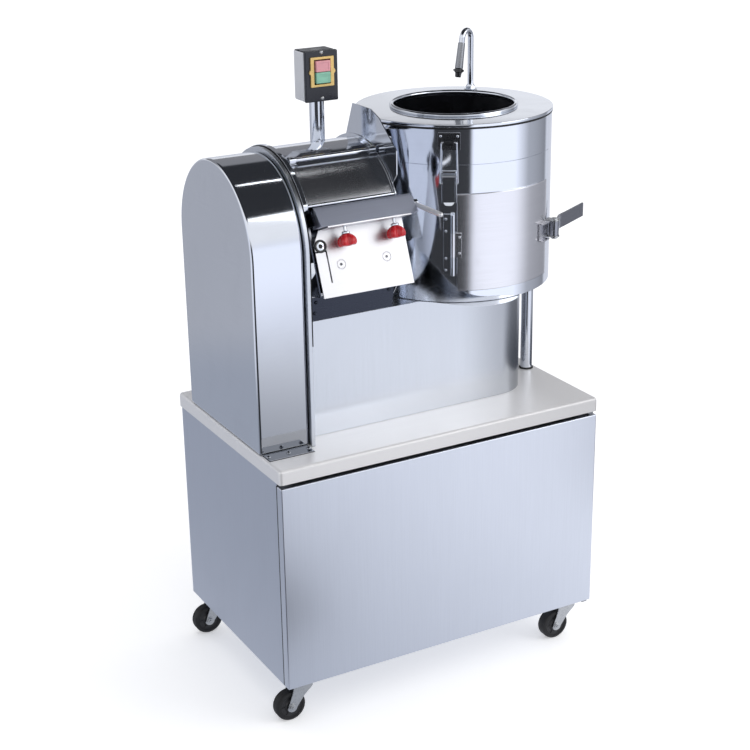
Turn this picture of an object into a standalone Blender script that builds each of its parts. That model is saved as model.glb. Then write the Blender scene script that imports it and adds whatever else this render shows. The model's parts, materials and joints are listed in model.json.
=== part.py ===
"""Potato peeling and slicing machine: a cabinet on casters that carries a peeling drum and a slicing head.

All lengths are in metres. The machine's own frame has X to the right, Y to the back and Z up, with its
zero on the floor under the middle of the cabinet. The object named machine moves that frame so that the
middle of the whole machine's footprint lies on the world's origin.
"""
import math

import bmesh
import bpy
from mathutils import Matrix, Vector

# Fits and meshes
GAP = 0.0003
OVERRUN = 0.02
MERGE = 0.00001
ROUND_STEPS = 16
WHEEL_STEPS = 16
PULLEY_STEPS = 32
DRUM_STEPS = 40

# Cabinet
CABINET_WIDTH = 0.720
CABINET_DEPTH = 0.476
CABINET_HEIGHT = 0.4636
PANEL_SHEET = 0.0015
PANEL_INSET = 0.004
FRAME_TUBE = 0.025
DECK_LIP = 0.029
DECK_SHEET = 0.002
DECK_EDGE_RADIUS = 0.003
DOOR_TOP_DROP = 0.0368
DOOR_THICKNESS = 0.018
DOOR_SHEET = 0.0015
DOOR_EDGE_RADIUS = 0.002
DOOR_SIDE_MARGIN = 0.002
DOOR_BACK_GAP = 0.005
DOOR_BOTTOM_GAP = 0.0015
DOOR_PIVOT_INSET = 0.010
DOOR_PIVOT_RADIUS = 0.004
DOOR_PIVOT_PLAY = 0.0005
DOOR_TAB_WIDTH = 0.014
DOOR_TAB_SHEET = 0.003
DOOR_TAB_GAP = 0.0021
DOOR_PIN_LENGTH = 0.007
CATCH_SIZE = 0.022

# Casters
CASTER_HEIGHT = 0.085
CASTER_X = 0.315
CASTER_Y = 0.200
CASTER_TRAIL = 0.026
CASTER_PLATE = 0.050
CASTER_PLATE_SHEET = 0.003
CASTER_RACE_RADIUS = 0.022
CASTER_RACE_HEIGHT = 0.006
KINGPIN_RADIUS = 0.005
KINGPIN_HEAD_RADIUS = 0.009
KINGPIN_HEAD_HEIGHT = 0.003
WHEEL_RADIUS = 0.0315
WHEEL_WIDTH = 0.024
WHEEL_ROUND = 0.005
WHEEL_HUB_RADIUS = 0.013
WHEEL_HUB_RECESS = 0.003
WHEEL_RIM_SHARE = 0.72
WHEEL_DISH_SHARE = 0.66
WHEEL_BOSS_SHARE = 0.9
FORK_SHEET = 0.0025
FORK_PLAY = 0.0020
FORK_TOP_REACH = 0.020
AXLE_RADIUS = 0.004
AXLE_HEAD_RADIUS = 0.007
AXLE_HEAD_HEIGHT = 0.0035

# Slicing head: where its axis lies above the deck, and its casing
CUTTER_AXIS_Y = 0.008
CUTTER_AXIS_RISE = 0.371
CASING_RADIUS = 0.168
CASING_SHEET = 0.0020
CASING_LEFT = -0.2460
CASING_RIGHT = -0.052
CASING_FLANGE_RADIUS = 0.1750
CASING_FLANGE_WIDTH = 0.009
CASING_RIM_RADIUS = 0.1745
FEED_RADIUS = 0.085
SHELL_OPEN_FROM = 115.5
SHELL_OPEN_TO = 208.0
CHEEK_TOP_LAP = 1.0
APRON_LAP = 1.5
CHEEK_FOOT_LAP = 2.0
SHELL_OPEN_DEPTH = 0.060
CHEEK_SHEET = 0.003
SADDLE_WIDTH = 0.015
SADDLE_DEPTH = 0.060
SADDLE_SHARES = (0.25, 0.75)
SADDLE_SINK_SHARE = 0.75

# Belt guard and the plate that carries the slicing head
GUARD_RADIUS = 0.163
GUARD_SHEET = 0.0015
GUARD_LEFT = -0.360
GUARD_RIGHT = -0.2553
GUARD_FOOT_DEPTH = 0.032
GUARD_FOOT_SHEET = 0.002
GUARD_FOOT_INSET = 0.006
CARRIER_RADIUS = 0.172
CARRIER_THICKNESS = 0.008
CARRIER_FOOT = 0.030
CARRIER_FOOT_SHEET = 0.004

# Cover over the slicing rotor
COVER_FROM = 117.0
COVER_TO = 148.5
COVER_SHEET = 0.002
COVER_LINK_ANGLE = 118.5
COVER_LINK_SHEET = 0.0025
COVER_HINGE_ANGLE = 114.3
COVER_HINGE_STANDOFF = 0.0060
COVER_ROD_RADIUS = 0.0025
COVER_KNUCKLE_RADIUS = 0.0045
COVER_KNUCKLE_PLAY = 0.0005
COVER_LUG_RADIUS = 0.0075
COVER_LUG_WIDTH = 0.014
COVER_BAR_RADIUS = 0.0035
COVER_BAR_STANDOFF = 0.0040

# Front plate with its flange, in the plane that leans out towards the bottom
FRONT_LEAN = 21.5
FRONT_TOP_Y = -0.139
FRONT_TOP_RISE = 0.415
FRONT_LEFT = -0.231
FRONT_RIGHT = -0.040
FRONT_LENGTH = 0.1275
FRONT_SHEET = 0.003
FRONT_FLANGE = 0.040
FRONT_CORNER_WIDTH = 0.0155
FRONT_CORNER_DROP = 0.028
SLOT_WIDTH = 0.0016
SLOT_DROP = 0.0405
SLOT_INSET = 0.0235
SLOT_LENGTH = 0.060
KNOB_X = (-0.174, -0.0705)
KNOB_OUT = 0.0235
KNOB_DROP = 0.030
KNOB_HEIGHT = 0.025
KNOB_RADIUS = 0.0175
KNOB_LOBE = 0.0030
KNOB_LOBES = 5
KNOB_LOBE_STEPS = 6
KNOB_EDGE = 0.003
STUD_RADIUS = 0.003
STUD_PLAY = 0.0004
STUD_ABOVE = 0.011
BLADE_LEFT = -0.226
BLADE_RIGHT = -0.060
BLADE_WIDTH = 0.030
BLADE_THICKNESS = 0.003
BLADE_DROP = 0.070

# Hood above the front plate
HOOD_LEFT = -0.228
HOOD_RIGHT = -0.024
HOOD_SHEET = 0.002
HOOD_TOP_Y = -0.1500
HOOD_TOP_LIFT = 0.0395
HOOD_BACK_Y = -0.1435
HOOD_BACK_LIFT = 0.0430
LOCK_HUB_RADIUS = 0.009
LOCK_HUB_WIDTH = 0.010
LOCK_Y = -0.150
LOCK_LIFT = 0.0235
LOCK_ROD_RADIUS = 0.0048
LOCK_ROD_LENGTH = 0.100

# Apron from the casing down to the skirt
APRON_SHEET = 0.002
APRON_FOOT_Y = -0.1215
APRON_FOOT_RISE = 0.2335

# Rotor, shaft, bearing, pulleys and belt of the slicing head
SHAFT_RADIUS = 0.0125
SHAFT_PLAY = 0.0003
SHAFT_LEFT = -0.322
SHAFT_RIGHT = -0.176
ROTOR_RADIUS = 0.1440
ROTOR_DISC_LEFT = -0.2330
ROTOR_DISC_SHEET = 0.006
ROTOR_HUB_RADIUS = 0.030
ROTOR_HUB_LENGTH = 0.055
VANE_COUNT = 3
VANE_SHEET = 0.006
VANE_RIGHT = -0.075
VANE_ROOT = 0.092
BEARING_RADIUS = 0.045
BEARING_WIDTH = 0.026
BELT_X = -0.300
BELT_WIDTH = 0.013
BELT_THICKNESS = 0.008
BELT_SEAT_GAP = 0.0014
PULLEY_WIDTH = 0.022
PULLEY_RIM = 0.0045
PULLEY_WEB = 0.008
PULLEY_RIM_DEPTH = 0.016
PULLEY_HUB_RADIUS = 0.026
BIG_PULLEY_RADIUS = 0.136
SMALL_PULLEY_RADIUS = 0.040
MOTOR_AXIS_RISE = 0.1186
MOTOR_RADIUS = 0.068
MOTOR_LEFT = -0.262
MOTOR_RIGHT = -0.040
MOTOR_END_RADIUS = 0.060
MOTOR_END_WIDTH = 0.020
MOTOR_SHAFT_RADIUS = 0.0095
MOTOR_SHAFT_CORE_SHARE = 0.8
MOTOR_FOOT_SHARE = 0.8
MOTOR_SHAFT_SEAT = 0.030
MOTOR_FOOT_WIDTH = 0.110
MOTOR_FOOT_DEPTH = 0.150
MOTOR_BOX_SIZE = 0.060
SLOT_IN_DECK_WIDTH = 0.040
SLOT_IN_DECK_HALF = 0.108

# Skirt under the drum and the plate on which drum and slicing head stand
SKIRT_FRONT_Y = -0.121
SKIRT_BACK_Y = 0.190
SKIRT_RIGHT_X = 0.263
SKIRT_CORNER = 0.043
SKIRT_SHEET = 0.0015
SKIRT_STEPS = 6
SHELF_RISE = 0.1953
SHELF_SHEET = 0.004
SKIRT_HIGH_RISE = 0.2325
SKIRT_SWEEP_START_X = 0.005
SKIRT_SWEEP_END_X = 0.205
SKIRT_SWEEP_STEPS = 8
SKIRT_SWEEP_SHARE = 1.3

# Peeling drum
DRUM_X = 0.227
DRUM_Y = 0.106
DRUM_RADIUS = 0.201
DRUM_SHEET = 0.002
DRUM_FLOOR_SHEET = 0.003
DRUM_TOP_RISE = 0.5567
DRUM_SEAM_RISE = 0.4775
CAP_EDGE_RADIUS = 0.203
CAP_EDGE_HEIGHT = 0.006
CAP_GROOVE_HEIGHT = 0.004
CAP_GROOVE_DEPTH = 0.003
MOUTH_RADIUS = 0.123
MOUTH_BEAD = 0.0045
MOUTH_BEAD_STEPS = 4
LINER_THICKNESS = 0.0068
LINER_TOP_GAP = 0.004
DISC_RADIUS = 0.186
DISC_RISE = 0.225
DISC_THICKNESS = 0.012
DISC_HUB_RADIUS = 0.032
DISC_RIDGES = 3
RIDGE_WIDTH = 0.030
RIDGE_HEIGHT = 0.012
RIDGE_INNER = 0.040
RIDGE_REACH_SHARE = 0.95
DISC_NUT_RADIUS = 0.020
DISC_NUT_HEIGHT = 0.014
COLUMN_RADIUS = 0.025
COLUMN_FLANGE_RADIUS = 0.033
COLUMN_FLANGE_HEIGHT = 0.010
GEARMOTOR_RADIUS = 0.068
GEARMOTOR_FLANGE_RADIUS = 0.082
GEARMOTOR_FLANGE_HEIGHT = 0.012
GEARMOTOR_LENGTH = 0.270
GEARMOTOR_SOCKET = 0.045
PIPE_X = 0.335
PIPE_Y = -0.015
PIPE_RADIUS = 0.0125
PIPE_WALL = 0.0020
PIPE_BELOW_DECK = 0.050
PIPE_COLLAR_RADIUS = 0.0165
PIPE_COLLAR_HEIGHT = 0.004

# Discharge door of the drum
DOORWAY_FROM = -119.9
DOORWAY_TO = -54.4
DOORWAY_BOTTOM = 0.2205
DOORWAY_TOP = 0.4190
GATE_SHEET = 0.0030
GATE_LAP_ANGLE = 2.6
GATE_LAP = 0.0095
GATE_PLUG_DEPTH = 0.0080
GATE_PLUG_PLAY = 0.0020
GATE_PLUG_PLAY_ANGLE = 0.7
GATE_STEPS = 14
HINGE_ANGLE = -122.2
HINGE_STANDOFF = 0.0070
HINGE_BOTTOM = 0.254
HINGE_TOP = 0.379
HINGE_RADIUS = 0.0045
HINGE_PIN_RADIUS = 0.0022
HINGE_PLAY = 0.0005
HINGE_LEAF_WIDTH = 0.018
HINGE_LEAF_SHEET = 0.0022
HINGE_GATE_SHARES = (0.3, 0.7)
HINGE_LEAF_LAP_SHARE = 0.4

# Lever that presses the discharge door shut
LEVER_ANGLE = -51.5
LEVER_STANDOFF = 0.0186
LEVER_RISE = 0.315
LEVER_HEADING = 33.7
LEVER_LENGTH = 0.166
LEVER_WIDTH = 0.030
LEVER_SHEET = 0.004
LEVER_HUB_RADIUS = 0.0095
LEVER_NOSE_REACH = 0.0125
LEVER_NOSE_RADIUS = 0.0035
LEVER_NOSE_HEADING = 107.5
LEVER_NECK_SHARE = 0.8
PAD_ANGLE = -60.3
PAD_WIDTH = 0.030
PAD_HEIGHT = 0.038
PAD_SHEET = 0.0025
PAD_WING = 0.009
BRACKET_SHEET = 0.0030
BRACKET_BACK_SHEET = 0.0020
BRACKET_WIDTH = 0.024
BRACKET_REACH = 0.0115
PIVOT_RADIUS = 0.0040
PIVOT_PLAY = 0.0004
PIVOT_HEAD_RADIUS = 0.0065
PIVOT_HEAD_HEIGHT = 0.0035

# Toggle latches between the drum and its cap
LATCH_ANGLES = (-124.3, 55.7)
LATCH_NAMES = ("front", "rear")
FITTING_SINK = 0.0015
LATCH_BASE_WIDTH = 0.030
LATCH_BASE_SHEET = 0.002
LATCH_BASE_BOTTOM = 0.402
LATCH_BASE_TOP = 0.466
LATCH_PIVOT_RISE = 0.4560
LATCH_PIVOT_STANDOFF = 0.0078
LATCH_PIVOT_RADIUS = 0.0018
LATCH_EAR_SHEET = 0.002
LATCH_EAR_HEIGHT = 0.014
LATCH_EAR_REACH = 0.011
LATCH_LEVER_WIDTH = 0.0235
LATCH_LEVER_SHEET = 0.004
LATCH_LEVER_INSIDE_SHARE = 0.8
LATCH_LEVER_ABOVE = 0.0032
LATCH_LEVER_LENGTH = 0.058
BAIL_DROP = 0.0140
BAIL_BACK = 0.0005
BAIL_WIRE = 0.0016
BAIL_SEAT_SHARE = 0.2
BAIL_FOOT_SPREAD = 0.0175
BAIL_TOP_SPREAD = 0.0150
BAIL_TOP_RISE = 0.5235
KEEPER_WIDTH = 0.044
KEEPER_SHEET = 0.002
KEEPER_BOTTOM = 0.507
KEEPER_TOP = 0.541
KEEPER_LEDGE_WIDTH = 0.020
KEEPER_LEDGE_REACH = 0.011
KEEPER_LEDGE_SHEET = 0.003

# Water spout on the cap
SPOUT_X = 0.338
SPOUT_Y = 0.217
SPOUT_RADIUS = 0.0062
SPOUT_BASE_RADIUS = 0.016
SPOUT_BASE_HEIGHT = 0.009
SPOUT_NUT_RADIUS = 0.011
SPOUT_NUT_HEIGHT = 0.009
SPOUT_BEND_RADIUS = 0.0165
SPOUT_BEND_RISE = 0.112
SPOUT_BEND_END = 12.0
SPOUT_BEND_STEPS = 10
SPOUT_REACH = 0.047
SPOUT_TIP_RISE = 0.045
SPOUT_HEADING = 205.0
NOZZLE_RADIUS = 0.0082
NOZZLE_LENGTH = 0.050

# Feed hopper between slicing head and drum
HOPPER_LEFT = -0.0515
HOPPER_SHEET = 0.0020
HOPPER_RIGHT = 0.016
HOPPER_TOP_RISE = 0.535
HOPPER_FRONT_Y = -0.136
HOPPER_INNER_Y = -0.005
HOPPER_BACK_Y = 0.058
HOPPER_FLOOR_FRONT_Y = -0.072
HOPPER_FLOOR_LEFT_RISE = 0.292
HOPPER_FLOOR_RIGHT_RISE = 0.420
HOPPER_LIP_RISE = 0.603
HOPPER_LIP_BACK_Y = 0.026
HOPPER_LIP_FRONT_Y = -0.045
HOPPER_LIP_CORNER_Y = -0.077
HOPPER_LIP_CORNER_RISE = 0.591
HOPPER_NOSE_Y = -0.142
HOPPER_NOSE_TOP_RISE = 0.541
HOPPER_NOSE_BOTTOM_RISE = 0.496
HOPPER_WALL_RADIUS = 0.118
HOPPER_WALL_STEPS = 12
HOPPER_WALL_FROM = 148.0
HOPPER_WALL_TO = 405.0

# Switch on its post
SWITCH_X = -0.108
SWITCH_Y = 0.066
SWITCH_WIDTH = 0.069
SWITCH_DEPTH = 0.051
SWITCH_HEIGHT = 0.096
SWITCH_BOTTOM_RISE = 0.6095
SWITCH_EDGE = 0.004
POST_RADIUS = 0.0145
POST_WALL = 0.0020
POST_FOOT_RADIUS = 0.020
POST_FOOT_HEIGHT = 0.010
POST_FOOT_RISE = 0.515
BEZEL_WIDTH = 0.055
BEZEL_HEIGHT = 0.066
BEZEL_SHEET = 0.003
BEZEL_RISE = 0.6635
WINDOW_WIDTH = 0.0328
WINDOW_HEIGHT = 0.0560
WINDOW_DEPTH = 0.009
BUTTON_WIDTH = 0.0320
BUTTON_HEIGHT = 0.0273
BUTTON_PROUD = 0.0045
BUTTON_DEPTH = 0.010
BUTTON_EDGE = 0.0015

# Screws and the cable gland
SCREW_RADIUS = 0.0045
SCREW_CROWN_RADIUS = 0.003
SCREW_HEIGHT = 0.003
SCREW_SINK = 0.001
SWITCH_SCREW_MARGIN = 0.006
WASHER_RADIUS = 0.0080
WASHER_HEIGHT = 0.0012
PIVOT_SCREW_RADIUS = 0.0125
PIVOT_SCREW_HEIGHT = 0.003
PIVOT_SCREW_INSET = 0.0125
PIVOT_SCREW_DROP = 0.0315
PLATE_SCREW_SPACING = 0.096
GUARD_SCREW_SHARES = (0.1, 0.5, 0.9)
GLAND_X = 0.250
GLAND_RISE = 0.0836
GLAND_RADIUS = 0.012
GLAND_THREAD_RADIUS = 0.008
GLAND_BORE_RADIUS = 0.0045
GLAND_HEAD = 0.016
GLAND_TAIL = 0.010

# Places worked out from the sizes above
DECK_Z = CASTER_HEIGHT + CABINET_HEIGHT
CUTTER_Z = DECK_Z + CUTTER_AXIS_RISE
DECK_UNDER_Z = DECK_Z - DECK_SHEET
FRONT_Y = -CABINET_DEPTH / 2
BODY_FRONT_Y = FRONT_Y + DOOR_THICKNESS + DOOR_BACK_GAP
BODY_BACK_Y = CABINET_DEPTH / 2 - PANEL_INSET
BODY_HALF_WIDTH = CABINET_WIDTH / 2 - PANEL_INSET
MOTOR_Z = CASTER_HEIGHT + MOTOR_AXIS_RISE
HOOD_TOP_RISE = FRONT_TOP_RISE + HOOD_TOP_LIFT
HOOD_BACK_RISE = FRONT_TOP_RISE + HOOD_BACK_LIFT
LOCK_RISE = FRONT_TOP_RISE + LOCK_LIFT
SHELF_Z = DECK_Z + SHELF_RISE
DRUM_FLOOR_Z = SHELF_Z + GAP
DRUM_TOP_Z = DECK_Z + DRUM_TOP_RISE
SEAM_Z = DECK_Z + DRUM_SEAM_RISE
LEFT_REACH = CASTER_X + CASTER_TRAIL + WHEEL_RADIUS
FRONT_REACH = -LOCK_Y + LOCK_ROD_LENGTH
BACK_REACH = DRUM_Y + CAP_EDGE_RADIUS

# Turns that lay a flat outline, or an upright cylinder, along the machine's axes
FLAT = (0.0, 0.0, 0.0)
ACROSS_X = (math.pi / 2, 0.0, math.pi / 2)
ACROSS_Y = (math.pi / 2, 0.0, 0.0)
ALONG_X = (0.0, math.pi / 2, 0.0)
ALONG_Y = (-math.pi / 2, 0.0, 0.0)


def clear_scene():
    """Removes whatever the scene holds."""
    for item in list(bpy.data.objects):
        bpy.data.objects.remove(item, do_unlink=True)


clear_scene()
PARTS = bpy.data.collections.new("potato_peeler_machine")
TOOLS = bpy.data.collections.new("cutters_and_joined_shapes")
bpy.context.scene.collection.children.link(PARTS)
bpy.context.scene.collection.children.link(TOOLS)


def finish(name, colour, roughness, metallic):
    """A plain material for one kind of surface."""
    made = bpy.data.materials.new(name)
    made.use_nodes = True
    shader = made.node_tree.nodes["Principled BSDF"]
    shader.inputs["Base Color"].default_value = (*colour, 1.0)
    shader.inputs["Roughness"].default_value = roughness
    shader.inputs["Metallic"].default_value = metallic
    return made


SATIN_STEEL = finish("satin_steel", (0.62, 0.65, 0.70), 0.35, 1.0)
MIRROR_STEEL = finish("mirror_steel", (0.72, 0.74, 0.77), 0.12, 1.0)
FRAME_STEEL = finish("frame_steel", (0.35, 0.36, 0.38), 0.45, 1.0)
ZINC = finish("zinc_plate", (0.60, 0.60, 0.58), 0.35, 1.0)
CAST_METAL = finish("cast_aluminium", (0.55, 0.56, 0.57), 0.5, 1.0)
MOTOR_PAINT = finish("motor_paint", (0.12, 0.20, 0.30), 0.45, 0.0)
BLACK_RUBBER = finish("black_rubber", (0.02, 0.02, 0.02), 0.7, 0.0)
ABRASIVE = finish("black_abrasive", (0.03, 0.03, 0.035), 0.9, 0.0)
RED_PLASTIC = finish("red_plastic", (0.60, 0.03, 0.04), 0.3, 0.0)
DARK_PLASTIC = finish("dark_grey_plastic", (0.05, 0.055, 0.065), 0.45, 0.0)
YELLOW_PLASTIC = finish("yellow_plastic", (0.85, 0.55, 0.12), 0.4, 0.0)
STOP_RED = finish("stop_button_red", (0.80, 0.25, 0.30), 0.4, 0.0)
START_GREEN = finish("start_button_green", (0.20, 0.60, 0.42), 0.4, 0.0)

MACHINE = bpy.data.objects.new("machine", None)


def holder(name, at, turn=FLAT, parent=MACHINE):
    """An empty that pieces are placed in."""
    made = bpy.data.objects.new(name, None)
    PARTS.objects.link(made)
    made.parent = parent
    made.location = at
    made.rotation_euler = turn
    return made


def piece(name, mesh, material, at=FLAT, turn=FLAT, parent=MACHINE):
    """An object of the machine that shows a mesh."""
    made = bpy.data.objects.new(name, mesh)
    PARTS.objects.link(made)
    made.parent = parent
    made.location = at
    made.rotation_euler = turn
    if material is not None:
        mesh.materials.append(material)
    return made


def from_bmesh(name, bm, material, **place):
    """An object from a mesh under construction."""
    mesh = bpy.data.meshes.new(name)
    bm.to_mesh(mesh)
    bm.free()
    return piece(name, mesh, material, **place)


def box(name, low, high, material=None, parent=MACHINE, open_side=None):
    """A block between two corners. With open_side, the face on that side is left away."""
    size = Vector(high) - Vector(low)
    bm = bmesh.new()
    bmesh.ops.create_cube(bm, size=1.0, matrix=Matrix.Diagonal((*size, 1.0)))
    for side in open_side or ():
        gone = [face for face in bm.faces if face.normal.dot(Vector(side)) > 0.5]
        bmesh.ops.delete(bm, geom=gone, context="FACES_ONLY")
    return from_bmesh(name, bm, material, at=(Vector(low) + Vector(high)) / 2, parent=parent)


def hull(name, corners):
    """The convex solid around some corners."""
    bm = bmesh.new()
    verts = [bm.verts.new(corner) for corner in corners]
    bmesh.ops.convex_hull(bm, input=verts)
    return from_bmesh(name, bm, None)


def cylinder(name, radius, length, at, turn=FLAT, material=None, parent=MACHINE, steps=ROUND_STEPS):
    """A round bar about its own middle."""
    bm = bmesh.new()
    bmesh.ops.create_cone(bm, cap_ends=True, segments=steps, radius1=radius, radius2=radius, depth=length)
    return from_bmesh(name, bm, material, at=at, turn=turn, parent=parent)


def turned(name, outline, at, turn=FLAT, material=None, parent=MACHINE, steps=ROUND_STEPS):
    """A turned shape from (radius, height) points: a ring, or a solid that starts and ends on the axis."""
    area = sum(a[0] * b[1] - b[0] * a[1] for a, b in zip(outline, outline[1:] + outline[:1]))
    points = outline if area < 0 else outline[::-1]
    bm = bmesh.new()
    corners = [bm.verts.new((radius, 0.0, height)) for radius, height in points]
    for one, other in zip(corners, corners[1:]):
        bm.edges.new((one, other))
    if points[0][0] > 0:
        bm.edges.new((corners[-1], corners[0]))
    made = from_bmesh(name, bm, material, at=at, turn=turn, parent=parent)
    screw = made.modifiers.new("turning", "SCREW")
    screw.steps = steps
    screw.render_steps = steps
    screw.use_merge_vertices = True
    screw.merge_threshold = MERGE
    screw.use_smooth_shade = False
    return made


def read_mesh(item):
    """The mesh of an object with its modifiers, in the object's own frame."""
    bpy.context.view_layer.update()
    return bpy.data.meshes.new_from_object(item.evaluated_get(bpy.context.evaluated_depsgraph_get()))


def weld(mesh):
    """Closes the seams between a curve's sides and its caps."""
    bm = bmesh.new()
    bm.from_mesh(mesh)
    bmesh.ops.remove_doubles(bm, verts=bm.verts, dist=MERGE)
    bm.to_mesh(mesh)
    bm.free()


def plate(name, outline, thickness, at=FLAT, turn=FLAT, material=None, parent=MACHINE, holes=()):
    """A flat outline given a thickness, half to each side, and made a mesh."""
    curve = bpy.data.curves.new(name, "CURVE")
    curve.dimensions = "2D"
    curve.fill_mode = "BOTH"
    curve.extrude = thickness / 2
    for ring in (outline, *holes):
        spline = curve.splines.new("POLY")
        spline.points.add(len(ring) - 1)
        for point, (x, y) in zip(spline.points, ring):
            point.co = (x, y, 0.0, 1.0)
        spline.use_cyclic_u = True
    drawn = bpy.data.objects.new(name, curve)
    TOOLS.objects.link(drawn)
    mesh = read_mesh(drawn)
    weld(mesh)
    bpy.data.objects.remove(drawn)
    return piece(name, mesh, material, at=at, turn=turn, parent=parent)


def wire(name, points, radius, at=FLAT, turn=FLAT, material=None, parent=MACHINE, resolution=2):
    """A round wire or tube through points, with closed ends, made a mesh."""
    curve = bpy.data.curves.new(name, "CURVE")
    curve.dimensions = "3D"
    curve.bevel_depth = radius
    curve.bevel_resolution = resolution
    curve.use_fill_caps = True
    spline = curve.splines.new("POLY")
    spline.points.add(len(points) - 1)
    for point, place in zip(spline.points, points):
        point.co = (*place, 1.0)
    drawn = bpy.data.objects.new(name, curve)
    TOOLS.objects.link(drawn)
    mesh = read_mesh(drawn)
    weld(mesh)
    bpy.data.objects.remove(drawn)
    return piece(name, mesh, material, at=at, turn=turn, parent=parent)


def stow(item):
    """Puts away a shape that only cuts or joins another."""
    for collection in list(item.users_collection):
        collection.objects.unlink(item)
    TOOLS.objects.link(item)
    item.hide_render = True
    item.display_type = "WIRE"


def combine(item, others, operation):
    """Cuts an object with others or joins them to it."""
    for other in others:
        step = item.modifiers.new(operation.lower(), "BOOLEAN")
        step.operation = operation
        step.solver = "EXACT"
        step.object = other
        stow(other)
    return item


def cut(item, *others):
    """Takes the other shapes away from an object."""
    return combine(item, others, "DIFFERENCE")


def join(item, *others):
    """Joins the other shapes to an object as one solid."""
    return combine(item, others, "UNION")


def soften(item, width, segments=1):
    """Rounds the sharp edges of an object."""
    bevel = item.modifiers.new("edges", "BEVEL")
    bevel.width = width
    bevel.segments = segments
    bevel.limit_method = "ANGLE"
    return item


def thicken(item, thickness, outward=False):
    """Gives an open surface a thickness."""
    solidify = item.modifiers.new("sheet", "SOLIDIFY")
    solidify.thickness = thickness
    solidify.offset = 1.0 if outward else -1.0
    solidify.use_even_offset = True
    return item


def move_origin(item, point):
    """Moves an object's origin to a point of its parent's frame, and leaves its shape where it is."""
    inverse = item.matrix_basis.inverted()
    item.data.transform(Matrix.Translation(-(inverse @ Vector(point))))
    item.location = point
    return item


def arc(centre, radius, start, end, steps):
    """Points on an arc between two angles in degrees."""
    angles = [math.radians(start + (end - start) * step / steps) for step in range(steps + 1)]
    return [(centre[0] + radius * math.cos(a), centre[1] + radius * math.sin(a)) for a in angles]


def polar(centre, radius, angle):
    """One point on a circle, by its angle in degrees."""
    return arc(centre, radius, angle, angle, 1)[0]


def band(centre, inner, outer, start, end, steps):
    """The outline of a piece of ring."""
    return arc(centre, outer, start, end, steps) + arc(centre, inner, end, start, steps)


def sheet_outline(path, thickness):
    """The outline of a bent sheet: the path is its outer side, and the thickness lies to its left."""
    inner = []
    for index, point in enumerate(path):
        here = Vector(point)
        before = here - Vector(path[index - 1]) if index > 0 else None
        after = Vector(path[index + 1]) - here if index + 1 < len(path) else None
        sides = [Vector((-way.y, way.x)).normalized() for way in (before, after) if way is not None]
        middle = sum(sides, Vector((0.0, 0.0))).normalized()
        inner.append(tuple(here + middle * thickness / middle.dot(sides[0])))
    return list(path) + inner[::-1]


def rectangle(low, high):
    """The outline of an upright rectangle."""
    return [low, (high[0], low[1]), high, (low[0], high[1])]


# Cabinet
def build_deck():
    """The folded worktop with the openings for belt, drum shaft and drain pipe."""
    half = CABINET_WIDTH / 2
    deck = box("worktop", (-half, FRONT_Y, DECK_Z - DECK_LIP), (half, -FRONT_Y, DECK_Z), SATIN_STEEL,
               open_side=((0, 0, -1),))
    soften(deck, DECK_EDGE_RADIUS, 2)
    thicken(deck, DECK_SHEET)
    slot = box("deck_slot", (BELT_X - SLOT_IN_DECK_WIDTH / 2, CUTTER_AXIS_Y - SLOT_IN_DECK_HALF,
                             DECK_Z - OVERRUN),
               (BELT_X + SLOT_IN_DECK_WIDTH / 2, CUTTER_AXIS_Y + SLOT_IN_DECK_HALF, DECK_Z + OVERRUN))
    shaft = cylinder("deck_shaft_hole", SHAFT_RADIUS + 4 * SHAFT_PLAY, OVERRUN, (DRUM_X, DRUM_Y, DECK_Z))
    pipe = cylinder("deck_pipe_hole", PIPE_RADIUS + GAP, OVERRUN, (PIPE_X, PIPE_Y, DECK_Z))
    cut(deck, slot, shaft, pipe)


def build_shell():
    """The cabinet's side, back and bottom sheets, folded from one blank."""
    low = (-BODY_HALF_WIDTH, BODY_FRONT_Y, CASTER_HEIGHT)
    high = (BODY_HALF_WIDTH, BODY_BACK_Y, DECK_UNDER_Z - GAP)
    shell = box("cabinet_shell", low, high, SATIN_STEEL, open_side=((0, 0, 1), (0, -1, 0)))
    thicken(shell, PANEL_SHEET)
    hole = cylinder("gland_hole", GLAND_THREAD_RADIUS + GAP, OVERRUN,
                    (GLAND_X, BODY_BACK_Y, CASTER_HEIGHT + GLAND_RISE),
                    ALONG_Y)
    cut(shell, hole)


def door_pivot():
    """Where the cabinet door turns."""
    half = CABINET_WIDTH / 2 - DOOR_SIDE_MARGIN
    return half - DOOR_PIVOT_INSET, FRONT_Y + DOOR_THICKNESS / 2


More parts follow.
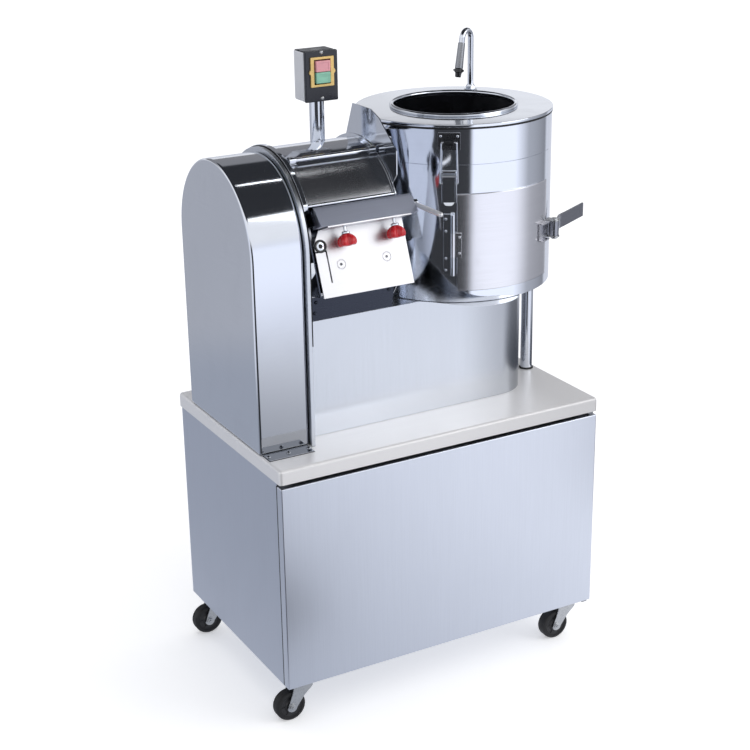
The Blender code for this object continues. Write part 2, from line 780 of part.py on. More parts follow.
def build_frame():
    """The frame of square tube inside the cabinet, with the tabs and pins that the door hangs on."""
    clear = PANEL_SHEET + GAP
    low = Vector((-BODY_HALF_WIDTH + clear, BODY_FRONT_Y, CASTER_HEIGHT + clear))
    high = Vector((BODY_HALF_WIDTH - clear, BODY_BACK_Y - clear, DECK_UNDER_Z - GAP))
    frame = box("cabinet_frame", low, high, FRAME_STEEL)
    tube = Vector((FRAME_TUBE, FRAME_TUBE, FRAME_TUBE))
    for axis in range(3):
        reach = Vector((0.0, 0.0, 0.0))
        reach[axis] = FRAME_TUBE + OVERRUN
        cut(frame, box("frame_window", low + tube - reach, high - tube + reach))
    pivot_x, pivot_y = door_pivot()
    half_tab = DOOR_TAB_WIDTH / 2
    tab_back = BODY_FRONT_Y + FRAME_TUBE / 2
    door_top = DECK_Z - DOOR_TOP_DROP
    upper = door_top + DOOR_TAB_GAP
    lower = CASTER_HEIGHT + DOOR_BOTTOM_GAP - DOOR_TAB_GAP
    for name, start, way in (("upper", upper, 1), ("lower", lower, -1)):
        ends = sorted((start, start + way * DOOR_TAB_SHEET))
        tab = box(f"{name}_tab", (pivot_x - half_tab, pivot_y - half_tab / 2, ends[0]),
                  (pivot_x + DOOR_PIVOT_INSET / 2, tab_back, ends[1]))
        pin = cylinder(f"{name}_pin", DOOR_PIVOT_RADIUS, DOOR_PIN_LENGTH,
                       (pivot_x, pivot_y, start - way * (DOOR_PIN_LENGTH / 2 - DOOR_TAB_SHEET / 2)))
        join(frame, tab, pin)
    reach = box("lower_tab_stem", (pivot_x - half_tab, BODY_FRONT_Y + PANEL_SHEET, lower - DOOR_TAB_SHEET),
                (pivot_x, tab_back, CASTER_HEIGHT + FRAME_TUBE / 2))
    notch = box("shell_notch", (pivot_x - half_tab - GAP, BODY_FRONT_Y - OVERRUN, CASTER_HEIGHT - OVERRUN),
                (pivot_x + GAP, tab_back + GAP, CASTER_HEIGHT + OVERRUN))
    join(frame, reach)
    cut(bpy.data.objects["cabinet_shell"], notch)
    cut(frame, cylinder("rail_pipe_hole", PIPE_RADIUS + 2 * GAP, 4 * FRAME_TUBE, (PIPE_X, PIPE_Y, DECK_Z)))
    catch_z = (DECK_Z + CASTER_HEIGHT) / 2
    catch = box("door_catch", (low.x + FRAME_TUBE - CATCH_SIZE, BODY_FRONT_Y - DOOR_BACK_GAP + 2 * GAP,
                               catch_z),
                (low.x + FRAME_TUBE + CATCH_SIZE / 2, BODY_FRONT_Y + CATCH_SIZE / 2, catch_z + CATCH_SIZE))
    join(frame, catch)


def build_door():
    """The folded cabinet door, hung at its right edge."""
    half = CABINET_WIDTH / 2 - DOOR_SIDE_MARGIN
    bottom = CASTER_HEIGHT + DOOR_BOTTOM_GAP
    door = box("cabinet_door", (-half, FRONT_Y, bottom), (half, FRONT_Y + DOOR_THICKNESS,
                                                          DECK_Z - DOOR_TOP_DROP),
               SATIN_STEEL, open_side=((0, 1, 0),))
    soften(door, DOOR_EDGE_RADIUS, 2)
    thicken(door, DOOR_SHEET)
    pivot_x, pivot_y = door_pivot()
    hole = cylinder("door_pivot_hole", DOOR_PIVOT_RADIUS + DOOR_PIVOT_PLAY, CABINET_HEIGHT,
                    (pivot_x, pivot_y, CASTER_HEIGHT + CABINET_HEIGHT / 2))
    cut(door, hole)
    move_origin(door, (pivot_x, pivot_y, bottom))


def build_caster(name, x, y):
    """One swivel caster: its plate under the cabinet, and its fork and wheel, which trail to the left."""
    plate_z = CASTER_HEIGHT - CASTER_PLATE_SHEET
    race_top = plate_z - GAP
    race_bottom = race_top - CASTER_RACE_HEIGHT
    half = CASTER_PLATE / 2
    mount = box(f"plate_{name}", (x - half, y - half, plate_z),
                (x + half, y + half, CASTER_HEIGHT + PANEL_SHEET / 2))
    head_z = race_bottom - GAP
    pin = turned(f"kingpin_{name}",
                 [(0.0, plate_z + CASTER_PLATE_SHEET / 2), (KINGPIN_RADIUS,
                                                            plate_z + CASTER_PLATE_SHEET / 2),
                  (KINGPIN_RADIUS, head_z), (KINGPIN_HEAD_RADIUS, head_z),
                  (KINGPIN_HEAD_RADIUS, head_z - KINGPIN_HEAD_HEIGHT), (0.0, head_z - KINGPIN_HEAD_HEIGHT)],
                 (x, y, 0.0))
    join(bpy.data.objects["cabinet_shell"], mount, pin)
    swivel = holder(f"swivel_{name}", (x, y, WHEEL_RADIUS))
    rise = race_bottom - WHEEL_RADIUS
    fork = turned(f"caster_fork_{name}",
                  [(CASTER_RACE_RADIUS, rise + CASTER_RACE_HEIGHT), (CASTER_RACE_RADIUS, rise),
                   (KINGPIN_RADIUS + GAP, rise), (KINGPIN_RADIUS + GAP, rise + CASTER_RACE_HEIGHT)],
                  FLAT, material=ZINC, parent=swivel)
    inner = WHEEL_WIDTH / 2 + FORK_PLAY
    bottom = arc((-CASTER_TRAIL, 0.0), AXLE_HEAD_RADIUS + FORK_SHEET, 200, 340, 6)
    cheek = bottom + [(FORK_TOP_REACH, rise + FORK_SHEET), (-FORK_TOP_REACH, rise + FORK_SHEET)]
    for side in (-1, 1):
        leg = plate("cheek", cheek, FORK_SHEET, (0.0, side * (inner + FORK_SHEET / 2), 0.0), ACROSS_Y,
                    parent=swivel)
        nut = cylinder("axle_nut", AXLE_HEAD_RADIUS, AXLE_HEAD_HEIGHT * 2,
                       (-CASTER_TRAIL, side * (inner + FORK_SHEET), 0.0), ALONG_Y, parent=swivel, steps=6)
        cut(nut, box("nut_trim", (-CASTER_TRAIL - OVERRUN, -inner, -OVERRUN),
                     (-CASTER_TRAIL + OVERRUN, inner, OVERRUN), parent=swivel))
        join(fork, leg, nut)
    axle = cylinder("axle", AXLE_RADIUS, 2 * (inner + FORK_SHEET), (-CASTER_TRAIL, 0.0, 0.0), ALONG_Y,
                    parent=swivel,
                    steps=12)
    join(fork, axle)
    half_width = WHEEL_WIDTH / 2
    flat = half_width - WHEEL_ROUND
    bore = AXLE_RADIUS + GAP
    crown = arc((WHEEL_RADIUS - WHEEL_ROUND, flat), WHEEL_ROUND, 90, 0, 2)
    profile = crown + [(r, -w) for r, w in crown[::-1]]
    recess = half_width - WHEEL_HUB_RECESS
    rim = WHEEL_RADIUS * WHEEL_RIM_SHARE
    dish = WHEEL_RADIUS * WHEEL_DISH_SHARE
    boss = WHEEL_HUB_RADIUS * WHEEL_BOSS_SHARE
    profile += [(rim, -half_width), (dish, -recess), (WHEEL_HUB_RADIUS, -recess), (boss, -half_width),
                (bore, -half_width), (bore, half_width), (boss, half_width), (WHEEL_HUB_RADIUS, recess),
                (dish, recess), (rim, half_width)]
    turned(f"caster_wheel_{name}", profile, (x - CASTER_TRAIL, y, WHEEL_RADIUS), ALONG_Y, BLACK_RUBBER,
           steps=WHEEL_STEPS)


def build_casters():
    """Four casters, one under each corner."""
    for depth, y in (("front", -CASTER_Y), ("rear", CASTER_Y)):
        for side, x in (("left", -CASTER_X), ("right", CASTER_X)):
            build_caster(f"{depth}_{side}", x, y)


# Slicing head drive
def v_pulley(name, radius, at, bore, hub_length):
    """A pulley with a groove as wide as its belt, seen along its own axis."""
    half = PULLEY_WIDTH / 2
    groove = BELT_WIDTH / 2 + GAP
    floor = radius - BELT_SEAT_GAP
    rim = radius + BELT_THICKNESS + PULLEY_RIM / 2
    web_radius = radius - PULLEY_RIM_DEPTH
    solid = web_radius < PULLEY_HUB_RADIUS
    outline = [(rim, half), (rim, groove), (floor, groove), (floor, -groove), (rim, -groove), (rim, -half)]
    web = PULLEY_WEB / 2
    if not solid:
        outline += [(web_radius, -half), (web_radius, -web), (PULLEY_HUB_RADIUS, -web)]
        outline += [(PULLEY_HUB_RADIUS, -half), (bore, -half), (bore, hub_length - half)]
        outline += [(PULLEY_HUB_RADIUS, hub_length - half), (PULLEY_HUB_RADIUS, web), (web_radius, web),
                    (web_radius, half)]
    else:
        outline += [(bore, -half), (bore, half)]
    return turned(name, outline, at, ALONG_X, CAST_METAL, steps=PULLEY_STEPS)


def build_cutter_drive():
    """Motor, belt, pulleys, shaft, bearing and rotor of the slicing head."""
    axis = (BELT_X, CUTTER_AXIS_Y, CUTTER_Z)
    v_pulley("cutter_pulley", BIG_PULLEY_RADIUS, axis, SHAFT_RADIUS + SHAFT_PLAY, PULLEY_WIDTH)
    length = SHAFT_RIGHT - SHAFT_LEFT
    cylinder("cutter_shaft", SHAFT_RADIUS, length, ((SHAFT_LEFT + SHAFT_RIGHT) / 2, CUTTER_AXIS_Y,
                                                    CUTTER_Z), ALONG_X,
             FRAME_STEEL)
    carrier_left = GUARD_RIGHT + GAP
    bearing_left = carrier_left - BEARING_WIDTH
    bore = SHAFT_RADIUS + SHAFT_PLAY
    step = BEARING_WIDTH / 2
    turned("cutter_bearing",
           [(BEARING_RADIUS, BEARING_WIDTH - GAP), (BEARING_RADIUS, step), (PULLEY_HUB_RADIUS, step),
            (PULLEY_HUB_RADIUS, step / 2), (bore, step / 2), (bore, BEARING_WIDTH - GAP)],
           (bearing_left, CUTTER_AXIS_Y, CUTTER_Z), ALONG_X, CAST_METAL)
    disc_right = ROTOR_DISC_SHEET
    rotor = turned("cutter_rotor",
                   [(ROTOR_RADIUS, disc_right), (ROTOR_RADIUS, 0.0), (bore, 0.0), (bore, ROTOR_HUB_LENGTH),
                    (ROTOR_HUB_RADIUS, ROTOR_HUB_LENGTH), (ROTOR_HUB_RADIUS, disc_right)],
                   (ROTOR_DISC_LEFT, CUTTER_AXIS_Y, CUTTER_Z), ALONG_X, SATIN_STEEL, steps=ROUND_STEPS * 2)
    vane_length = VANE_RIGHT - ROTOR_DISC_LEFT - disc_right / 2
    vanes = holder("vane_circle", (ROTOR_DISC_LEFT, CUTTER_AXIS_Y, CUTTER_Z))
    for index in range(VANE_COUNT):
        spoke = holder("vane_place", FLAT, (math.tau * index / VANE_COUNT, 0.0, 0.0), vanes)
        join(rotor, box("vane", (disc_right / 2, -VANE_SHEET / 2, VANE_ROOT),
                        (disc_right / 2 + vane_length, VANE_SHEET / 2, ROTOR_RADIUS - GAP), parent=spoke))
    motor_axis = (BELT_X, CUTTER_AXIS_Y, MOTOR_Z)
    small = v_pulley("cutter_motor_pulley", SMALL_PULLEY_RADIUS, motor_axis,
                     MOTOR_SHAFT_RADIUS * MOTOR_SHAFT_CORE_SHARE, PULLEY_WIDTH)
    seat = MOTOR_LEFT + MOTOR_SHAFT_SEAT
    left = BELT_X - PULLEY_WIDTH / 2 - GAP
    stub = cylinder("motor_shaft", MOTOR_SHAFT_RADIUS, seat - left,
                    ((left + seat) / 2, CUTTER_AXIS_Y, MOTOR_Z), ALONG_X)
    join(small, stub)
    build_cutter_motor(seat)
    build_belt(motor_axis)


def build_cutter_motor(seat):
    """The motor that drives the slicing head, standing on the cabinet's floor."""
    end = MOTOR_END_WIDTH
    length = MOTOR_RIGHT - MOTOR_LEFT
    hole = MOTOR_SHAFT_RADIUS + GAP
    depth = seat - MOTOR_LEFT + GAP
    motor = turned("cutter_motor",
                   [(0.0, length), (MOTOR_END_RADIUS, length), (MOTOR_RADIUS, length - end),
                    (MOTOR_RADIUS, end),
                    (MOTOR_END_RADIUS, 0.0), (hole, 0.0), (hole, depth), (0.0, depth)],
                   (MOTOR_LEFT, CUTTER_AXIS_Y, MOTOR_Z), ALONG_X, MOTOR_PAINT)
    floor = CASTER_HEIGHT + PANEL_SHEET + GAP
    middle = (MOTOR_LEFT + MOTOR_RIGHT) / 2
    foot = box("motor_foot", (middle - MOTOR_FOOT_WIDTH / 2, CUTTER_AXIS_Y - MOTOR_FOOT_DEPTH / 2, floor),
               (middle + MOTOR_FOOT_WIDTH / 2, CUTTER_AXIS_Y + MOTOR_FOOT_DEPTH / 2,
                MOTOR_Z - MOTOR_RADIUS * MOTOR_FOOT_SHARE))
    half = MOTOR_BOX_SIZE / 2
    terminal = box("motor_terminal_box", (middle - half, CUTTER_AXIS_Y - half, MOTOR_Z),
                   (middle + half, CUTTER_AXIS_Y + half, MOTOR_Z + MOTOR_RADIUS + half))
    join(motor, foot, terminal)


def build_belt(motor_axis):
    """The belt between motor and slicing head, one closed loop."""
    rise = CUTTER_Z - motor_axis[2]
    lean = math.degrees(math.asin((BIG_PULLEY_RADIUS - SMALL_PULLEY_RADIUS) / rise))
    loops = []
    for extra in (BELT_THICKNESS, 0.0):
        top = arc((CUTTER_AXIS_Y, CUTTER_Z), BIG_PULLEY_RADIUS + extra, -lean, 180 + lean, ROUND_STEPS)
        bottom = arc((CUTTER_AXIS_Y, motor_axis[2]), SMALL_PULLEY_RADIUS + extra, 180 + lean, 360 - lean,
                     ROUND_STEPS // 2)
        loops.append(top + bottom)
    plate("cutter_belt", loops[0], BELT_WIDTH, (BELT_X, 0.0, 0.0), ACROSS_X, BLACK_RUBBER, holes=loops[1:])


# Slicing head housing
def arch(radius, foot_z):
    """An upright arch about the slicing head's axis, down to a foot."""
    centre = (CUTTER_AXIS_Y, CUTTER_Z)
    return [(centre[0] + radius, foot_z), *arc(centre, radius, 0, 180, ROUND_STEPS),
            (centre[0] - radius, foot_z)]


def build_guard():
    """The arched belt guard at the left and the arched plate that carries the slicing head."""
    middle = (GUARD_LEFT + GUARD_RIGHT) / 2
    foot = DECK_Z + GAP
    guard = plate("belt_guard", arch(GUARD_RADIUS, foot), GUARD_RIGHT - GUARD_LEFT, (middle, 0.0, 0.0),
                  ACROSS_X,
                  MIRROR_STEEL)
    inside = plate("guard_inside", arch(GUARD_RADIUS - GUARD_SHEET, foot - OVERRUN),
                   GUARD_RIGHT - GUARD_LEFT,
                   (middle + GUARD_SHEET, 0.0, 0.0), ACROSS_X)
    cut(guard, inside)
    front = CUTTER_AXIS_Y - GUARD_RADIUS
    flange = box("guard_foot", (GUARD_LEFT + GUARD_FOOT_INSET, front - GUARD_FOOT_DEPTH, foot),
                 (GUARD_RIGHT - GUARD_FOOT_INSET, front + GUARD_SHEET / 2, foot + GUARD_FOOT_SHEET))
    join(guard, flange)
    left = GUARD_RIGHT + GAP
    right = left + CARRIER_THICKNESS
    carrier = plate("head_carrier", arch(CARRIER_RADIUS, foot), CARRIER_THICKNESS,
                    ((left + right) / 2, 0.0, 0.0),
                    ACROSS_X, SATIN_STEEL)
    step = box("carrier_foot", (right - CARRIER_THICKNESS / 2, SKIRT_FRONT_Y + 2 * SKIRT_SHEET, foot),
               (right + CARRIER_FOOT, CUTTER_AXIS_Y + CARRIER_RADIUS / 2, foot + CARRIER_FOOT_SHEET))
    join(carrier, step)
    hole = cylinder("carrier_hole", SHAFT_RADIUS + 4 * SHAFT_PLAY, OVERRUN,
                    (left, CUTTER_AXIS_Y, CUTTER_Z), ALONG_X)
    cut(carrier, hole)


def on_front(drop, out):
    """A point (Y, Z) of the leaning front plane, by its drop along the plate and its distance in front."""
    lean = math.radians(FRONT_LEAN)
    y = FRONT_TOP_Y - drop * math.sin(lean) - out * math.cos(lean)
    z = DECK_Z + FRONT_TOP_RISE - drop * math.cos(lean) + out * math.sin(lean)
    return y, z


def build_casing():
    """The slicing head's drum-shaped casing with cheeks, apron and saddles."""
    inner = CASING_RADIUS - CASING_SHEET
    flange = CASING_LEFT + CASING_FLANGE_WIDTH
    end = CASING_RIGHT - CASING_SHEET
    outline = [(CASING_FLANGE_RADIUS, CASING_LEFT), (CASING_FLANGE_RADIUS, flange), (CASING_RADIUS, flange),
               (CASING_RADIUS, end), (CASING_RIM_RADIUS, end), (CASING_RIM_RADIUS, CASING_RIGHT),
               (FEED_RADIUS, CASING_RIGHT), (FEED_RADIUS, end), (inner, end), (inner, CASING_LEFT)]
    casing = turned("cutter_casing", outline, (0.0, CUTTER_AXIS_Y, CUTTER_Z), ALONG_X, MIRROR_STEEL,
                    steps=DRUM_STEPS)
    centre = (CUTTER_AXIS_Y, CUTTER_Z)
    middle = (flange + end) / 2
    opening = plate("casing_opening",
                    band(centre, CASING_RADIUS - SHELL_OPEN_DEPTH, CASING_FLANGE_RADIUS + OVERRUN,
                         SHELL_OPEN_FROM,
                         SHELL_OPEN_TO, ROUND_STEPS),
                    end - flange - 2 * GAP, (middle, 0.0, 0.0), ACROSS_X)
    back = FRONT_SHEET + GAP
    hood_back = (HOOD_BACK_Y + HOOD_SHEET, DECK_Z + HOOD_BACK_RISE + HOOD_SHEET)
    front_room = [on_front(FRONT_LENGTH + OVERRUN, -back), on_front(0.0, -back), hood_back,
                  (hood_back[0], hood_back[1] + OVERRUN), on_front(-OVERRUN, CASING_RADIUS),
                  on_front(FRONT_LENGTH + OVERRUN, CASING_RADIUS)]
    cut(casing, opening, plate("front_room", front_room, end - flange + CASING_RADIUS,
                               (CASING_RIGHT, 0.0, 0.0), ACROSS_X))
    root = CASING_RADIUS - 4 * CASING_SHEET
    clear = HOOD_SHEET + GAP
    lip = on_front(-2 * clear, FRONT_FLANGE - 3 * clear)
    apron_foot = (APRON_FOOT_Y, DECK_Z + APRON_FOOT_RISE)
    apron_top = polar(centre, CASING_RADIUS - CASING_SHEET / 2, SHELL_OPEN_TO + APRON_LAP)
    profile = [polar(centre, root, COVER_TO + CHEEK_TOP_LAP),
               polar(centre, CASING_RADIUS, COVER_TO + CHEEK_TOP_LAP),
               (HOOD_TOP_Y + clear, DECK_Z + HOOD_TOP_RISE - 2 * clear), lip,
               on_front(-2 * clear, 0.0), on_front(-2 * clear, -back), on_front(FRONT_LENGTH - back, -back),
               apron_top, polar(centre, root, SHELL_OPEN_TO + CHEEK_FOOT_LAP)]
    for x in (flange - GAP + CHEEK_SHEET / 2, end + CASING_SHEET - GAP - CHEEK_SHEET / 2):
        join(casing, plate("cheek", profile, CHEEK_SHEET, (x, 0.0, 0.0), ACROSS_X))
    width = CASING_RIGHT - CHEEK_SHEET / 2 - flange
    apron = plate("apron", sheet_outline([apron_top, apron_foot], APRON_SHEET), width,
                  ((CASING_RIGHT - CHEEK_SHEET / 2 + flange) / 2, 0.0, 0.0), ACROSS_X)
    join(casing, apron)
    bottom = CUTTER_Z - CASING_RADIUS
    for share in SADDLE_SHARES:
        x = flange + (end - flange) * share
        saddle = box("saddle", (x - SADDLE_WIDTH / 2, CUTTER_AXIS_Y - SADDLE_DEPTH / 2, SHELF_Z + GAP),
                     (x + SADDLE_WIDTH / 2, CUTTER_AXIS_Y + SADDLE_DEPTH / 2,
                      bottom + CASING_SHEET * SADDLE_SINK_SHARE))
        join(casing, saddle)


def build_cover():
    """The curved cover over the rotor, hinged on a rod at its upper edge."""
    centre = (CUTTER_AXIS_Y, CUTTER_Z)
    flange = CASING_LEFT + CASING_FLANGE_WIDTH
    end = CASING_RIGHT - CASING_SHEET
    left = flange + 2 * GAP
    right = end - 2 * GAP
    middle = (left + right) / 2
    hinge = polar(centre, CASING_RADIUS + COVER_HINGE_STANDOFF, COVER_HINGE_ANGLE)
    outer = CASING_RADIUS
    cover = plate("cutter_cover", band(centre, outer - COVER_SHEET, outer, COVER_FROM, COVER_TO, 12),
                  right - left,
                  (middle, 0.0, 0.0), ACROSS_X, MIRROR_STEEL)
    knuckle_width = right - left - 2 * COVER_LUG_WIDTH
    knuckle = cylinder("cover_knuckle", COVER_KNUCKLE_RADIUS, knuckle_width, (middle, *hinge), ALONG_X,
                       steps=12)
    link_foot = polar(centre, outer - COVER_SHEET / 2, COVER_LINK_ANGLE)
    link = plate("cover_link", sheet_outline([link_foot, hinge], COVER_LINK_SHEET), knuckle_width - 2 * GAP,
                 (middle, 0.0, 0.0), ACROSS_X)
    bar = cylinder("cover_bar", COVER_BAR_RADIUS, right - left,
                   (middle, *polar(centre, outer + COVER_BAR_STANDOFF / 2,
                   COVER_TO)), ALONG_X, steps=12)
    join(cover, knuckle, link, bar)
    cut(cover, cylinder("cover_rod_hole", COVER_ROD_RADIUS + COVER_KNUCKLE_PLAY, CABINET_WIDTH,
                        (middle, *hinge),
                        ALONG_X, steps=12))
    move_origin(cover, (middle, *hinge))
    rod = cylinder("cover_hinge", COVER_ROD_RADIUS, right - left, (middle, *hinge), ALONG_X, MIRROR_STEEL,
                   steps=12)
    for x in (left + COVER_LUG_WIDTH / 2, right - COVER_LUG_WIDTH / 2):
        lug = cylinder("cover_lug", COVER_LUG_RADIUS, COVER_LUG_WIDTH - 2 * COVER_KNUCKLE_PLAY,
                       (x, *hinge), ALONG_X)
        cut(lug, cylinder("lug_trim", CASING_RADIUS + GAP, CABINET_WIDTH, (x, *centre), ALONG_X,
                          steps=DRUM_STEPS * 2))
        join(rod, lug)


def build_front():
    """The leaning front plate with its flange, the blade behind it and the star knobs under it."""
    middle = (FRONT_LEFT + FRONT_RIGHT) / 2
    lean = math.radians(90 - FRONT_LEAN)
    plane = holder("front_plane", (middle, FRONT_TOP_Y, DECK_Z + FRONT_TOP_RISE), (lean, 0.0, 0.0))
    half = (FRONT_RIGHT - FRONT_LEFT) / 2
    outline = [(-half, -FRONT_LENGTH), (half, -FRONT_LENGTH), (half, 0.0), (FRONT_CORNER_WIDTH - half, 0.0),
               (-half, -FRONT_CORNER_DROP)]
    front = plate("front_plate", outline, FRONT_SHEET, (0.0, 0.0, -FRONT_SHEET / 2), material=MIRROR_STEEL,
                  parent=plane)
    flange = box("front_flange", (FRONT_CORNER_WIDTH - half, -FRONT_SHEET, -FRONT_SHEET / 2),
                 (half, 0.0, FRONT_FLANGE), parent=plane)
    join(front, flange)
    inset = SLOT_INSET - half
    across = box("slot_across", (-half - OVERRUN, -SLOT_DROP - SLOT_WIDTH, -OVERRUN),
                 (inset, -SLOT_DROP, OVERRUN),
                 parent=plane)
    down = box("slot_down", (inset - SLOT_WIDTH, -SLOT_DROP - SLOT_LENGTH, -OVERRUN),
               (inset, -SLOT_DROP, OVERRUN),
               parent=plane)
    cut(front, across, down)
    blade_z = -FRONT_SHEET - GAP
    box("cutter_blade", (BLADE_LEFT - middle, -BLADE_DROP - BLADE_WIDTH / 2, blade_z - BLADE_THICKNESS),
        (BLADE_RIGHT - middle, -BLADE_DROP + BLADE_WIDTH / 2, blade_z), SATIN_STEEL, parent=plane)
    upright = (-math.pi / 2, 0.0, 0.0)
    for name, x in zip(("left", "right"), KNOB_X):
        seat = holder(f"knob_seat_{name}", (x - middle, -KNOB_DROP, KNOB_OUT), upright, plane)
        steps = KNOB_LOBES * KNOB_LOBE_STEPS
        angles = [math.tau * step / steps for step in range(steps)]
        star = [((KNOB_RADIUS + KNOB_LOBE * math.cos(KNOB_LOBES * a)) * math.cos(a),
                 (KNOB_RADIUS + KNOB_LOBE * math.cos(KNOB_LOBES * a)) * math.sin(a)) for a in angles]
        knob = plate(f"star_knob_{name}", star, KNOB_HEIGHT, material=RED_PLASTIC, parent=seat)
        soften(knob, KNOB_EDGE)
        reach = KNOB_DROP + STUD_ABOVE
        join(knob, cylinder("stud", STUD_RADIUS, reach, (0.0, 0.0, reach / 2), parent=seat, steps=12))
        for target in ("front_plate", "hood"):
            hole = cylinder("stud_hole", STUD_RADIUS + STUD_PLAY, 2 * reach, FLAT, parent=seat, steps=12)
            cut(bpy.data.objects[target], hole)
    return plane


def build_hood():
    """The bent hood above the front plate, closed at both ends, and the lock lever at its right end."""
    back = (HOOD_BACK_Y, DECK_Z + HOOD_BACK_RISE)
    top = (HOOD_TOP_Y, DECK_Z + HOOD_TOP_RISE)
    lip = on_front(-GAP, FRONT_FLANGE)
    inner = on_front(-GAP, FRONT_SHEET)
    path = [back, top, lip, inner]
    middle = (HOOD_LEFT + HOOD_RIGHT) / 2
    hood = plate("hood", sheet_outline(path, HOOD_SHEET), HOOD_RIGHT - HOOD_LEFT, (middle, 0.0, 0.0),
                 ACROSS_X,
                 SATIN_STEEL)
    right = HOOD_RIGHT - HOOD_SHEET / 2 - GAP
    left = HOOD_LEFT + HOOD_SHEET / 2 + GAP
    for x in (left, right):
        inset = HOOD_SHEET / 2
        closing = [(back[0], back[1] - inset), (top[0] + inset, top[1] - inset),
                   (lip[0] + 2 * inset, lip[1] + inset / 2),
                   (inner[0], inner[1] + inset)]
        join(hood, plate("hood_end", closing, HOOD_SHEET, (x, 0.0, 0.0), ACROSS_X))
    hub_x = HOOD_RIGHT + GAP + LOCK_HUB_WIDTH / 2
    pivot = (hub_x, LOCK_Y, DECK_Z + LOCK_RISE)
    lock = cylinder("lock_lever", LOCK_HUB_RADIUS, LOCK_HUB_WIDTH, pivot, ALONG_X, MIRROR_STEEL)
    rod = cylinder("lock_rod", LOCK_ROD_RADIUS, LOCK_ROD_LENGTH,
                   (pivot[0], pivot[1] - LOCK_ROD_LENGTH / 2, pivot[2]),
                   ALONG_Y, steps=16)
    join(lock, rod)


def funnel_corners(sheet, above, reach):
    """The corners of the funnel, moved in by a sheet, raised above its top and run on to the left."""
    top = DECK_Z + HOPPER_TOP_RISE + above
    left = HOPPER_LEFT + HOPPER_SHEET / 2
    right = HOPPER_RIGHT - sheet
    front = 2 * sheet
    back = HOPPER_BACK_Y - sheet
    floor = DECK_Z + sheet
    lefts = [(left, HOPPER_FRONT_Y + front, top), (left, back, top),
             (left, back, floor + HOPPER_FLOOR_LEFT_RISE),
             (left, HOPPER_FLOOR_FRONT_Y + front, floor + HOPPER_FLOOR_LEFT_RISE)]
    rights = [(right, HOPPER_INNER_Y + front, top), (right, back, top),
              (right, back, floor + HOPPER_FLOOR_RIGHT_RISE),
              (right, HOPPER_INNER_Y + front, floor + HOPPER_FLOOR_RIGHT_RISE)]
    share = reach / (right - left)
    lefts = [Vector(one).lerp(Vector(other), -share) for one, other in zip(lefts, rights)]
    return lefts + rights


def build_hopper():
    """The feed hopper: an upright plate on the casing's end and a funnel that slopes to the feed hole."""
    centre = (CUTTER_AXIS_Y, CUTTER_Z)
    rises = [(HOPPER_LIP_BACK_Y, HOPPER_LIP_RISE), (HOPPER_LIP_FRONT_Y, HOPPER_LIP_RISE),
             (HOPPER_LIP_CORNER_Y, HOPPER_LIP_CORNER_RISE), (HOPPER_NOSE_Y, HOPPER_NOSE_TOP_RISE),
             (HOPPER_NOSE_Y, HOPPER_NOSE_BOTTOM_RISE)]
    outline = [(y, DECK_Z + rise) for y, rise in rises]
    outline += arc(centre, HOPPER_WALL_RADIUS, HOPPER_WALL_FROM, HOPPER_WALL_TO, HOPPER_WALL_STEPS)
    x = HOPPER_LEFT + HOPPER_SHEET / 2
    wall = plate("feed_hopper", outline, HOPPER_SHEET, (x, 0.0, 0.0), ACROSS_X, MIRROR_STEEL,
                 holes=[arc(centre, FEED_RADIUS, 0, 360 - 360 / ROUND_STEPS, ROUND_STEPS - 1)])
    outer = funnel_corners(0.0, 0.0, 0.0)
    inner = funnel_corners(HOPPER_SHEET, OVERRUN, HOPPER_SHEET)
    funnel = cut(hull("hopper_funnel", outer), hull("funnel_inside", inner))
    join(wall, funnel)


# Skirt and drum
def skirt_plan(inset):
    """The skirt's plan from its left front end round to its left back end, set in by a distance."""
    left = GUARD_RIGHT + GAP + CARRIER_THICKNESS + GAP
    radius = SKIRT_CORNER - inset
    right = SKIRT_RIGHT_X - SKIRT_CORNER
    front = (right, SKIRT_FRONT_Y + SKIRT_CORNER)
    back = (right, SKIRT_BACK_Y - SKIRT_CORNER)
    corner = arc(front, radius, -90, 0, SKIRT_STEPS) + arc(back, radius, 0, 90, SKIRT_STEPS)
    return [(left, SKIRT_FRONT_Y + inset)], corner, [(left, SKIRT_BACK_Y - inset)]


def build_skirt():
    """The folded skirt, whose front edge sweeps down to the drum, and the shelf that closes it."""
    start, corner, end = skirt_plan(0.0)
    span = SKIRT_SWEEP_END_X - SKIRT_SWEEP_START_X
    high = DECK_Z + SKIRT_HIGH_RISE
    drop = high - SHELF_Z
    path = [(start[0][0], start[0][1], high)]
    for step in range(SKIRT_SWEEP_STEPS + 1):
        share = step / SKIRT_SWEEP_STEPS
        eased = math.sin(share * math.pi / 2) ** SKIRT_SWEEP_SHARE
        path.append((SKIRT_SWEEP_START_X + span * share, SKIRT_FRONT_Y, high - drop * eased))
    path += [(x, y, SHELF_Z) for x, y in corner + end]
    bm = bmesh.new()
    foot = [bm.verts.new((x, y, DECK_Z + GAP)) for x, y, _ in path]
    edge = [bm.verts.new(point) for point in path]
    for index in range(len(path) - 1):
        bm.faces.new((foot[index], foot[index + 1], edge[index + 1], edge[index]))
    skirt = from_bmesh("skirt", bm, MIRROR_STEEL)
    thicken(skirt, SKIRT_SHEET)
    start, corner, end = skirt_plan(SKIRT_SHEET + GAP)
    shelf = plate("shelf_plate", start + corner + end, SHELF_SHEET, (0.0, 0.0, SHELF_Z - SHELF_SHEET / 2),
                  FLAT,
                  SATIN_STEEL)
    cut(shelf, cylinder("shelf_shaft_hole", SHAFT_RADIUS + 4 * SHAFT_PLAY, OVERRUN,
                        (DRUM_X, DRUM_Y, SHELF_Z)))


